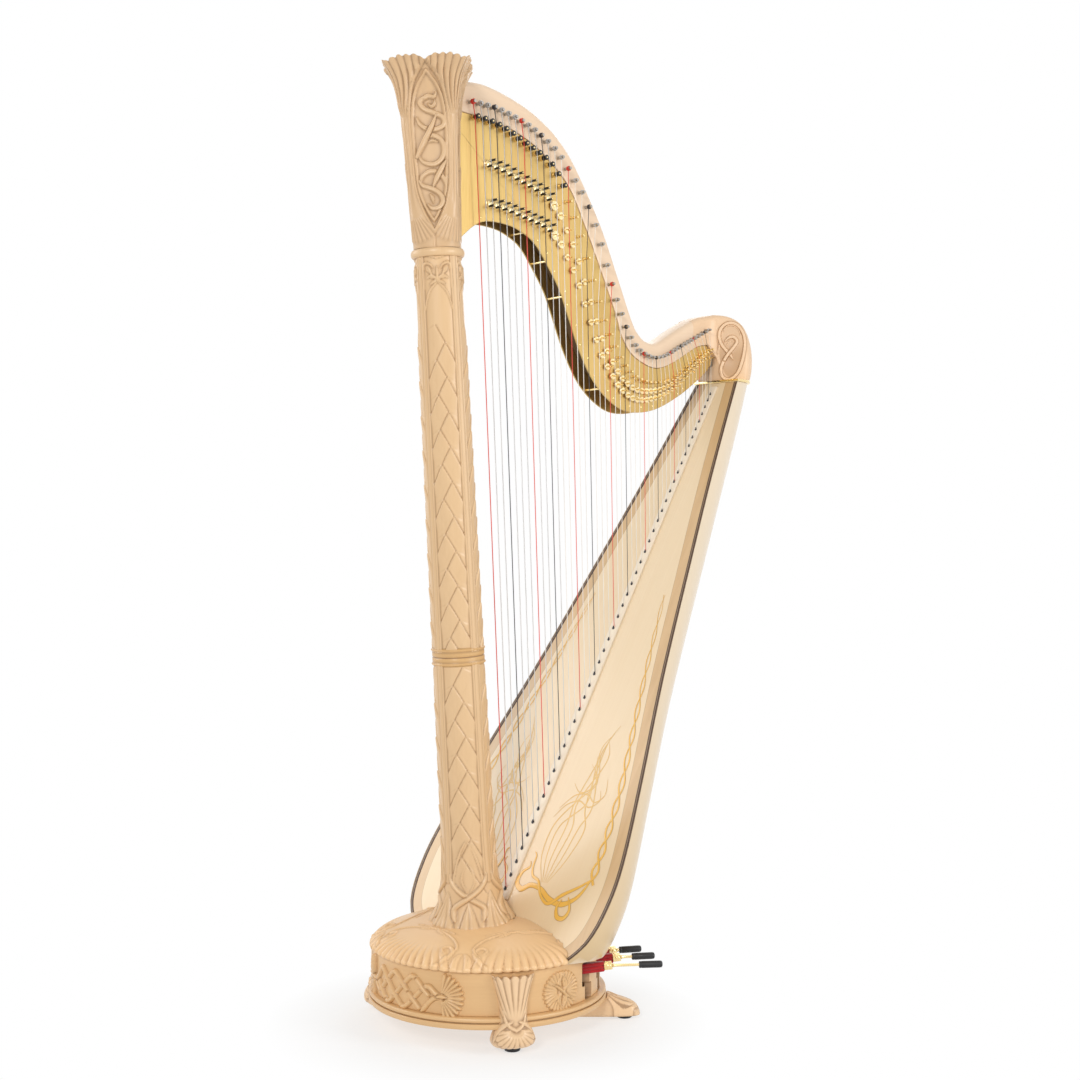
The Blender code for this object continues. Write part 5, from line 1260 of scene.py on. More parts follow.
def upper_shaft_field(low, high):
    field = Relief((-FACE_ARC / 2, low), (FACE_ARC / 2, high), 0.0008)
    peak = column_height(1.440)
    chevrons(field, low, column_height(1.3585), True)
    shaft_edges(field, low, high)
    for sign in (-1, 1):
        field.stroke([(0.0, peak), (sign * 0.010, peak - 0.008), (sign * 0.022, peak - 0.024),
                      (sign * 0.0305, peak - 0.052)],
                     [0.0012, 0.0022, 0.0022, 0.0012], 0.0020, groove=0.0012)
        field.stroke([(sign * 0.031, peak - 0.012), (sign * 0.031, peak + 0.020), (sign * 0.027, peak + 0.036),
                      (sign * 0.014, peak + 0.034), (sign * 0.008, peak + 0.026)],
                     [0.002, 0.0026, 0.0028, 0.0024, 0.0012], 0.0030, groove=0.0010)
        field.stroke([(sign * 0.012, peak + 0.016), (sign * 0.018, peak + 0.024), (sign * 0.021, peak + 0.029)],
                     [0.0015, 0.0052, 0.0025], 0.0042, "leaf", groove=0.0012)
        field.stroke([(0.0, peak + 0.006), (sign * 0.012, peak + 0.011), (sign * 0.024, peak + 0.008)],
                     [0.0020, 0.0044, 0.0010], 0.0036, "leaf", groove=0.0012)
        field.stroke([(0.0, peak + 0.003), (sign * 0.009, peak + 0.000), (sign * 0.018, peak - 0.006)],
                     [0.0018, 0.0032, 0.0008], 0.0030, "leaf", groove=0.0010)
    field.stroke([(0.0, peak + 0.000), (0.0, peak + 0.014), (0.0, peak + 0.030)], [0.001, 0.003, 0.001], 0.0036)
    field.stroke([(-0.020, high - 0.006), (0.0, high - 0.011), (0.020, high - 0.006)], 0.0022, 0.0020, groove=0.0008)
    return field


def lower_shaft_field(low, high):
    field = Relief((-FACE_ARC / 2, low), (FACE_ARC / 2, high), 0.0008)
    crown = column_height(0.346)
    chevrons(field, crown + 0.016, column_height(0.7215) - 0.020, False)
    shaft_edges(field, 0.085, high)
    for sign in (-1, 1):
        field.stroke([(0.0, crown + 0.022), (sign * 0.013, crown - 0.004), (sign * 0.0255, crown - 0.048),
                      (sign * 0.0235, crown - 0.068), (sign * 0.012, crown - 0.086)],
                     [0.0012, 0.0022, 0.0026, 0.0024, 0.0012], 0.0026, groove=0.0012)
        field.stroke([(0.0, crown - 0.022), (sign * 0.0085, crown - 0.040), (sign * 0.0115, crown - 0.058),
                      (sign * 0.003, crown - 0.078)], [0.0010, 0.0018, 0.0022, 0.001], 0.0022, groove=0.0010)
        field.stroke([(sign * 0.0335, 0.098), (sign * 0.0300, 0.083), (sign * 0.0180, 0.068), (0.0, 0.054),
                      (-sign * 0.0150, 0.043), (-sign * 0.0235, 0.034), (-sign * 0.0225, 0.022), (-sign * 0.0190, 0.012)],
                     [0.0012, 0.0040, 0.0046, 0.0044, 0.0046, 0.0048, 0.0042, 0.0015], 0.0050, over=sign > 0,
                     groove=0.0008)
        field.stroke([(sign * 0.0393, 0.060), (sign * 0.0350, 0.030), (sign * 0.0310, 0.002)],
                     [0.0030, 0.0075, 0.0105], [0.0020, 0.0050, 0.0058], "leaf", groove=0.0010)
    field.stroke([(0.0, 0.042), (0.0, 0.022), (0.0, 0.001)], [0.0012, 0.0078, 0.0120], [0.0012, 0.0044, 0.0056],
                 "leaf", groove=0.0010)
    return field


def shaft_piece(name, low, high, rows, field, fades=()):
    """Part of the shaft: one carved face repeated four times round the column."""
    tile = 56
    around = 4 * tile
    heights = np.linspace(low, high, rows)[:, None]
    turns = (np.arange(around) / around * 2 * math.pi)[None, :]
    local = ((turns / (math.pi / 2)) % 1.0 - 0.5) * FACE_ARC
    lift = field.at(local, heights + 0 * local)
    # Painted shade in the carving's recesses.
    hollow = field.at(local, heights + 0 * local, field.hollows(0.0026, 0.0017))
    lobes = 0.5 - 0.5 * np.cos(turns * 20)
    droop = ease((0.012 - heights) / 0.012)
    heights = heights - droop * (0.001 + 0.004 * lobes)
    reach = shaft_radius(np.maximum(heights, 0.0)) + lift + droop * 0.0015 * lobes
    points = on_column(turns, reach, heights)
    obj = add_piece(name, points, grid_faces(rows, around, True), CARVED, (), values={"hollow": hollow})
    return obj


def column():
    band, ring = column_height(BAND_Z), column_height(RING_Z)
    lower = shaft_piece("shaft_lower", 0.0, band - 0.010, 320, lower_shaft_field(-0.002, band))
    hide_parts("column_shaft")
    cut_by_board(lower)
    shaft_piece("shaft_upper", band + 0.010, ring - 0.004, 430, upper_shaft_field(band, ring))
    sides = 120
    turns = np.linspace(0, 2 * math.pi, sides, endpoint=False)[None, :]
    middle = float(shaft_radius(np.array(band)))
    profile = [
        (-0.0180, 0.0004), (-0.0160, 0.0016), (-0.0155, 0.0030), (-0.0143, 0.0040), (-0.0128, 0.0038),
        (-0.0116, 0.0024), (-0.0108, 0.0019), (-0.0060, 0.0021), (-0.0020, 0.0022), (-0.0010, 0.0006),
        (0.0002, 0.0004), (0.0012, 0.0020), (0.0060, 0.0021), (0.0108, 0.0019), (0.0116, 0.0024),
        (0.0128, 0.0038), (0.0143, 0.0040), (0.0155, 0.0030), (0.0160, 0.0016), (0.0180, 0.0004),
    ]
    shape = np.array(profile)
    # Painted shade in the band's grooves and where it meets the shaft.
    hollow = np.zeros((len(shape), sides))
    hollow[[0, 6, 13, 19]] = 0.65
    hollow[[9, 10]] = 0.95
    points = on_column(turns, middle + shape[:, 1:], band + shape[:, :1])
    add_piece("middle_band", points, grid_faces(len(shape), sides, True), BAND_WOOD, (), values={"hollow": hollow})
    shape = [(-0.0088, 0.0445)]
    shape += [(0.0083 * math.sin(a), 0.0460 + 0.0062 * max(0.0, math.cos(a)) ** 0.8) for a in np.linspace(-1.5, 1.5, 15)]
    shape += [(0.0088, 0.0440)]
    shape = np.array(shape)
    points = on_column(turns, shape[:, 1:], ring + shape[:, :1])
    # Painted shade at the ring's edges, where it meets the shaft.
    hollow = np.zeros((len(shape), sides))
    hollow[[0, 1, -2, -1]] = 0.8
    add_piece("column_ring", points, grid_faces(len(shape), sides, True), CARVED, (), values={"hollow": hollow})


# Capital


CAPITAL_REACH = (
    (0.0, 0.0452), (0.05, 0.0454), (0.29, 0.0474), (0.45, 0.0496), (0.63, 0.0522), (0.80, 0.0560),
    (0.89, 0.0618), (0.95, 0.0695), (1.0, 0.0790),
)
FRAME_HALF = (
    (0.031, 0.0), (0.068, 0.019), (0.111, 0.0315), (0.166, 0.0350), (0.227, 0.0365), (0.273, 0.0345), (0.312, 0.0245),
    (0.346, 0.0),
)
INNER_FRAME = (
    (0.0, 0.050), (0.0110, 0.068), (0.0250, 0.106), (0.0300, 0.166), (0.0320, 0.228), (0.0275, 0.275), (0.0170, 0.304),
    (0.0, 0.327),
)


def capital_face():
    """Interlaced straps inside a tall pointed double frame."""
    field = Relief((-0.10, -0.002), (0.10, 0.356), 0.0008)
    part, u, v = field.window((-0.1, 0.0), (0.1, 0.356))
    half = smooth_values(FRAME_HALF, v) * ((v > 0.031) & (v < 0.346))
    field.height[part] = 0.0032 * ease((np.abs(u) - half) / 0.005 + 0.3)
    for sign in (-1, 1):
        field.stroke([(sign * a, b) for b, a in FRAME_HALF], 0.0024, 0.0050, steps=10, groove=0.0016)
        field.stroke([(sign * a, b) for a, b in INNER_FRAME], 0.0030, 0.0042, steps=10, groove=0.0006)
    wide, tall = 0.0046, 0.0060
    field.stroke([(0.0165, 0.290), (0.0125, 0.280), (-0.001, 0.281), (-0.0155, 0.2710), (-0.0070, 0.2580),
                  (0.0110, 0.2500), (0.0270, 0.2405), (0.0275, 0.2270), (0.0120, 0.2200), (-0.0050, 0.2215),
                  (-0.0180, 0.2310), (-0.0235, 0.2440)],
                 [0.0010, 0.0034, wide, wide, wide, wide, wide, wide, wide, wide, 0.0036, 0.0008], tall, "ribbon")
    field.stroke([(0.0, 0.268), (0.006, 0.262), (0.012, 0.266), (0.013, 0.274)], [0.0010, 0.0034, 0.0036, 0.0010], tall,
                 "leaf", over=True)
    ring = [(-0.0245, 0.1740), (-0.0150, 0.1600), (0.0040, 0.1550), (0.0200, 0.1640), (0.0260, 0.1840),
            (0.0190, 0.2020), (0.0020, 0.2090), (-0.0120, 0.2020), (-0.0200, 0.1900)]
    field.stroke(ring, [0.0012, 0.0036, wide, wide, wide, wide, wide, 0.0034, 0.0010], tall - 0.0006, "ribbon")
    field.stroke([(0.0150, 0.1960), (0.0050, 0.1990), (-0.0050, 0.1960)], [0.0010, 0.0032, 0.0008], 0.0044, "leaf")
    field.stroke([(0.0150, 0.2480), (0.0030, 0.2230), (-0.0120, 0.1960), (-0.0260, 0.1690)],
                 [0.0010, 0.0050, 0.0058, 0.0030], tall + 0.0012, "ribbon", over=True)
    field.stroke([(-0.0230, 0.1180), (-0.0180, 0.1330), (-0.0030, 0.1420), (0.0140, 0.1380), (0.0250, 0.1220),
                  (0.0262, 0.1050)], [0.0010, 0.0040, wide, wide, 0.0036, 0.0008], tall - 0.0006, "ribbon")
    field.stroke([(-0.0240, 0.1260), (-0.0180, 0.1160), (-0.0020, 0.1100), (0.0130, 0.1000), (0.0185, 0.0860),
                  (0.0110, 0.0745), (-0.0030, 0.0730), (-0.0105, 0.0810)],
                 [0.0010, 0.0040, wide, wide, wide, wide, 0.0036, 0.0010], tall, "ribbon", over=True)
    field.stroke([(0.0290, 0.1620), (0.0200, 0.1480), (0.0090, 0.1290), (0.0010, 0.1120)],
                 [0.0010, 0.0048, 0.0050, 0.0012], tall + 0.0010, "ribbon", over=True)
    field.stroke([(-0.0060, 0.1000), (-0.0010, 0.0920), (0.0000, 0.0830)], [0.0008, 0.0040, 0.0010], 0.0056, "leaf",
                 over=True)
    return field


FAN_HUB = 0.216


def capital_corner():
    """Fan of ribs that opens upwards at a corner, a stalk below it and a small fan at its foot."""
    field = Relief((-0.11, -0.002), (0.11, 0.372), 0.0008)
    part, u, v = field.window((-0.11, 0.0), (0.11, 0.372))
    field.height[part] = 0.0034
    low_part = ease((0.056 - v) / 0.018) + 0 * u
    field.height[part] = 0.0034 - 0.0018 * low_part
    for shift in (0.0, -0.0085, 0.0085):
        field.stroke([(shift * 1.15, 0.070), (shift * 0.9, 0.12), (shift * 0.75, 0.18), (shift * 0.60, 0.250)],
                     0.0042, [0.0034, 0.0052, 0.0054, 0.0036], steps=6)
    field.fan((0.0, FAN_HUB), 90, 82, 0.010, 0.180, 15, 0.0088, 0.0, 0.75)
    field.fan((0.0, 0.080), -90, 84, 0.012, 0.0725, 11, 0.0046, 0.09, 0.9, 0.0)
    return field


def capital():
    rows, tile = 248, 96
    face, corner = capital_face(), capital_corner()
    # Painted shade in the recesses of the carving.
    face_painted_shade, corner_painted_shade = face.hollows(0.0036, 0.0028), corner.hollows(0.0036, 0.0026)
    shares = np.linspace(0, 1, rows)
    turn_fine = np.linspace(-math.pi / 4, math.pi / 4, 400)
    rings, hollows = [], []
    place = np.linspace(-1, 1, tile, endpoint=False)
    place = place + 0.22 * np.sin(math.pi * place) / math.pi
    for share in shares:
        reach = smooth_at(CAPITAL_REACH, share)
        square = 2.4 + 3.4 * min(1.0, share / 0.25)
        fine = reach / (np.abs(np.cos(turn_fine)) ** square + np.abs(np.sin(turn_fine)) ** square) ** (1 / square)
        a, b = fine * np.cos(turn_fine), fine * np.sin(turn_fine)
        arcs = np.concatenate([[0.0], np.cumsum(np.hypot(np.diff(a), np.diff(b)))])
        arcs -= arcs[-1] / 2
        half = arcs[-1]
        u = place * half
        turns = np.interp(u, arcs, turn_fine)
        fan_angle = np.degrees(np.arctan2(half - np.abs(u), CAPITAL_HEIGHT - 0.010 - FAN_HUB))
        fan_share = np.clip(fan_angle / 82 + 0.5, 0, 1)
        rib = np.abs(np.sin(math.pi * 15 * fan_share)) ** 0.8
        f = np.abs(place)
        top = CAPITAL_HEIGHT - 0.010 * (1 - ease(f / 0.22)) - 0.008 * ease((f - 0.62) / 0.38)
        top = top - 0.0036 * (1 - rib) * (f > 0.06) + 0.0006
        v = share * top
        distance = half - np.abs(u)
        lift_face = face.at(u, v)
        lift_corner = corner.at(distance, v)
        frame_half = smooth_values(FRAME_HALF, np.clip(v, 0.031, 0.346)) * ((v > 0.031) & (v < 0.346))
        fan_part = (np.abs(u) > frame_half + 0.0016) | (v <= 0.031) | (v >= 0.346)
        lift = np.where(fan_part, np.maximum(lift_corner, np.minimum(lift_face, 0.0050)), lift_face)
        hollow = np.where(fan_part, corner.at(distance, v, corner_painted_shade), face.at(u, v, face_painted_shade))
        flare = 0.003 * ease((share - 0.90) / 0.10) * ease((f - 0.55) / 0.45)
        radial = reach / (np.abs(np.cos(turns)) ** square + np.abs(np.sin(turns)) ** square) ** (1 / square)
        radial = radial + lift - 0.0025 + flare
        rings.append(np.stack([radial, turns, v], axis=1))
        hollows.append(hollow)
    rings, hollows = np.array(rings), np.array(hollows)
    last = rings[-1]
    # The top edge turns in and down to a sunken lid; the innermost row of the turn and the lid get painted shade.
    for inward, down in ((0.0020, -0.0008), (0.0050, 0.0), (0.0085, 0.0035), (0.0110, 0.0085)):
        row = last.copy()
        row[:, 0] -= inward
        row[:, 2] -= down
        rings = np.concatenate([rings, row[None]])
        hollows = np.concatenate([hollows, np.full((1, tile), 0.0 if down < 0.004 else 0.4)])
    for share in (0.80, 0.55, 0.30, 0.05):
        row = last.copy()
        row[:, 0] = (row[:, 0] - 0.0110) * share
        row[:, 2] = CAPITAL_HEIGHT - 0.0100
        rings = np.concatenate([rings, row[None]])
        hollows = np.concatenate([hollows, np.full((1, tile), 0.25)])
    parts = []
    for quarter in range(4):
        turns = rings[..., 1] + math.pi / 4 + quarter * math.pi / 2
        parts.append(on_column(turns, rings[..., 0], SHAFT_END + rings[..., 2]))
    points = np.concatenate(parts, axis=1)
    hollow = np.concatenate([hollows] * 4, axis=1)
    faces = grid_faces(points.shape[0], 4 * tile, True).tolist()
    faces.append([(points.shape[0] - 1) * 4 * tile + j for j in range(4 * tile)])
    add_piece("capital", points, faces, CAPITAL_WOOD, ("column_capital",), values={"hollow": hollow})


# Soundbox


def shell_section(along, inset, count):
    power = 2 / SHELL_ROUNDNESS
    width = half_width(along) + SHELL_OVERHANG - inset
    depth = smooth_at(SHELL_DEPTH, along) - inset
    turns = np.linspace(0, math.pi, count)
    y = -np.sign(np.cos(turns)) * np.abs(np.cos(turns)) ** power * width
    into = np.maximum(np.sin(turns) ** power * depth, BOARD_THICKNESS + 0.0003)
    return y, -into


def soundbox():
    count, rows = 64, 74
    low, high = -0.15, 1.335
    outer, inner = [], []
    for along in np.linspace(low, high, rows):
        y, out = shell_section(along, 0.0, count)
        y = np.concatenate([[y[0]], y, [y[-1]]])
        out = np.concatenate([[0.0003], out, [0.0003]])
        outer.append(on_board(along, y, out))
        y, out = shell_section(along, SHELL_WALL, count)
        y = np.concatenate([[y[0]], y, [y[-1]]])
        out = np.concatenate([[-0.0056], out, [-0.0056]])
        inner.append(on_board(along, y, out))
    rings = np.concatenate([np.array(outer), np.array(inner)[:, ::-1]], axis=1)
    columns = rings.shape[1]
    faces = grid_faces(rows, columns, True).tolist()
    for row in (0, rows - 1):
        faces += [
            [row * columns + j, row * columns + j + 1, row * columns + columns - 2 - j, row * columns + columns - 1 - j]
            for j in range(count + 1)
        ]
    # Painted shade: the maple is painted darker low on the shell and left paler higher up, where the light falls
    # brighter.
    darker = np.clip(np.exp(-(rings[..., 2] - 0.14) / 0.27), 0.0, 1.0)
    obj = face_out(add_piece("soundbox", rings, faces, MAPLE, ("soundbox_shell",), values={"hollow": darker}, sharp=40.0))
    cutters = Solids()
    cutters.block(Matrix.Identity(4), (-0.6, -0.5, -0.5), (1.0, 0.5, DRUM_TOP + 0.0003), 0.0001)
    cutters.block(Matrix.Identity(4), (0.4, -0.3, COLLAR_LOW - 0.0003), (1.2, 0.3, 1.8), 0.0001)
    turns = np.linspace(0, 2 * math.pi, 48, endpoint=False)
    for along in SOUND_HOLES:
        depth = smooth_at(SHELL_DEPTH, along)
        across = 0.032 * (1.15 - 0.3 * along)
        rings = [
            on_board(along + 0.060 * np.cos(turns), across * np.sin(turns), out) for out in (-depth - 0.04, -depth + 0.04)
        ]
        cutters.skin(rings)
    carve(obj, cutters, HOLE_EDGE)


def board_limits():
    low = board_at_height(DRUM_TOP + 0.0003, BOARD_THICKNESS) + 0.0003
    return low, board_at_height(COLLAR_LOW - 0.0003)


def soundboard():
    low, high = board_limits()
    rows, columns = 160, 60
    along = np.linspace(low, high, rows)[:, None]
    width = smooth_values(BOARD_HALF_WIDTH, along) - 0.0043
    share = np.linspace(-1, 1, columns)[None, :]
    across = share * width
    points = on_board(along, across, 0.0)
    slope = np.gradient(width[:, 0], along[:, 0])[:, None]
    edge = (width - np.abs(across)) * np.cos(np.arctan(slope))
    rise = (along - low) / (high - low) + 0 * across
    back = on_board(along, across, -BOARD_THICKNESS)
    faces = grid_faces(rows, columns).tolist()
    faces += grid_faces(rows, columns, start=rows * columns)[:, ::-1].tolist()
    side = [(i * columns, (i + 1) * columns) for i in range(rows - 1)]
    side += [((i + 1) * columns - 1, (i + 2) * columns - 1) for i in range(rows - 1)]
    faces += [[a, b, b + rows * columns, a + rows * columns] for a, b in side]
    add_piece(
        "board", np.concatenate([points.reshape(-1, 3), back.reshape(-1, 3)]), faces, BOARD, ("soundboard",),
        values={"edge": np.concatenate([edge.ravel()] * 2), "rise": np.concatenate([rise.ravel()] * 2)}, sharp=30.0,
    )


def binding(side, sign):
    low, high = board_limits()
    rows = 160
    along = np.linspace(low, high, rows)[:, None]
    width = smooth_values(BOARD_HALF_WIDTH, along)
    shape = np.array([
        (-1.0, -0.004, 0.0), (-1.0, 0.0004, 0.0), (-0.86, 0.0010, 0.07), (-0.55, 0.0012, 0.22), (-0.18, 0.0011, 0.41),
        (-0.10, 0.0007, 0.45), (0.10, 0.0007, 0.55), (0.18, 0.0011, 0.59), (0.55, 0.0012, 0.78), (0.86, 0.0010, 0.93),
        (1.0, 0.0004, 1.0), (1.0, -0.004, 1.0),
    ])
    across = sign * (width + shape[None, :, 0] * BINDING_WIDTH / 2)
    out = shape[None, :, 1] + 0 * along
    points = on_board(along, across, out)
    values = {"across": np.repeat(shape[None, :, 2], rows, axis=0)}
    add_piece(f"edge_{side}", points, grid_faces(rows, len(shape)), BINDING, (f"binding_{side}",), values=values,
              sharp=50.0)


class Ribbons:
    """Flat inlaid ribbons on the soundboard, gathered into one piece."""

    def __init__(self):
        self.points, self.faces, self.across, self.count = [], [], [], 0

    def add(self, line, widths, out=0.0003, steps=8):
        line = np.array(smooth_line([tuple(p) for p in line], steps))
        share = np.linspace(0, 1, len(line))
        half = np.interp(share, np.linspace(0, 1, len(widths)), widths)
        way = np.gradient(line, axis=0)
        way /= np.linalg.norm(way, axis=1)[:, None] + 1e-12
        side = np.stack([-way[:, 1], way[:, 0]], axis=1)
        places = np.array([-1.0, -0.8, 0.0, 0.8, 1.0])
        spots = line[:, None, :] + side[:, None, :] * (half[:, None] * places)[..., None]
        lift = out + 0.00025 * (1 - places ** 4)[None, :] + 0 * half[:, None]
        self.points.append(on_board(spots[..., 0], spots[..., 1], lift).reshape(-1, 3))
        self.across.append(np.repeat((places * 0.5 + 0.5)[None, :], len(line), axis=0).ravel())
        self.faces += grid_faces(len(line), 5, start=self.count).tolist()
        self.count += 5 * len(line)

    def piece(self, name, finish):
        return add_piece(name, np.concatenate(self.points), self.faces, finish, (), "harp", True,
                         {"across": np.concatenate(self.across)})


def margin_vine(sign, phase):
    """One of two lines that twist round each other up the margin."""
    line = []
    for k in range(73):
        t = k / 72
        along = 0.045 + 0.645 * t
        inset = 0.062 - 0.015 * float(ease(t / 0.35))
        sway = (0.0080 - 0.0045 * t) * math.sin(phase + 2 * math.pi * (0.3 + 6.3 * t ** 0.85))
        line.append((along, sign * (half_width(along) - inset + sway)))
    return line


def ornament():
    """Gold ribbons that twist up each margin from a flourish at the board's foot, and pale tendrils."""
    gold, pale = Ribbons(), Ribbons()
    flourish = (
        ([(0.055, 0.209), (0.017, 0.192), (-0.004, 0.160), (0.000, 0.122), (0.016, 0.090), (0.020, 0.060),
          (0.008, 0.038), (0.020, 0.020), (0.042, 0.024), (0.056, 0.038), (0.068, 0.034)],
         [0.0018, 0.0042, 0.0060, 0.0062, 0.0052, 0.0060, 0.0066, 0.0056, 0.0038, 0.0024, 0.0006]),
        ([(0.060, 0.216), (0.036, 0.186), (0.014, 0.152), (-0.009, 0.124), (0.004, 0.096), (0.030, 0.076),
          (0.040, 0.054), (0.058, 0.046), (0.080, 0.044), (0.088, 0.036)],
         [0.0018, 0.0030, 0.0042, 0.0036, 0.0030, 0.0034, 0.0030, 0.0026, 0.0018, 0.0006]),
        ([(0.012, 0.170), (-0.012, 0.184), (-0.030, 0.177), (-0.030, 0.160), (-0.012, 0.150), (0.006, 0.156)],
         [0.0010, 0.0034, 0.0050, 0.0052, 0.0034, 0.0008]),
    )
    curls = (
        [(0.166, 0.046), (0.196, 0.068), (0.208, 0.098), (0.198, 0.128), (0.214, 0.150), (0.236, 0.143)],
        [(0.186, 0.052), (0.218, 0.080), (0.224, 0.112), (0.210, 0.138), (0.228, 0.158), (0.262, 0.150)],
        [(0.244, 0.066), (0.226, 0.090), (0.238, 0.116), (0.268, 0.122), (0.310, 0.106), (0.360, 0.118)],
    )
    for sign in (-1, 1):
        gold.add(margin_vine(sign, 0.0), [0.0032, 0.0026, 0.0022, 0.0019, 0.0015, 0.0011, 0.0004], 0.0003, 2)
        gold.add(margin_vine(sign, math.pi), [0.0028, 0.0024, 0.0020, 0.0017, 0.0014, 0.0010, 0.0004], 0.0006, 2)
        for k, (line, widths) in enumerate(flourish):
            gold.add([(a, sign * b) for a, b in line], widths, 0.0004 + 0.0003 * k)
        for k in range(6):
            line = [
                (0.030, 0.084 + 0.003 * k), (0.085, 0.056 + 0.014 * k), (0.150, 0.056 + 0.017 * k),
                (0.205, 0.090 + 0.006 * k + 0.024 * math.sin(1.9 * k)),
                (0.250 + 0.016 * k, 0.112 + 0.016 * math.sin(2.3 * k + 1)),
                (0.290 + 0.018 * k, 0.092 + 0.007 * k),
            ]
            pale.add([(a, sign * b) for a, b in line], [0.0004, 0.0013, 0.0016, 0.0016, 0.0013, 0.0003], 0.0002)
        for line in curls:
            pale.add([(a, sign * b) for a, b in line], [0.0003, 0.0013, 0.0016, 0.0014, 0.0011, 0.0003], 0.0004)
    gold.piece("gold_ribbons", GOLD_INLAY)
    pale.piece("pale_tendrils", PALE_INLAY)


def string_rib():
    high = eyelet_along(STRINGS - 1) + 0.022
    rows = 120
    along = np.linspace(-0.020, high, rows)[:, None]
    half = 0.015 + (0.010 - 0.015) * (along + 0.020) / (high + 0.020)
    shape = np.array([(-1.0, 0.0003), (-1.0, 0.0034), (-0.90, 0.0041), (-0.5, 0.0043), (0.5, 0.0043), (0.90, 0.0041),
                      (1.0, 0.0034), (1.0, 0.0003)])
    points = on_board(along, half * shape[None, :, 0], shape[None, :, 1] + 0 * along)
    faces = grid_faces(rows, len(shape)).tolist()
    faces.append(list(range(len(shape)))[::-1])
    faces.append([(rows - 1) * len(shape) + j for j in range(len(shape))])
    add_piece("rib", points, faces, RIB_WOOD, ("string_rib",), sharp=50.0)
    eyelets, knots = Solids(), Solids()
    for index in range(STRINGS):
        spot = on_board(eyelet_along(index), 0.0, 0.0042)
        size = 0.0036 - 0.0014 * index / (STRINGS - 1)
        place = pointing(spot, OUT_OF_BOARD)
        eyelets.turned(place, [(-0.001, size), (0.0010, size), (0.0018, size * 0.85), (0.0020, size * 0.5)], 20)
        (x0, z0), (x1, z1), _ = string_ends(index)
        way = np.array([x1 - x0, 0.0, z1 - z0])
        knots.turned(pointing(spot, way), [(0.0, size * 0.60), (0.003, size * 0.54), (0.0055, size * 0.36)], 12)
    eyelets.piece("eyelets", DARK)
    knots.piece("string_sleeves", DARK)


def string_kind(index):
    """Strings count from the lowest: C is red, F is black, the lowest of the others are wound."""
    if index % 7 == 0:
        return "red"
    if index % 7 == 3:
        return "black"
    return "wound" if index < 12 else "clear"


def strings():
    sets = {"red": Solids(), "black": Solids(), "wound": Solids(), "clear": Solids()}
    for index in range(STRINGS):
        low, bridge, pin = string_ends(index)
        radius = string_radius(index) * (0.80 if string_kind(index) != "clear" else 0.72)
        away = np.array([bridge[0] - pin[0], bridge[1] - pin[1]])
        away /= np.linalg.norm(away)
        start = (pin[0] + away[0] * 0.004, pin[1] + away[1] * 0.004)
        path = [(low[0], 0.0, low[1] + 0.004)]
        for share in np.linspace(0, 1, 4)[1:-1]:
            path.append((low[0] + (bridge[0] - low[0]) * share, 0.0, low[1] + (bridge[1] - low[1]) * share))
        down = np.array([low[0] - bridge[0], low[1] - bridge[1]])
        down /= np.linalg.norm(down)
        path.append((bridge[0] + down[0] * 0.004, 0.0, bridge[1] + down[1] * 0.004))
        path.append((bridge[0] - 0.0002, 0.0, bridge[1]))
        up = -away
        path.append((bridge[0] + up[0] * 0.004, 0.0, bridge[1] + up[1] * 0.004))
        path.append((start[0], 0.0, start[1]))
        sets[string_kind(index)].skin(tube(path, radius, 8))
    for kind, finish in (("red", RED_STRING), ("black", BLACK_STRING), ("wound", WOUND_STRING), ("clear", CLEAR_STRING)):
        sets[kind].piece(f"{kind}_strings", finish, sharp=60.0)


# Shoulder


def collar():
    front = on_board(board_at_height(COLLAR_LOW), 0.0)[0] - 0.003
    along = board_at_height(COLLAR_LOW, 0.04)
    width = half_width(board_at_height(COLLAR_LOW)) + SHELL_OVERHANG + 0.003
    depth = smooth_at(SHELL_DEPTH, along) / math.sin(BOARD_SLOPE) + 0.006
    turns = np.linspace(0, math.pi, 60)
    x = np.maximum(np.sin(turns), 0) ** (2 / SHELL_ROUNDNESS)
    y = np.sign(np.cos(turns)) * np.abs(np.cos(turns)) ** (2 / SHELL_ROUNDNESS)
    rings = []
    for height, inset in ((0.0, 0.006), (0.0, 0.0010), (0.0010, 0.0), (0.0050, 0.0), (0.0060, 0.0010), (0.0060, 0.006)):
        rings.append(np.stack([
            front + inset * 0.8 + x * (depth - 1.8 * inset), y * (width - inset), np.full(60, COLLAR_LOW + height),
        ], axis=1))
    piece = Solids()
    piece.skin(rings)
    piece.piece("collar", BRASS, ("shoulder_collar",))


FOLD_X, SLANT_START_X, SLANT_END_X, SLANT_FALL = 0.746, 0.720, 0.806, 0.060
SLANT = ((0.0, 0.0), (0.15, 0.012), (0.28, 0.05), (0.42, 0.17), (0.75, 0.74), (0.90, 0.95), (1.0, 1.0))
PLATE_WRAP = ((0.60, 1.395), (0.727, 1.395), (0.738, 1.392), (0.746, 1.3865), (0.7515, 1.374), (0.757, 1.352))


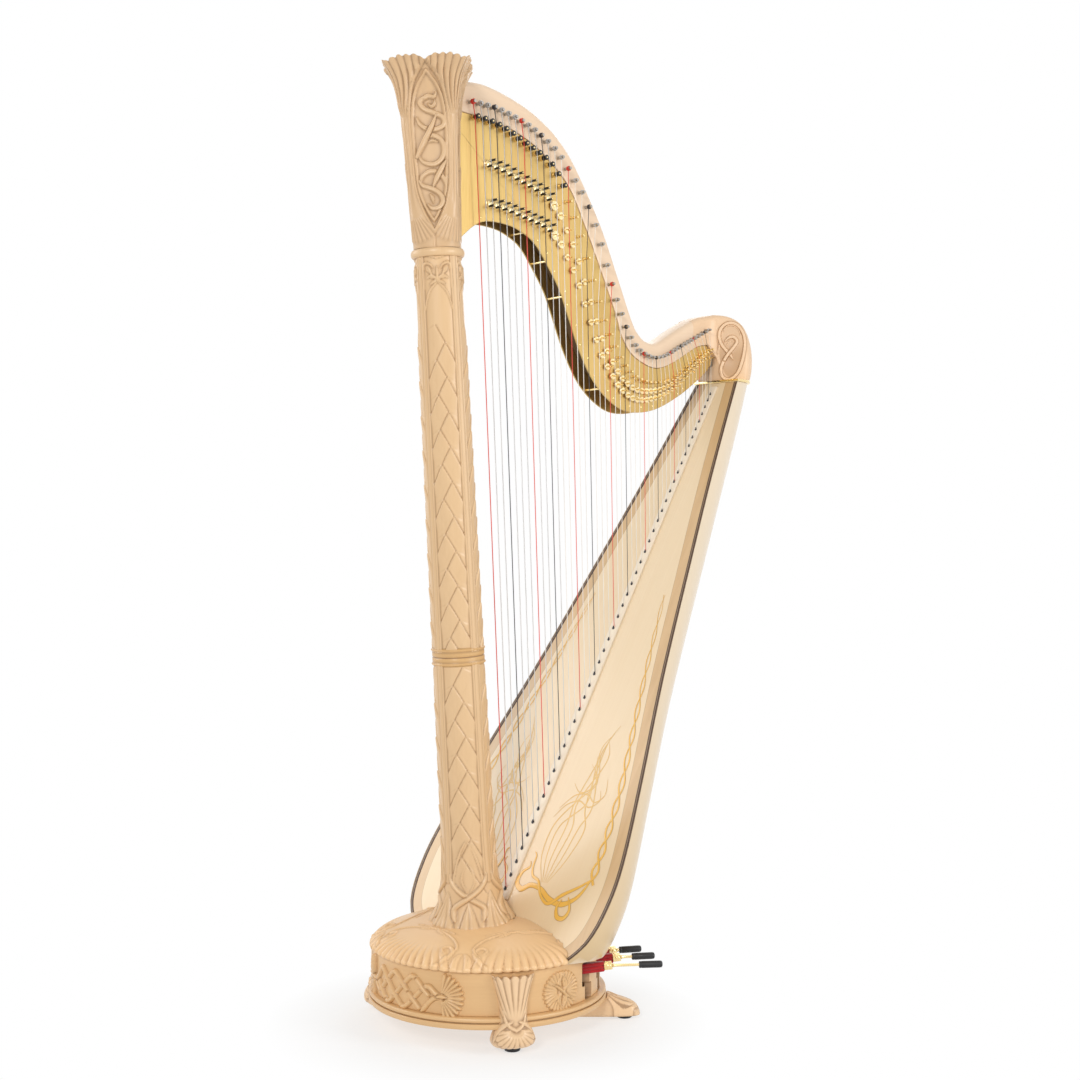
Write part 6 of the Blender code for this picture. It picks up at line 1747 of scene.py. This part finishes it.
def figure_eight():
    """Crossing ribbons in tall loops, on the slanting face's own (across from the fold, height)."""
    field = Relief((-0.01, 1.30), (0.10, 1.475), 0.0006)
    half, tall = 0.0036, 0.0034
    field.stroke([(0.021, 1.402), (0.0150, 1.382), (0.0135, 1.362)], [0.0020, 0.0016, 0.0008], 0.0014, groove=0.0009)
    field.stroke([(0.029, 1.426), (0.0315, 1.436), (0.041, 1.4415), (0.053, 1.4400), (0.0625, 1.4325), (0.066, 1.418)],
                 [0.0008, 0.0016, 0.0018, 0.0018, 0.0016, 0.0008], 0.0014, groove=0.0010)
    field.stroke([(0.0345, 1.396), (0.041, 1.404), (0.049, 1.403)], [0.0008, 0.0018, 0.0008], 0.0014, groove=0.0009)
    field.stroke([(0.0386, 1.3754), (0.0282, 1.3588), (0.0216, 1.3400), (0.0241, 1.3240), (0.0345, 1.3160),
                  (0.0470, 1.3190), (0.0594, 1.3310), (0.0678, 1.3504), (0.0740, 1.3754), (0.0771, 1.4005),
                  (0.0730, 1.4234), (0.0615, 1.4411), (0.0470, 1.4470), (0.0324, 1.4440), (0.0209, 1.4317),
                  (0.0182, 1.4151), (0.0230, 1.3984), (0.0334, 1.3838), (0.0428, 1.3734), (0.0490, 1.3619)],
                 [half] * 17 + [half, half, 0.0008], tall, "ribbon", groove=0.0014)
    field.stroke([(0.0300, 1.4030), (0.0386, 1.4119), (0.0480, 1.4146), (0.0563, 1.4099), (0.0578, 1.4005),
                  (0.0490, 1.3880), (0.0386, 1.3754), (0.0300, 1.3620)],
                 [0.0008, 0.0028, half, half, half, half, half, half], tall + 0.0004, "ribbon", over=True, groove=0.0012)
    return field


def shoulder():
    """Block over the collar, slanting at its front left; above the plates it reaches forward into the neck."""
    base_z = COLLAR_LOW + COLLAR_THICKNESS + 0.0003
    rows, right_count, left_count, lead_count = 220, 60, 200, 64
    side_count = right_count + left_count
    field = figure_eight()
    recess_shade = field.hollows(0.0030, 0.0013)
    lefts = [(base_z + a, b) for a, b, _, _ in SHOULDER_SHAPE]
    rights = [(base_z + a, c) for a, _, c, _ in SHOULDER_SHAPE]
    depths = [(base_z + a, d - 0.0002) for a, _, _, d in SHOULDER_SHAPE]
    top = base_z + SHOULDER_SHAPE[-1][0]
    shelf, reach_full, edge, band_side = 1.3950, 0.074, 0.013, BAND_LEFT - 0.0001
    power = 2 / SHOULDER_ROUNDNESS
    quarter = math.pi / 2
    turns = np.concatenate([
        quarter * np.linspace(0, 1, right_count, endpoint=False) ** 1.3,
        2 * quarter - quarter * np.linspace(1, 0, left_count) ** 1.3,
    ])
    share = np.linspace(0, 1, lead_count)[1:]
    fill = 1 - 0.9 * share
    middle = slice(lead_count - 1, lead_count - 1 + side_count)
    rings, on_left = [], []
    for z in base_z + (top - base_z) * np.sin(np.linspace(0, math.pi / 2, rows)) ** 1.15:
        left, right, depth = smooth_at(lefts, z), smooth_at(rights, z), smooth_at(depths, z)
        out = float(ease((z - shelf) / 0.004))
        across = np.cos(turns)
        y = np.sign(across) * np.abs(across) ** power * np.where(across > 0, right, left)
        x = SHOULDER_FRONT + np.maximum(np.sin(turns), 0) ** power * depth
        lead = SHOULDER_FRONT - share * reach_full * out
        x_all = np.concatenate([lead[::-1], x, lead])
        y_all = np.concatenate([0 * share + right, y, 0 * share - left])
        neck_top = smooth_values(NECK_TOP, np.minimum(x_all, SHOULDER_FRONT)) + 0.0006
        low_edge = np.interp(x_all, *np.array(PLATE_WRAP).T)
        z_lead = low_edge + (z - shelf) * (neck_top - low_edge) / (top - shelf)
        z_all = np.where((z > shelf) & (x_all < SHOULDER_FRONT), z_lead, z)
        near_top = np.clip(1 - (neck_top - z_all) / edge, 0, 1)
        inset = edge * (1 - np.sqrt(np.clip(1 - near_top ** 2, 0, 1)))
        flow = smooth_values(SLANT, np.clip((x_all - SLANT_START_X) / (SLANT_END_X - SLANT_START_X), 0, 1))
        calm = ease((x_all - 0.750) / 0.066)
        target_left = (band_side + inset) * (1 - flow) + y_all * flow
        target_right = (NECK_RIGHT - 0.0006 - inset) * (1 - calm) + y_all * calm
        if out > 0.02:
            y_all = np.where(y_all < 0, target_left, target_right)
        else:
            bend = 0.80 + 0.20 * float(ease((z - base_z) / 0.050))
            y_all = y_all + (np.where(y_all < 0, target_left, y_all) - y_all) * bend
            first, last = y_all[middle][0], y_all[middle][-1]
            y_all[:lead_count - 1] = (first * fill)[::-1]
            y_all[lead_count - 1 + side_count:] = last + (first * 0.1 - last) * (1 - fill) / 0.9
        rings.append(np.stack([x_all, y_all, z_all], axis=1))
        on_left.append(np.concatenate([0 * share, np.clip((turns / math.pi - 0.66) / 0.04, 0, 1), 0 * share + 1]))
    rings, on_left = np.array(rings), np.array(on_left).ravel()
    flat = rings.reshape(-1, 3)
    length = math.hypot(SLANT_END_X - FOLD_X, SLANT_FALL)
    along_x, along_left = (SLANT_END_X - FOLD_X) / length, SLANT_FALL / length
    u = (flat[:, 0] - FOLD_X) * along_x - (flat[:, 1] - band_side) * along_left
    shown = on_left * np.clip((0.832 - flat[:, 0]) / 0.01, 0, 1)
    lift = field.at(u, flat[:, 2]) * shown
    # Painted shade in the ribbons' recesses, and a broad painted shade over the flat ground inside the loops, deeper
    # towards their foot.
    hollow = field.at(u, flat[:, 2], recess_shade) * shown
    loops = ((u - 0.047) / 0.030) ** 2 + ((flat[:, 2] - 1.381) / 0.066) ** 2
    ground = (0.35 + 0.50 * ease((1.415 - flat[:, 2]) / 0.050)) * ease((1.05 - loops) / 0.25)
    hollow = np.maximum(hollow, ground * shown * (lift < 0.0012))
    flat[:, 0] -= along_left * lift
    flat[:, 1] -= along_x * lift
    columns = rings.shape[1]
    faces = grid_faces(rows, columns, True).tolist()
    faces.append([(rows - 1) * columns + j for j in range(columns)])
    faces.append(list(range(columns))[::-1])
    add_piece("shoulder", flat, faces, SHOULDER_WOOD, ("shoulder_block",), values={"hollow": hollow}, sharp=50.0)


# Neck and action


def neck():
    """Band of pale wood over the plates with softly rounded edges, and the dark core between the plates."""
    stations = 150
    top = even_line(NECK_TOP, stations)
    way = np.gradient(top, axis=0)
    way /= np.linalg.norm(way, axis=1)[:, None]
    inward = np.stack([way[:, 1], -way[:, 0]], axis=1)
    fine = np.array(smooth_line([(x, z + 0.0006) for x, z in PLATE_TOP] + [(0.757, 1.3965)], 16))
    low, last = [], 0
    for i in range(stations):
        gaps = fine - top[i]
        cost = np.where((gaps @ inward[i]) > 0, np.abs(gaps @ way[i]), 9.0)
        cost[:last] = 9.0
        last = int(np.argmin(cost))
        low.append(fine[last])
    low = np.array(low)
    depth = np.linalg.norm(low - top, axis=1)
    drop = (low - top) / depth[:, None]
    edge = 0.013
    section = [(BAND_LEFT + 0.003, "low", 0.0), (BAND_LEFT + 0.0004, "low", 0.0), (BAND_LEFT, "low", 0.0006)]
    for share in (0.75, 0.5, 0.25):
        section.append((BAND_LEFT, "mix", share))
    for a in np.linspace(0, math.pi / 2, 8):
        section.append((BAND_LEFT + edge * (1 - math.cos(a)), "top", edge * (1 - math.sin(a))))
    for share in np.linspace(0.15, 0.85, 6):
        across = BAND_LEFT + edge + (NECK_RIGHT - BAND_LEFT - 2 * edge) * share
        section.append((across, "top", -0.0012 * math.sin(math.pi * share)))
    for a in np.linspace(math.pi / 2, 0, 8):
        section.append((NECK_RIGHT - edge * (1 - math.cos(a)), "top", edge * (1 - math.sin(a))))
    for share in (0.25, 0.5, 0.75):
        section.append((NECK_RIGHT, "mix", share))
    section.append((NECK_RIGHT, "low", 0.0006))
    section.append((NECK_RIGHT - 0.003, "low", 0.0))
    rings = []
    for y, kind, value in section:
        if kind == "low":
            spot = low - drop * value
        elif kind == "mix":
            spot = top + drop * (edge + (depth - edge) * value)[:, None]
        else:
            spot = top + drop * value
        rings.append(np.stack([spot[:, 0], np.full(stations, y), spot[:, 1]], axis=1))
    rings = np.array(rings).transpose(1, 0, 2)
    faces = grid_faces(stations, len(section), True).tolist()
    faces.append(list(range(len(section)))[::-1])
    faces.append([(stations - 1) * len(section) + j for j in range(len(section))])
    # Painted shade on the band's underside, just above the plate.
    hollow = np.zeros((stations, len(section)))
    hollow[:, :2] = 0.2
    add_piece("neck_band", rings, faces, NECK_WOOD, ("neck",), values={"hollow": hollow}, sharp=50.0)
    core_top = even_line([(x, z - 0.004) for x, z in PLATE_TOP] + [(0.752, 1.372)], stations)
    core_low = even_line([(x, min(z, 1.349)) if x > 0.7 else (x, z) for x, z in NECK_LOW], stations)
    rings = []
    for spot, y in ((core_top, PLATE_BACK + 0.001), (core_low, PLATE_BACK + 0.001), (core_low, PLATE_BACK + 0.012),
                    (core_low, RIGHT_PLATE - 0.012), (core_low, RIGHT_PLATE - 0.001), (core_top, RIGHT_PLATE - 0.001)):
        rings.append(np.stack([spot[:, 0], np.full(stations, y), spot[:, 1]], axis=1))
    rings = np.array(rings).transpose(1, 0, 2)
    add_piece("neck_core", rings, grid_faces(stations, 6, True), CORE_WOOD, (), sharp=50.0)


def plate_outline(start, steps=5):
    top = [p for p in smooth_line(PLATE_TOP, steps) if p[0] > start + 0.0003]
    low = [p for p in smooth_line(PLATE_LOW, steps) if p[0] > start + 0.0003]
    end = smooth_line([top[-1], *PLATE_END, low[-1]], 6)[1:-1]
    ends = [(start, smooth_at(PLATE_LOW, start)), (start, smooth_at(PLATE_TOP, start))]
    return ends + top + end + low[::-1]


def plate(name, start, y0, y1, node, finish):
    """A flat plate with fine chamfers along its edge."""
    outline = np.array(plate_outline(start))
    way = np.roll(outline, -1, axis=0) - np.roll(outline, 1, axis=0)
    way /= np.linalg.norm(way, axis=1)[:, None] + 1e-12
    inward = np.stack([way[:, 1], -way[:, 0]], axis=1)
    area = 0.5 * np.sum(outline[:, 0] * np.roll(outline[:, 1], -1) - np.roll(outline[:, 0], -1) * outline[:, 1])
    if area > 0:
        inward = -inward
    rings = []
    for y, inset in ((y0, 0.0007), (y0 + 0.0005, 0.0), (y1 - 0.0005, 0.0), (y1, 0.0007)):
        spot = outline + inward * inset
        rings.append(np.stack([spot[:, 0], np.full(len(spot), y), spot[:, 1]], axis=1))
    solid = Solids()
    solid.skin(rings)
    return face_out(solid.piece(name, finish, (node,), sharp=30.0))


def along_y(x, z, y):
    """A place whose z axis points to the harp's left (-y)."""
    return pointing((x, y, z), (0.0, -1.0, 0.0))


def tuning_pins():
    pins, wraps = Solids(), {"red": Solids(), "black": Solids(), "wound": Solids(), "clear": Solids()}
    for index in range(STRINGS):
        _, _, (x, z) = string_ends(index)
        place = along_y(x, z, 0.0)
        r = 0.0033 if index < 30 else 0.0028
        pins.turned(place, [(-0.0845, r * 0.80), (-0.0840, r * 0.95), (-0.070, r), (0.0055, r), (0.0062, r * 0.94),
                            (0.0070, r), (0.0076, r * 0.94), (0.0080, r * 0.9), (0.0080, r * 0.25)], 14)
        head = along_y(x, z, NECK_RIGHT + 0.0085)
        pins.block(head, (-r * 0.8, -r * 0.8, -0.0115), (r * 0.8, r * 0.8, 0.0), 0.0005)
        kind = string_kind(index)
        size = string_radius(index)
        for k in range(3):
            turns = np.linspace(0, 2 * math.pi, 18, endpoint=False)
            offset = 0.0001 - (k - 0.4) * 2.1 * size
            ring_path = np.stack([
                x + (r + size * 0.8) * np.cos(turns), np.full(18, offset), z + (r + size * 0.8) * np.sin(turns),
            ], axis=1)
            closed_ring(wraps[kind], ring_path, size * 0.95)
    pins.piece("tuning_pins", STEEL)
    for kind, finish in (("red", RED_STRING), ("black", BLACK_STRING), ("wound", WOUND_STRING), ("clear", WOUND_STRING)):
        wraps[kind].piece(f"{kind}_string_coils", finish, sharp=60.0)


def closed_ring(solids, path, radius, sides=6):
    """A closed tube round a ring of points in a plane y = constant."""
    middle = path.mean(axis=0)
    turns = np.linspace(0, 2 * math.pi, sides, endpoint=False)
    rings = []
    for point in path:
        out = point - middle
        out /= np.linalg.norm(out)
        rings.append(point + radius * (np.cos(turns)[:, None] * out + np.sin(turns)[:, None] * ACROSS))
    rings = np.array(rings)
    rows = len(path)
    faces = grid_faces(rows, sides, True).tolist()
    last = (rows - 1) * sides
    faces += [[last + j, last + (j + 1) % sides, (j + 1) % sides, j] for j in range(sides)]
    solids.add(rings, faces)


def bridge_pins():
    brass, black = Solids(), Solids()
    for index in range(STRINGS):
        x, z, radius = bridge_pin(index)
        place = along_y(x, z, 0.0)
        if index < ROLLERS:
            brass.turned(place, [(-PLATE_LEFT - 0.001, 0.0056), (-0.0096, 0.0056), (-0.0088, 0.0050), (-0.0070, 0.0046),
                                 (-0.0064, 0.0030), (0.0056, 0.0022), (0.0064, 0.0016), (0.0064, 0.0002)], 18)
            black.turned(place, [(-0.0064, 0.0032), (-0.0062, 0.0050), (-0.0046, 0.0055), (-0.0020, 0.0046),
                                 (0.0018, 0.0046), (0.0038, 0.0055), (0.0052, 0.0053), (0.0060, 0.0044), (0.0060, 0.0018)],
                         24)
        else:
            brass.turned(place, [(-PLATE_LEFT - 0.001, radius * 1.35), (-0.0098, radius * 1.35), (-0.0092, radius * 1.05),
                                 (-0.0022, radius * 0.95), (-0.0012, radius * 0.80), (0.0012, radius * 0.80),
                                 (0.0024, radius * 0.95), (0.0052, radius * 1.02), (0.0062, radius * 0.80),
                                 (0.0062, radius * 0.2)], 16)
    brass.piece("bridge_pins", BRASS)
    black.piece("black_rollers", ROLLER_BLACK)


def disc_solids(discs, prongs, x, z, radius):
    """A round disc with a rim, a screw in its middle and two prongs."""
    place = along_y(x, z, 0.0)
    discs.turned(place, [(-PLATE_LEFT - 0.001, 0.42 * radius), (-0.0085, 0.42 * radius), (-0.0080, 0.93 * radius),
                         (-0.0074, radius), (-0.0062, radius), (-0.0055, 0.94 * radius), (-0.0055, 0.80 * radius),
                         (-0.0059, 0.74 * radius), (-0.0059, 0.40 * radius), (-0.0050, 0.36 * radius),
                         (-0.0047, 0.30 * radius), (-0.0047, 0.03 * radius)], 26)
    thick = min(0.0013, 0.2 * radius)
    for sign in (-1, 1):
        centre = along_y(x + sign * 0.64 * radius, z, 0.0)
        prongs.turned(centre, [(-0.0066, thick * 1.5), (-0.0050, thick * 1.5), (-0.0044, thick), (0.0042, thick),
                               (0.0050, thick * 0.7), (0.0050, thick * 0.1)], 12)


def fork_solids(nuts, sleeves, brass, x, z, radius):
    """A gold nut with two long black-sleeved prongs, one above the other."""
    size = 0.78 * radius
    place = along_y(x, z, 0.0)
    nuts.turned(place, [(-PLATE_LEFT - 0.001, size), (-0.0100, size), (-0.0094, size * 0.92), (-0.0078, size * 0.84),
                        (-0.0060, size * 0.84), (-0.0056, size * 0.76), (-0.0056, size * 0.1)], 20)
    tilt = math.radians(56)
    bar = along_y(x, z, 0.0) @ Matrix.Rotation(tilt, 4, "Z")
    nuts.block(bar, (-0.0100, -0.0036, -0.0074), (0.0100, 0.0036, -0.0040), 0.0008)
    nuts.turned(place, [(-0.0042, 0.0030), (-0.0034, 0.0029), (-0.0030, 0.0022), (-0.0030, 0.0002)], 16)
    for sign in (-1, 1):
        spot = bar @ Matrix.Translation((sign * 0.0080, 0.0, 0.0))
        brass.turned(spot, [(-0.0042, 0.0016), (0.0098, 0.0016), (0.0104, 0.0011), (0.0104, 0.0002)], 10)
        sleeves.turned(spot, [(-0.0042, 0.0018), (-0.0040, 0.0025), (0.0092, 0.0025), (0.0096, 0.0018)], 14)


def action():
    plate("left_plate", -0.070, PLATE_LEFT, PLATE_BACK, "action_plate_left", PLATE_BRASS)
    plate("right_plate", -0.062, RIGHT_PLATE, RIGHT_PLATE + PLATE_THICKNESS, "action_plate_right", PLATE_BRASS)
    posts = Solids()
    post = [(-RIGHT_PLATE, 0.0025), (-RIGHT_PLATE + 0.002, 0.0031), (-RIGHT_PLATE + 0.004, 0.0025),
            (-PLATE_BACK - 0.004, 0.0025), (-PLATE_BACK - 0.002, 0.0031), (-PLATE_BACK, 0.0025)]
    head = [(-PLATE_LEFT, 0.0017), (-PLATE_LEFT + 0.0007, 0.0016), (-PLATE_LEFT + 0.0010, 0.0008),
            (-PLATE_LEFT + 0.0010, 0.0001)]
    for x in SPACERS_X:
        z = smooth_at(PLATE_LOW, x) + 0.011
        posts.turned(along_y(x, z, 0.0), post, 14)
    screws = 22
    line = even_line(PLATE_LOW[3:], 60)
    for k in range(screws):
        x, z = line[int((k + 0.5) / screws * 59)]
        posts.turned(along_y(x + 0.010 * (1 if k % 2 else 0.2), z + 0.012, 0.0), head, 12)
    posts.piece("plate_posts", BRASS)
    discs, prongs, nuts, sleeves, rods = Solids(), Solids(), Solids(), Solids(), Solids()
    for index in range(DISC_STRINGS_FROM, STRINGS):
        if index in MOVING_DISCS.values():
            continue
        for semitones in (1, 2):
            x, z, radius = disc_place(index, semitones)
            if index < FORKS:
                fork_solids(nuts, sleeves, rods, x, z, radius)
            else:
                disc_solids(discs, prongs, x, z, radius)
    discs.piece("fixed_discs", DISC_BRASS, sharp=30.0)
    prongs.piece("fixed_disc_prongs", BRASS)
    nuts.piece("fork_nuts", DISC_BRASS, sharp=30.0)
    rods.piece("fork_prongs", BRASS)
    sleeves.piece("fork_sleeves", ROLLER_BLACK)
    for note, index in MOVING_DISCS.items():
        for semitones, word in ((1, "upper"), (2, "lower")):
            x, z, radius = disc_place(index, semitones)
            disc, pair = Solids(), Solids()
            disc_solids(disc, pair, x, z, radius)
            body = f"disc_{word}_{note}"
            disc.piece(f"round_disc_{word}_{note}", DISC_BRASS, (body,), body, 30.0)
            pair.piece(f"disc_prongs_{word}_{note}", BRASS, (), body)


# Pedals


def pedal_place(pedal, tilt, reach=0.0, height=PEDAL_PIVOT_Z):
    x, y, z = pedal_point(pedal, reach, height)
    return Matrix.Translation((x, y, z)) @ Matrix.Rotation(math.radians(pedal[2]), 4, "Z") @ Matrix.Rotation(-tilt, 4, "Y")


def soft_block(name, place, low, high, layers, finish, nodes, body):
    """Stacked felt: layers with rounded, slightly uneven edges."""
    low, high = np.array(low), np.array(high)
    solid = Solids()
    tall = (high[2] - low[2]) / layers
    for k in range(layers):
        turns = np.linspace(0, 2 * math.pi, 56, endpoint=False)
        c, s = np.cos(turns), np.sin(turns)
        reach = 1 / (np.abs(c) ** 9 + np.abs(s) ** 9) ** (1 / 9)
        rings = []
        for share, grow in ((0.02, 0.86), (0.10, 0.96), (0.30, 1.0), (0.70, 1.0), (0.90, 0.96), (0.98, 0.86)):
            wobble = 1 + 0.012 * np.sin(5 * turns + 1.7 * k) + 0.008 * np.sin(11 * turns + k)
            half = (high - low)[:2] / 2
            x = (low[0] + high[0]) / 2 + (half[0] - 0.0016 * (1 - grow) * 6) * reach * c * wobble
            y = (low[1] + high[1]) / 2 + (half[1] - 0.0012 * (1 - grow) * 6) * reach * s * wobble
            rings.append(np.stack([x, y, np.full(56, low[2] + tall * (k + share))], axis=1))
        solid.skin(moved(np.array(rings).reshape(-1, 3), place).reshape(len(rings), 56, 3))
    return solid.piece(name, finish, nodes, body, sharp=60.0)


def pedal(pedal_data):
    note, length = pedal_data[0], pedal_data[4]
    hinge = hinge_distance(pedal_data)
    wall = pivot_to_wall(pedal_data)
    place = pedal_place(pedal_data, PEDAL_TILT)
    body = f"pedal_{note}"
    arm = Solids()
    arm.block(place, (0.0, -0.0035, -0.0045), (hinge - 0.008, 0.0035, 0.0045), 0.0008)
    side = place @ Matrix.Rotation(math.radians(90), 4, "X")
    arm.turned(side, [(-0.0036, 0.0078), (-0.0030, 0.0085), (0.0030, 0.0085), (0.0036, 0.0078)], 28)
    arm.turned(side, [(-0.0065, 0.0028), (-0.0062, 0.003), (0.0062, 0.003), (0.0065, 0.0028)], 18)
    arm.piece(f"lever_{note}", BRASS, (f"pedal_arm_{note}",), body)
    soft_block(f"felt_{note}", place, (wall - 0.018, -0.0070, -0.0092), (hinge - 0.0085, 0.0070, 0.0092), 3, RED_FELT,
               (), body)
    block = Solids()
    slot = 0.0034
    for sign in (-1, 1):
        inner, outer = sorted((sign * slot, sign * 0.0080))
        block.block(place, (hinge - 0.009, inner, -0.0065), (hinge + 0.0068, outer, 0.0065), 0.0012)
        head = place @ Matrix.Translation((hinge, sign * 0.0080, 0.0)) @ Matrix.Rotation(math.radians(-90 * sign), 4, "X")
        block.turned(head, [(-0.0005, 0.0044), (0.0008, 0.0042), (0.0016, 0.0030), (0.0016, 0.0009), (0.0007, 0.0008),
                            (0.0007, 0.0001)], 20)
    block.block(place, (hinge - 0.009, -0.0040, -0.0065), (hinge - 0.0062, 0.0040, 0.0065), 0.0004)
    for sign in (-1, 1):
        block.turned(place @ Matrix.Translation((hinge - 0.0045, sign * 0.0058, 0.0063)),
                     [(-0.0002, 0.0018), (0.0006, 0.0017), (0.0011, 0.0011), (0.0011, 0.0001)], 14)
    block.piece(f"hinge_block_{note}", BRASS, (), body, 35.0)
    foot_body = f"pedal_foot_{note}"
    reach = hinge * math.cos(PEDAL_TILT)
    tip = pedal_place(pedal_data, PEDAL_TILT + FOOT_TILT, reach, PEDAL_PIVOT_Z + hinge * math.sin(PEDAL_TILT))
    rod = Solids()
    knuckle = tip @ Matrix.Rotation(math.radians(90), 4, "X")
    rod.turned(knuckle, [(-0.0030, 0.0048), (-0.0025, 0.0055), (0.0025, 0.0055), (0.0030, 0.0048)], 26)
    along = tip @ Matrix.Rotation(math.radians(90), 4, "Y")
    rod.turned(along, [(0.002, 0.0027), (0.0075, 0.0027), (0.0085, 0.0036), (0.0105, 0.0036), (0.0115, 0.0028),
                       (length - 0.050, 0.0026), (length - 0.006, 0.0026)], 20)
    rod.piece(f"foot_rod_{note}", BRASS, (f"pedal_foot_{note}",), foot_body)
    sleeve = Solids()
    start, end, r = length - 0.045, length, 0.0066
    sleeve.turned(along, [(start, 0.0030), (start, r - 0.0010), (start + 0.0010, r - 0.0002), (start + 0.0022, r),
                          (start + 0.0032, r), (start + 0.0038, r - 0.0005), (start + 0.0046, r - 0.0005),
                          (start + 0.0052, r), (end - 0.0060, r), (end - 0.0025, r - 0.0003), (end - 0.0010, r - 0.0012),
                          (end, r - 0.0030), (end, 0.0004)], 28)
    sleeve.piece(f"rubber_sleeve_{note}", BLACK, (f"pedal_pad_{note}",), foot_body)


def bracket():
    """Cast bracket under the levers."""
    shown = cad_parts["pedal_bracket"]
    for slot in shown.material_slots:
        slot.material = IRON


# The room, the lights and the camera


def floor():
    size, rings = 9.0, 60
    sides = 96
    turns = np.linspace(0, 2 * math.pi, sides, endpoint=False)
    reach = np.concatenate([[0.0001], np.geomspace(0.05, size, rings)])
    level = 0 * turns + 0 * reach[:, None]
    points = np.stack([reach[:, None] * np.cos(turns), reach[:, None] * np.sin(turns), level], axis=-1)
    mesh = bpy.data.meshes.new("floor")
    mesh.from_pydata(points.reshape(-1, 3).tolist(), [], grid_faces(len(reach), sides, True).tolist())
    mesh.shade_smooth()
    obj = bpy.data.objects.new("floor", mesh)
    obj.location = (BASE_X - FRAME_X, 0.0, 0.0)
    bpy.context.scene.collection.objects.link(obj)
    s = Surface("pale_floor", (0.93, 0.925, 0.915), 0.8)
    s.shader.inputs["Specular IOR Level"].default_value = 0.15
    glow = s.node("ShaderNodeEmission", {"Color": (1.0, 1.0, 1.0), "Strength": 1.0})
    where = s.node("ShaderNodeTexCoord", {}, output=3)
    far = s.node("ShaderNodeVectorMath", {0: where}, output=1, operation="LENGTH")
    fade = s.between(far, 0.27, 0.44, 0.60, 1.0)
    mixed = s.node("ShaderNodeMixShader", {0: fade, 1: s.shader.outputs[0], 2: glow})
    s.tree.links.new(mixed, s.tree.nodes["Material Output"].inputs[0])
    mesh.materials.append(s.material)


def light(name, place, aim, size, energy, colour=(1.0, 1.0, 1.0)):
    lamp = bpy.data.lights.new(name, "AREA")
    lamp.energy = energy
    lamp.size = size
    lamp.color = colour
    obj = bpy.data.objects.new(name, lamp)
    obj.location = place
    obj.rotation_euler = (Vector(aim) - Vector(place)).to_track_quat("-Z", "Y").to_euler()
    bpy.context.scene.collection.objects.link(obj)


def room():
    world = bpy.data.worlds.new("room")
    bpy.context.scene.world = world
    world.use_nodes = True
    tree = world.node_tree
    background = tree.nodes["Background"]
    background.inputs["Color"].default_value = (1.0, 1.0, 1.0, 1.0)
    path = tree.nodes.new("ShaderNodeLightPath")
    seen = tree.nodes.new("ShaderNodeMath")
    seen.operation = "MAXIMUM"
    tree.links.new(path.outputs["Is Camera Ray"], seen.inputs[0])
    tree.links.new(path.outputs["Is Glossy Ray"], seen.inputs[1])
    through = tree.nodes.new("ShaderNodeMath")
    through.operation = "MAXIMUM"
    tree.links.new(seen.outputs[0], through.inputs[0])
    tree.links.new(path.outputs["Is Transmission Ray"], through.inputs[1])
    level = tree.nodes.new("ShaderNodeMapRange")
    level.inputs["To Min"].default_value = 0.44
    level.inputs["To Max"].default_value = 1.0
    tree.links.new(through.outputs[0], level.inputs["Value"])
    tree.links.new(level.outputs[0], background.inputs["Strength"])
    light("key", (-6.3, -3.5, 4.1), (-0.1, 0.0, 0.8), 2.0, 228.0)
    light("side", (1.2, -4.4, 1.8), (0.0, 0.0, 0.8), 1.7, 82.0)
    light("far_side", (-2.4, 3.5, 2.6), (0.1, 0.0, 0.8), 2.2, 50.0)
    light("back", (2.4, 1.8, 2.8), (0.0, 0.0, 1.1), 2.2, 21.0)


def camera():
    data = bpy.data.cameras.new("camera")
    data.lens = 52.613
    data.sensor_width = 36.0
    data.sensor_fit = "HORIZONTAL"
    obj = bpy.data.objects.new("camera", data)
    bpy.context.scene.collection.objects.link(obj)
    ahead = Vector((0.69593, 0.71811, 0.00174)).normalized()
    right = Vector((0.71811, -0.69593, 0.0)).normalized()
    up = right.cross(ahead).normalized()
    turn = Matrix((right, up, -ahead)).transposed()
    obj.matrix_world = Matrix.Translation((-2.38173, -2.32640, 0.9407)) @ turn.to_4x4()
    bpy.context.scene.camera = obj


base()
column()
capital()
soundbox()
soundboard()
binding("left", -1)
binding("right", 1)
ornament()
string_rib()
strings()
collar()
shoulder()
neck()
tuning_pins()
bridge_pins()
action()
for each in PEDALS:
    pedal(each)
bracket()
floor()
room()
camera()
bpy.context.scene.view_settings.view_transform = "Standard"
